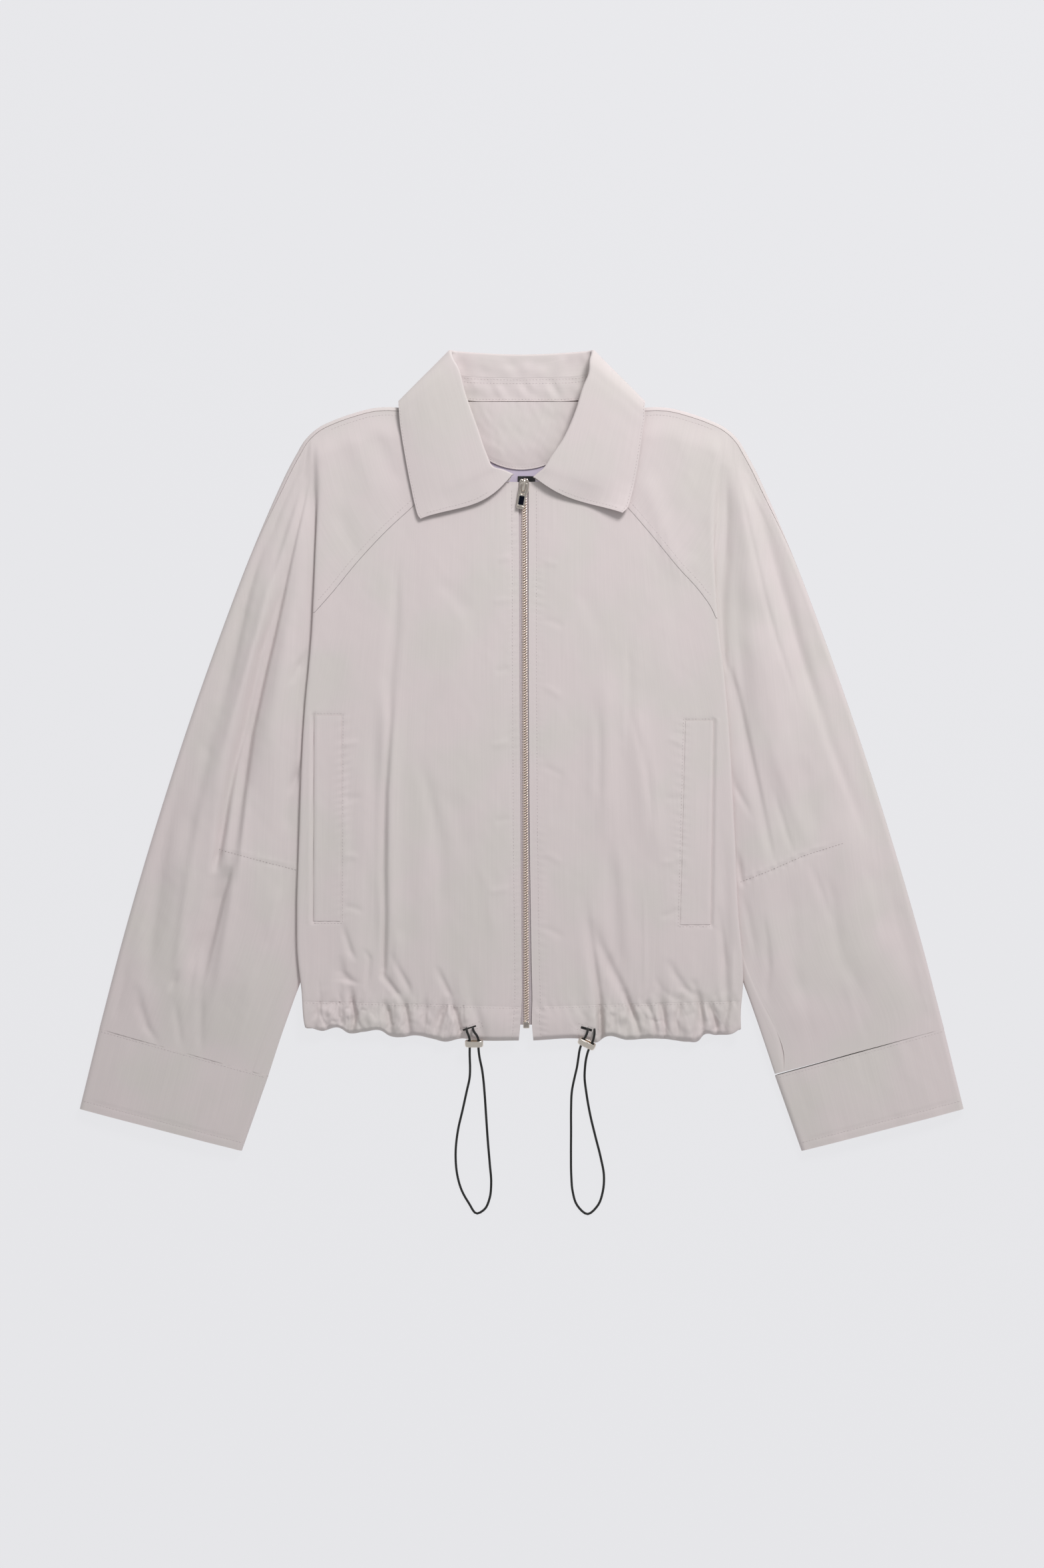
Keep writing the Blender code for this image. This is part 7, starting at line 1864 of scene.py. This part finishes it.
def collar_surface(rows_each, leaf_columns):
    """The turned-down collar: the leaf from its edge to the roll, round it, and down to the stand's seam."""
    station = collar_stations(rows_each)
    face, roll, edge, neck, away = collar_frame(station)
    start = roll + face * COLLAR_NOSE - away * COLLAR_NOSE
    up_facing = np.clip(np.sin(np.radians(station[:, 0])), 0.0, 1.0)[:, None]
    columns = []
    for share in even(leaf_columns):
        crown = 1.2 * math.sin(math.pi * share)
        point = mix(edge, start, share) + face * crown * up_facing
        point = point + leaf_end_offset(edge, start, rows_each, share)
        calm = ease((share - 0.02) / 0.1) * ease((1 - share) / 0.2)
        relief = 0.9 * rumple(point[:, 0], point[:, 1], 95, 8.0) * calm
        columns.append(point + face * relief[:, None] * up_facing)
    for angle in np.linspace(0.0, math.pi, 13)[1:-1]:
        offset = face * math.cos(angle) * COLLAR_NOSE + away * (math.sin(angle) - 1.0) * COLLAR_NOSE
        columns.append(roll + offset)
    under = roll - face * COLLAR_NOSE - away * COLLAR_NOSE
    for share in np.linspace(0.0, COLLAR_SHARE, 7):
        wrinkle = 1.1 * value_noise(station[:, 4], share * 40.0 + 0.0 * station[:, 4], 7.0, 9.0, 97, 20.0)
        wrinkle = wrinkle * math.sin(math.pi * share / COLLAR_SHARE)
        columns.append(mix(under, neck, share) - face * wrinkle[:, None])
    return np.stack(columns, axis=1)


def stand_surface(rows_each):
    """The collar stand, from the collar's seam to the neck seam."""
    station = collar_stations(rows_each)
    face, roll, _, neck, away = collar_frame(station)
    under = roll - face * COLLAR_NOSE - away * COLLAR_NOSE
    length = np.linalg.norm(neck - under, axis=1)[:, None]
    start = mix(under, neck, np.minimum(COLLAR_SHARE + 0.06 * COLLAR_GAP / length, STAND_START_LIMIT))
    columns = []
    for share in even(13):
        wrinkle = 1.2 * value_noise(station[:, 4], share * 20.0 + 0.0 * station[:, 4], 6.0, 11.0, 99, -25.0)
        wrinkle = wrinkle * math.sin(math.pi * share)
        columns.append(mix(start, neck, share) - face * wrinkle[:, None])
    return np.stack(columns, axis=1)


collar_grid = collar_surface(COLLAR_ROWS_EACH, LEAF_COLUMNS)
cloth_piece("collar_leaf", [collar_grid], CLOTH, poplin)
stand_grid = stand_surface(COLLAR_ROWS_EACH)
cloth_piece("collar_band", [stand_grid], CLOTH, poplin)

# %% [markdown]
# ## The zip: tapes, teeth and bottom box
# A metal zip has a woven tape on each side with a bead along its inner edge. The teeth are clamped
# on the beads, half a pitch apart from side to side, so that they mesh. One tooth is a rounded
# block: a ball whose sines and cosines are raised to a power below one, which squares it. It is
# worked out once and copied along the beads as one array.

# %% Zip tapes, teeth and bottom box
ZIP_TOP = 249.3
ZIP_BOTTOM = -251.4
ZIP_X_TOP = 2.3
ZIP_X_BOTTOM = 4.2
TAPE_TOP = 9.1
TAPE_WALL = 0.8
CHAIN_TOP_END = 244.5
CHAIN_BOTTOM_END = -248.2
TAPE_INNER_EDGE, TAPE_OUTER_EDGE = 0.9, 18.2
TAPE_END = 246.0
BEAD = 0.55
TOOTH_PITCH = 2.35
TOOTH_SIZE = (3.5, 1.5, 2.3)
TOOTH_REACH = 0.95
TOOTH_HEIGHT = 8.95
TOOTH_LEAN = 20.0
BOX_SIZE = (5.8, 6.2, 3.6)
BOX_MIDDLE = (-251.6, 8.7)
PIN_SIZE = (1.7, 13.0, 2.0)


def zip_x(y):
    """Middle of the zip chain, which drifts a little from top to bottom."""
    return mix(ZIP_X_TOP, ZIP_X_BOTTOM, (ZIP_TOP - y) / (ZIP_TOP - ZIP_BOTTOM))


def rounded_block(size, rows, columns, power=0.45):
    """A squared ball: half the size times (c(v) c(u), c(v) s(u), s(v)), with sine and cosine to a power."""
    tilt = np.linspace(-0.5 * math.pi, 0.5 * math.pi, rows)[:, None]
    turn = np.linspace(0.0, 2.0 * math.pi, columns)[None]
    flat = signed_power(np.cos(tilt), power)
    ball = joined(flat * signed_power(np.cos(turn), power), flat * signed_power(np.sin(turn), power),
                  signed_power(np.sin(tilt), power))
    return ball * np.array(size) * 0.5


def tape_surface(side):
    """A zip tape: flat, with a raised bead along its inner edge, following the zip's slight drift."""
    y = np.linspace(ZIP_BOTTOM, TAPE_END, 121)[:, None]
    flat = np.linspace(3.4, TAPE_OUTER_EDGE - TAPE_INNER_EDGE, 9)
    across = np.concatenate([np.linspace(0.0, 2.2, 9), flat])[None]
    x = zip_x(y) + side * (TAPE_INNER_EDGE + across)
    return joined(x, y, TAPE_TOP + BEAD * bell(across - 0.9, 0.7))


for side, name in SIDE_NAMES.items():
    cloth_piece(f"tape_{name}", [tape_surface(side)], TAPE_WALL, tape_weave, flip=side == RIGHT)

tooth = rounded_block(TOOTH_SIZE, 7, 13) @ rotation(0.0, TOOTH_LEAN).T
teeth = []
for side in (RIGHT, LEFT):
    tooth_y = np.arange(CHAIN_BOTTOM_END, CHAIN_TOP_END, TOOTH_PITCH) + (0.5 + 0.25 * side) * TOOTH_PITCH
    tooth_x = zip_x(tooth_y) + side * TOOTH_REACH
    places = joined(tooth_x, tooth_y, TOOTH_HEIGHT)
    teeth.extend(tooth[None] + places[:, None, None])
zip_teeth = closed_piece("zip_teeth", teeth, tooth_metal)
box_y, box_z = BOX_MIDDLE
box_grid = rounded_block(BOX_SIZE, 17, 33, 0.22) + np.array([zip_x(box_y), box_y, box_z])
pin_place = np.array([zip_x(box_y) - 1.0, box_y + 0.5 * BOX_SIZE[1], TOOTH_HEIGHT - 0.4])
pin_grid = rounded_block(PIN_SIZE, 9, 17, 0.3) + pin_place
bottom_box = closed_piece("bottom_box", [box_grid, pin_grid], nickel)
print("teeth:", len(teeth), "with", len(zip_teeth.data.polygons), "faces")

# %% [markdown]
# ## The slider and its pull tab
# The slider is cast in one: two plates joined by a post, with a bridge on top that holds the pull. Its
# top plate has two round shoulders where the sides part. A plate is an outline that shrinks to its
# middle while a short profile gives its height, so its rim comes out round. The pull is a flat frame
# with an eye and a window, which a filled curve makes well, and a dark polished inlay in the window.

# %% Slider, bridge, pull and inlay
SLIDER_SIZE = (9.6, 14.6, 1.2)
SLIDER_MIDDLE = (2.3, 242.0)
SLIDER_BOTTOM = 11.0
SLIDER_UNDER = (7.8, 13.0, 1.2)
SLIDER_UNDER_TOP = 7.1
SLIDER_POST = (3.0, 3.2)
SLIDER_POST_Y = 245.6
PULL_AXIS = (2.3, 244.6, 13.2)
PULL_TILT = math.radians(9.5)
BRIDGE_REACH = 6.9
BRIDGE_BACK_PART = 0.62
BRIDGE_RISE = 2.8
BRIDGE_RADII = (1.25, 0.6)
SHARP_ANGLE = math.radians(35.0)
SHOULDER_NOTCH = 1.7
RIM_ROUND, RIM_SHRINK = 0.4, 0.12
PULL_WIDTH, PULL_WALL = 7.2, 1.2
PULL_TOP, PULL_END = 0.6, -23.4
EYE_WIDTH, EYE_TOP, EYE_END = 4.6, -0.75, -10.4
WINDOW_WIDTH, WINDOW_TOP, WINDOW_END = 5.2, -11.4, -20.2
PULL_TURN = rotation(0.0, -math.degrees(PULL_TILT))


def oblong(width, length, power, count=72):
    """A closed rounded rectangle round the origin: half the size times cosine and sine to a power."""
    turn = np.linspace(0.0, 2.0 * math.pi, count + 1)
    return joined(0.5 * width * signed_power(np.cos(turn), power),
                  0.5 * length * signed_power(np.sin(turn), power))


def plate_grid(outline, bottom, top):
    """A plate: the outline shrunk to its middle below and above, with a quarter round at each rim."""
    angle = np.linspace(-0.5 * math.pi, 0.5 * math.pi, 9)
    share = np.concatenate([[0.0, 0.5], 1.0 - RIM_SHRINK * (1.0 - np.cos(angle)), [0.5, 0.0]])
    half = 0.5 * (top - bottom)
    rim = (half - RIM_ROUND) * np.sign(angle) + RIM_ROUND * np.sin(angle)
    height = np.concatenate([[-half, -half], rim, [half, half]]) + 0.5 * (top + bottom)
    plan = outline[None] * share[:, None, None]
    return np.concatenate([plan, np.broadcast_to(height[:, None, None], (*plan.shape[:2], 1))], axis=-1)


def shoulder_outline(width, length):
    """A slider plate's outline: a rounded rectangle, narrower towards its foot, with a notch in its head."""
    outline = oblong(width, length, 0.62, 96)
    taper = 1.0 - 0.17 * (0.5 - outline[:, 1] / length)
    outline[:, 0] = outline[:, 0] * taper
    outline[:, 1] = outline[:, 1] - SHOULDER_NOTCH * bell(outline[:, 0], 0.17 * width) * (outline[:, 1] > 0.0)
    return outline


def flat_frame(name, outlines, bottom, top, bevel, material):
    """A flat plate with holes: a filled 2D curve of the outlines, extruded between two heights."""
    curve = bpy.data.curves.new(name, "CURVE")
    curve.dimensions = "2D"
    curve.fill_mode = "BOTH"
    curve.extrude = (0.5 * (top - bottom) - bevel) * MM
    curve.bevel_depth = bevel * MM
    curve.bevel_resolution = 2
    for outline in outlines:
        spline = curve.splines.new("POLY")
        spline.points.add(len(outline) - 2)
        flat = np.zeros((len(outline) - 1, 4))
        flat[:, :2] = outline[:-1] * MM
        flat[:, 3] = 1.0
        spline.points.foreach_set("co", flat.astype(np.float32).ravel())
        spline.use_cyclic_u = True
    helper = scene_object(name + "_curve", curve)
    bpy.context.view_layer.update()
    mesh = bpy.data.meshes.new_from_object(helper.evaluated_get(bpy.context.evaluated_depsgraph_get()))
    bpy.data.objects.remove(helper, do_unlink=True)
    weld(mesh, FORM_WELD, closed=True)
    points = np.empty(len(mesh.vertices) * 3, np.float32)
    mesh.vertices.foreach_get("co", points)
    place = np.array(PULL_AXIS) + np.array([0.0, 0.0, 0.5 * (top + bottom)])
    moved = points.reshape(-1, 3) @ PULL_TURN.T + place * MM
    mesh.vertices.foreach_set("co", moved.astype(np.float32).ravel())
    mesh.set_sharp_from_angle(angle=SHARP_ANGLE)
    mesh.materials.clear()
    mesh.materials.append(material)
    return scene_object(name, mesh)


def slider_plate(size, bottom, place):
    """A plate of the slider, from its size and the height of its lower face, at a place."""
    width, length, wall = size
    return plate_grid(shoulder_outline(width, length), bottom, bottom + wall) + np.array(place)


slider_x, slider_y = SLIDER_MIDDLE
slider_top = SLIDER_BOTTOM + SLIDER_SIZE[2]
plate = slider_plate(SLIDER_SIZE, SLIDER_BOTTOM, (slider_x, slider_y, 0.0))
under_plate = slider_plate(SLIDER_UNDER, SLIDER_UNDER_TOP - SLIDER_UNDER[2], (slider_x, slider_y + 0.6, 0.0))
post = rounded_block((*SLIDER_POST, SLIDER_BOTTOM - SLIDER_UNDER_TOP + 1.0), 9, 25, 0.5)
post = post + np.array([slider_x, SLIDER_POST_Y, 0.5 * (SLIDER_BOTTOM + SLIDER_UNDER_TOP)])
arch = np.linspace(-0.18, math.pi + 0.18, 25)
front_part = np.where(np.cos(arch) > 0, 1.0, BRIDGE_BACK_PART)
route = joined(0.0, -BRIDGE_REACH * np.cos(arch) * front_part, BRIDGE_RISE * signed_power(np.sin(arch), 0.8))
bridge_place = np.array([PULL_AXIS[0], PULL_AXIS[1], slider_top])
bridge = tube_grid(route @ PULL_TURN.T + bridge_place, np.array(BRIDGE_RADII), 16)
slider_body = closed_piece("slider_body", [plate, under_plate, post, bridge], nickel)


def pull_outline(width, top, end, power):
    """A rounded rectangle between two distances along the pull."""
    return oblong(width, top - end, power) + np.array([0.0, 0.5 * (top + end)])


eye = pull_outline(EYE_WIDTH, EYE_TOP, EYE_END, 0.75)
window = pull_outline(WINDOW_WIDTH, WINDOW_TOP, WINDOW_END, 0.12)
pull_edge = pull_outline(PULL_WIDTH, PULL_TOP, PULL_END, 0.3)
half_wall = 0.5 * PULL_WALL
pull_frame = flat_frame("pull_frame", [pull_edge, eye, window], -half_wall, half_wall, 0.25, nickel)
inlay_edge = pull_outline(WINDOW_WIDTH + 0.4, WINDOW_TOP + 0.2, WINDOW_END - 0.2, 0.12)
pull_inlay = flat_frame("pull_inlay", [inlay_edge], -0.35, 0.3, 0.05, dark_mirror)
bar = rounded_block((PULL_WIDTH - 0.2, 2.3, 1.1), 13, 33, 0.4) + np.array([0.0, -21.9, 0.75])
pull_bar = closed_piece("pull_bar", [bar @ PULL_TURN.T + np.array(PULL_AXIS)], nickel)
print("slider faces:", len(slider_body.data.polygons), "pull faces:", len(pull_frame.data.polygons))

# %% [markdown]
# ## The sewing
# Topstitching is a row of short raised lozenges of thread, about 3 mm from one to the next, which
# is 8 to the inch. A line is planned on the flat, cut into equal steps, and dropped straight down
# onto its panel, so every stitch lies on the cloth and leans with it. All the stitches of a line
# are one mesh: the same six corners carried to each place at once.

# %% Stitch lines
STITCH_PITCH = 3.0
STITCH_LENGTH, STITCH_HALF_WIDTH, STITCH_RISE = 2.3, 0.27, 0.3
STITCH_CORNERS = np.array([(-0.5, 0, -0.1), (0, -1, 0), (0, 1, 0), (0.5, 0, -0.1), (0, 0, 1), (0, 0, -0.6)])
STITCH_FACES = np.array([(0, 1, 4), (1, 3, 4), (3, 2, 4), (2, 0, 4),
                         (1, 0, 5), (3, 1, 5), (2, 3, 5), (0, 2, 5)])
RAGLAN_STITCH_END = {RIGHT: 186.0, LEFT: 174.0}
CUFF_STITCH_ROWS = (0.022, 0.895)
SLITS = {RIGHT: [(-54.6, -256.6), (-38.2, -251.2)], LEFT: [(52.4, -253.0), (69.0, -257.8)]}
SLIT_HALF = (1.15, 0.45)
SLIT_OPEN = {RIGHT: (0.05, 0.78), LEFT: (0.12, 0.72)}
SLIT_RIM = 2.6
SLIT_REACH = 2.0
DROP_FROM = 0.05
DOWN = Vector((0.0, 0.0, -1.0))
trees = {}
sewn = {}


def panel_tree(name):
    """A search tree of a panel's outer face, made once."""
    if name not in trees:
        builder = bmesh.new()
        builder.from_mesh(bpy.data.objects[name].data)
        trees[name] = BVHTree.FromBMesh(builder)
        builder.free()
    return trees[name]


def drop_onto(panel, x, y):
    """The point of a panel straight below a place in mm, and the face's normal there."""
    return panel_tree(panel).ray_cast(Vector((x * MM, y * MM, DROP_FROM)), DOWN)[:2]


def even_steps(line, pitch):
    """Plan points a pitch apart along a line, and the line's unit direction at each."""
    length = arc_length(line)
    at = np.arange(0.5 * pitch, length[-1], pitch)
    points, ahead, behind = (joined(*(np.interp(at + shift, length, row) for row in np.transpose(line)))
                             for shift in (0.0, 0.5, -0.5))
    return points, unit(ahead - behind)


def sew(name, panel, lines, material=None):
    """Stitches along plan lines, dropped onto a panel: corners = place + along t + across s + up n."""
    found = []
    for line in lines:
        for point, way in zip(*even_steps(line, STITCH_PITCH)):
            hit, normal = drop_onto(panel, *point)
            if hit is not None:
                found.append((hit, normal, (*way, 0.0)))
    place, normal, heading = (np.array(rows, float) for rows in zip(*found))
    normal = normal * np.sign(normal[:, 2:])
    heading = unit(heading - normal * np.sum(heading * normal, axis=1, keepdims=True))
    side_way = np.cross(normal, heading)
    axes = np.stack([heading * STITCH_LENGTH, side_way * STITCH_HALF_WIDTH, normal * STITCH_RISE], axis=1)
    corners = place[:, None] + np.einsum("ck,nkx->ncx", STITCH_CORNERS, axes) * MM
    first_corners = len(STITCH_CORNERS) * np.arange(len(place))
    faces = (STITCH_FACES[None] + first_corners[:, None, None]).reshape(-1, 3)
    mesh = bpy.data.meshes.new(name)
    mesh.from_pydata(corners.reshape(-1, 3).tolist(), [], faces.tolist())
    mesh.shade_smooth()
    mesh.materials.append(material or thread_matt)
    scene_object(name, mesh)
    sewn[name] = panel
    print(f"{name}: {len(place)} stitches on {panel}")


def signed(side, x, y):
    """Plan points with x turned from outwards to signed."""
    return joined(side * x, y)


def zip_line(side, bottom, top, count):
    """Topstitching beside the zip, between two heights."""
    y = np.linspace(bottom, top, count)
    return signed(side, front_edge_x(side, y) + FRONT_STITCH[side], y)


for side, name in SIDE_NAMES.items():
    x = np.linspace(60.5, RAGLAN_STITCH_END[side], 200)
    line = signed(side, x, raglan_seam_y(side, x, RAGLAN_STITCH))
    sew(f"stitches_raglan_{name}", f"sleeve_top_{name}", [line])
    sew(f"stitches_zip_{name}", f"front_panel_{name}", [zip_line(side, -232.0, 238.0, 200)])
    sew(f"stitches_zip_casing_{name}", f"hem_casing_{name}", [zip_line(side, -264.0, -237.0, 40)])
    seam_start, seam_end = hem_seam_ends(side)
    x = np.linspace(seam_start + 3.0, seam_end - 4.0, 200)
    sew(f"stitches_casing_{name}", f"hem_casing_{name}", [signed(side, x, hem_seam_y(x) - 1.6)])
    welt = WELTS[side]
    top, bottom = welt.y_top + 2.0, welt.y_bottom - 2.0
    corners = np.array([(welt.outer_top + 1.0, top), (welt.inner_top - 2.0, top),
                        (welt.inner_bottom - 2.0, bottom), (welt.outer_bottom + 1.0, bottom)])
    sew(f"stitches_pocket_{name}", f"front_panel_{name}", [side_grid(side, corners)])
    seam, mouth = np.array(CUFF_SEAM), np.array(CUFF_MOUTH)
    share = np.linspace(0.012, 0.988, 60)[:, None]
    lines = [side_grid(side, mix(mix(*seam, share), mix(*mouth, share), row)) for row in CUFF_STITCH_ROWS]
    sew(f"stitches_cuff_{name}", f"cuff_band_{name}", lines)
    dart = np.array(DARTS[side]) * np.array([side, 1.0])
    # The dart's stitches use the darker thread, painted shade along the dart seam's groove.
    sew(f"stitches_dart_{name}", f"sleeve_top_{name}", [dart], dart_shade_thread)
    shoulder = shoulder_seam(np.linspace(76.0, 176.0, 60))[:, :2] - np.array([0.0, 4.0])
    sew(f"stitches_shoulder_{name}", f"sleeve_top_{name}", [signed(side, shoulder[:, 0], shoulder[:, 1])])


def slit_cord_and_shade(side, name):
    """A low dark tube along a slit in the casing, laid on the cloth: the cord seen in the slit, and painted
    shade of the slit's gap.
    """
    first, last = np.array(SLITS[side])
    plan = mix(first, last, np.linspace(*SLIT_OPEN[side], 25)[:, None])
    height = np.array([drop_onto(f"hem_casing_{name}", x, y)[0].z for x, y in plan]) / MM
    height = mix(height, height.mean(), 0.5) + 0.25
    path = np.concatenate([plan, height[:, None]], axis=1)
    closed_piece(f"cord_and_shade_in_slit_{name}", [tube_grid(path, np.array(SLIT_HALF), 14)], elastic)


# Each slit gets a dark tube: the cord seen in it, and painted shade of the slit's gap.
for side, name in SIDE_NAMES.items():
    slit_cord_and_shade(side, name)
    first, last = np.array(SLITS[side])
    way = (last - first) / np.linalg.norm(last - first)
    aside = np.array([-way[1], way[0]]) * SLIT_RIM
    first, last = first - way * SLIT_REACH, last + way * SLIT_REACH
    rim = np.array([first + aside, last + aside, last - aside, first - aside])
    sew(f"stitches_slit_{name}", f"hem_casing_{name}", [rim])


def grid_line(points, first, last, column):
    """Plan line through a grid between two rows, at a fractional column."""
    low = int(column)
    high = min(low + 1, points.shape[1] - 1)
    return mix(points[first:last, low, :2], points[first:last, high, :2], column - low)


middle = len(collar_grid) // 2
front_rows = 7 * COLLAR_ROWS_EACH
edge_lines = [grid_line(collar_grid, 1, middle - front_rows, 0.6),
              grid_line(collar_grid, middle + front_rows, len(collar_grid) - 1, 0.6)]
end_lines = [collar_grid[row, 2:22, :2] + np.array([0.0, 1.8]) for row in (2, -3)]
sew("stitches_collar", "collar_leaf", edge_lines + end_lines)
first, last = middle - 4 * COLLAR_ROWS_EACH, middle + 4 * COLLAR_ROWS_EACH
stand_lines = [grid_line(stand_grid, first, last, column) for column in (1.0, 2.9, 11.0)]
sew("stitches_stand", "collar_band", stand_lines)
across = np.linspace(-0.97, 0.97, 80)
facing_x = across * FACING_HALF_WIDTH * 0.965
facing_y = FACING_TOP - FACING_DEPTH * np.sqrt(1.0 - across ** 2 * 0.93) + 2.0
facing_line = joined(facing_x, facing_y)
sew("stitches_facing", "neck_facing", [facing_line])

# %% [markdown]
# ## Which solid each piece stands for
# Every piece of cloth stands for one solid of the imported model and rides on the jacket. Its cut is
# the flat size of what shows, measured along the surface while it was made. The pull tab's pieces
# ride on their own body.

# %% Riding, replacing and the sizes of the cuts
Cut = namedtuple("Cut", "node slot rests_on")
CUTS = {
    "back_panel": Cut("back", "cotton_cloth", []),
    "hem_casing_back": Cut("hem_back", "cotton_cloth", []),
    "neck_facing": Cut("back_facing", "lilac_inner_cloth", ["back_panel"]),
    "neck_label": Cut("label", "black_label_cloth", ["back_panel"]),
    "collar_leaf": Cut("collar", "cotton_cloth", ["collar_band", "front_panel_left", "front_panel_right"]),
    "collar_band": Cut("collar_stand", "cotton_cloth", ["neck_facing"]),
}
for name in SIDE_NAMES.values():
    CUTS[f"front_panel_{name}"] = Cut(f"front_{name}", "cotton_cloth", ["back_panel"])
    CUTS[f"hem_casing_{name}"] = Cut(f"hem_front_{name}", "cotton_cloth", ["hem_casing_back"])
    CUTS[f"welt_strip_{name}"] = Cut(f"welt_{name}", "cotton_cloth", [f"front_panel_{name}"])
    CUTS[f"sleeve_top_{name}"] = Cut(f"sleeve_front_{name}", "cotton_cloth", [f"sleeve_underside_{name}"])
    CUTS[f"sleeve_underside_{name}"] = Cut(f"sleeve_back_{name}", "cotton_cloth", [])
    CUTS[f"cuff_band_{name}"] = Cut(f"cuff_{name}", "cotton_cloth", [])
    CUTS[f"tape_{name}"] = Cut(f"zip_tape_{name}", "zip_tape", [f"front_panel_{name}"])
for name, cut in CUTS.items():
    piece = bpy.data.objects[name]
    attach(piece, "jacket")
    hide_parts(cut.node)
    width, length, area = declared[name]
    width = max(width, area / length)
    print(f"{name}: cut {width:.0f} x {length:.0f} mm, {area / 1e6:.4f} square metres")
for stitches in sewn:
    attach(bpy.data.objects[stitches], "jacket")
for piece, node in ((zip_teeth, "zip_chain"), (slider_body, "zip_slider"), (bottom_box, "zip_box")):
    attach(piece, "jacket")
    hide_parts(node)
for name in SIDE_NAMES.values():
    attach(bpy.data.objects[f"cord_and_shade_in_slit_{name}"], "jacket")
for piece in (pull_frame, pull_inlay, pull_bar):
    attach(piece, "pull_tab")
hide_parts("zip_pull")
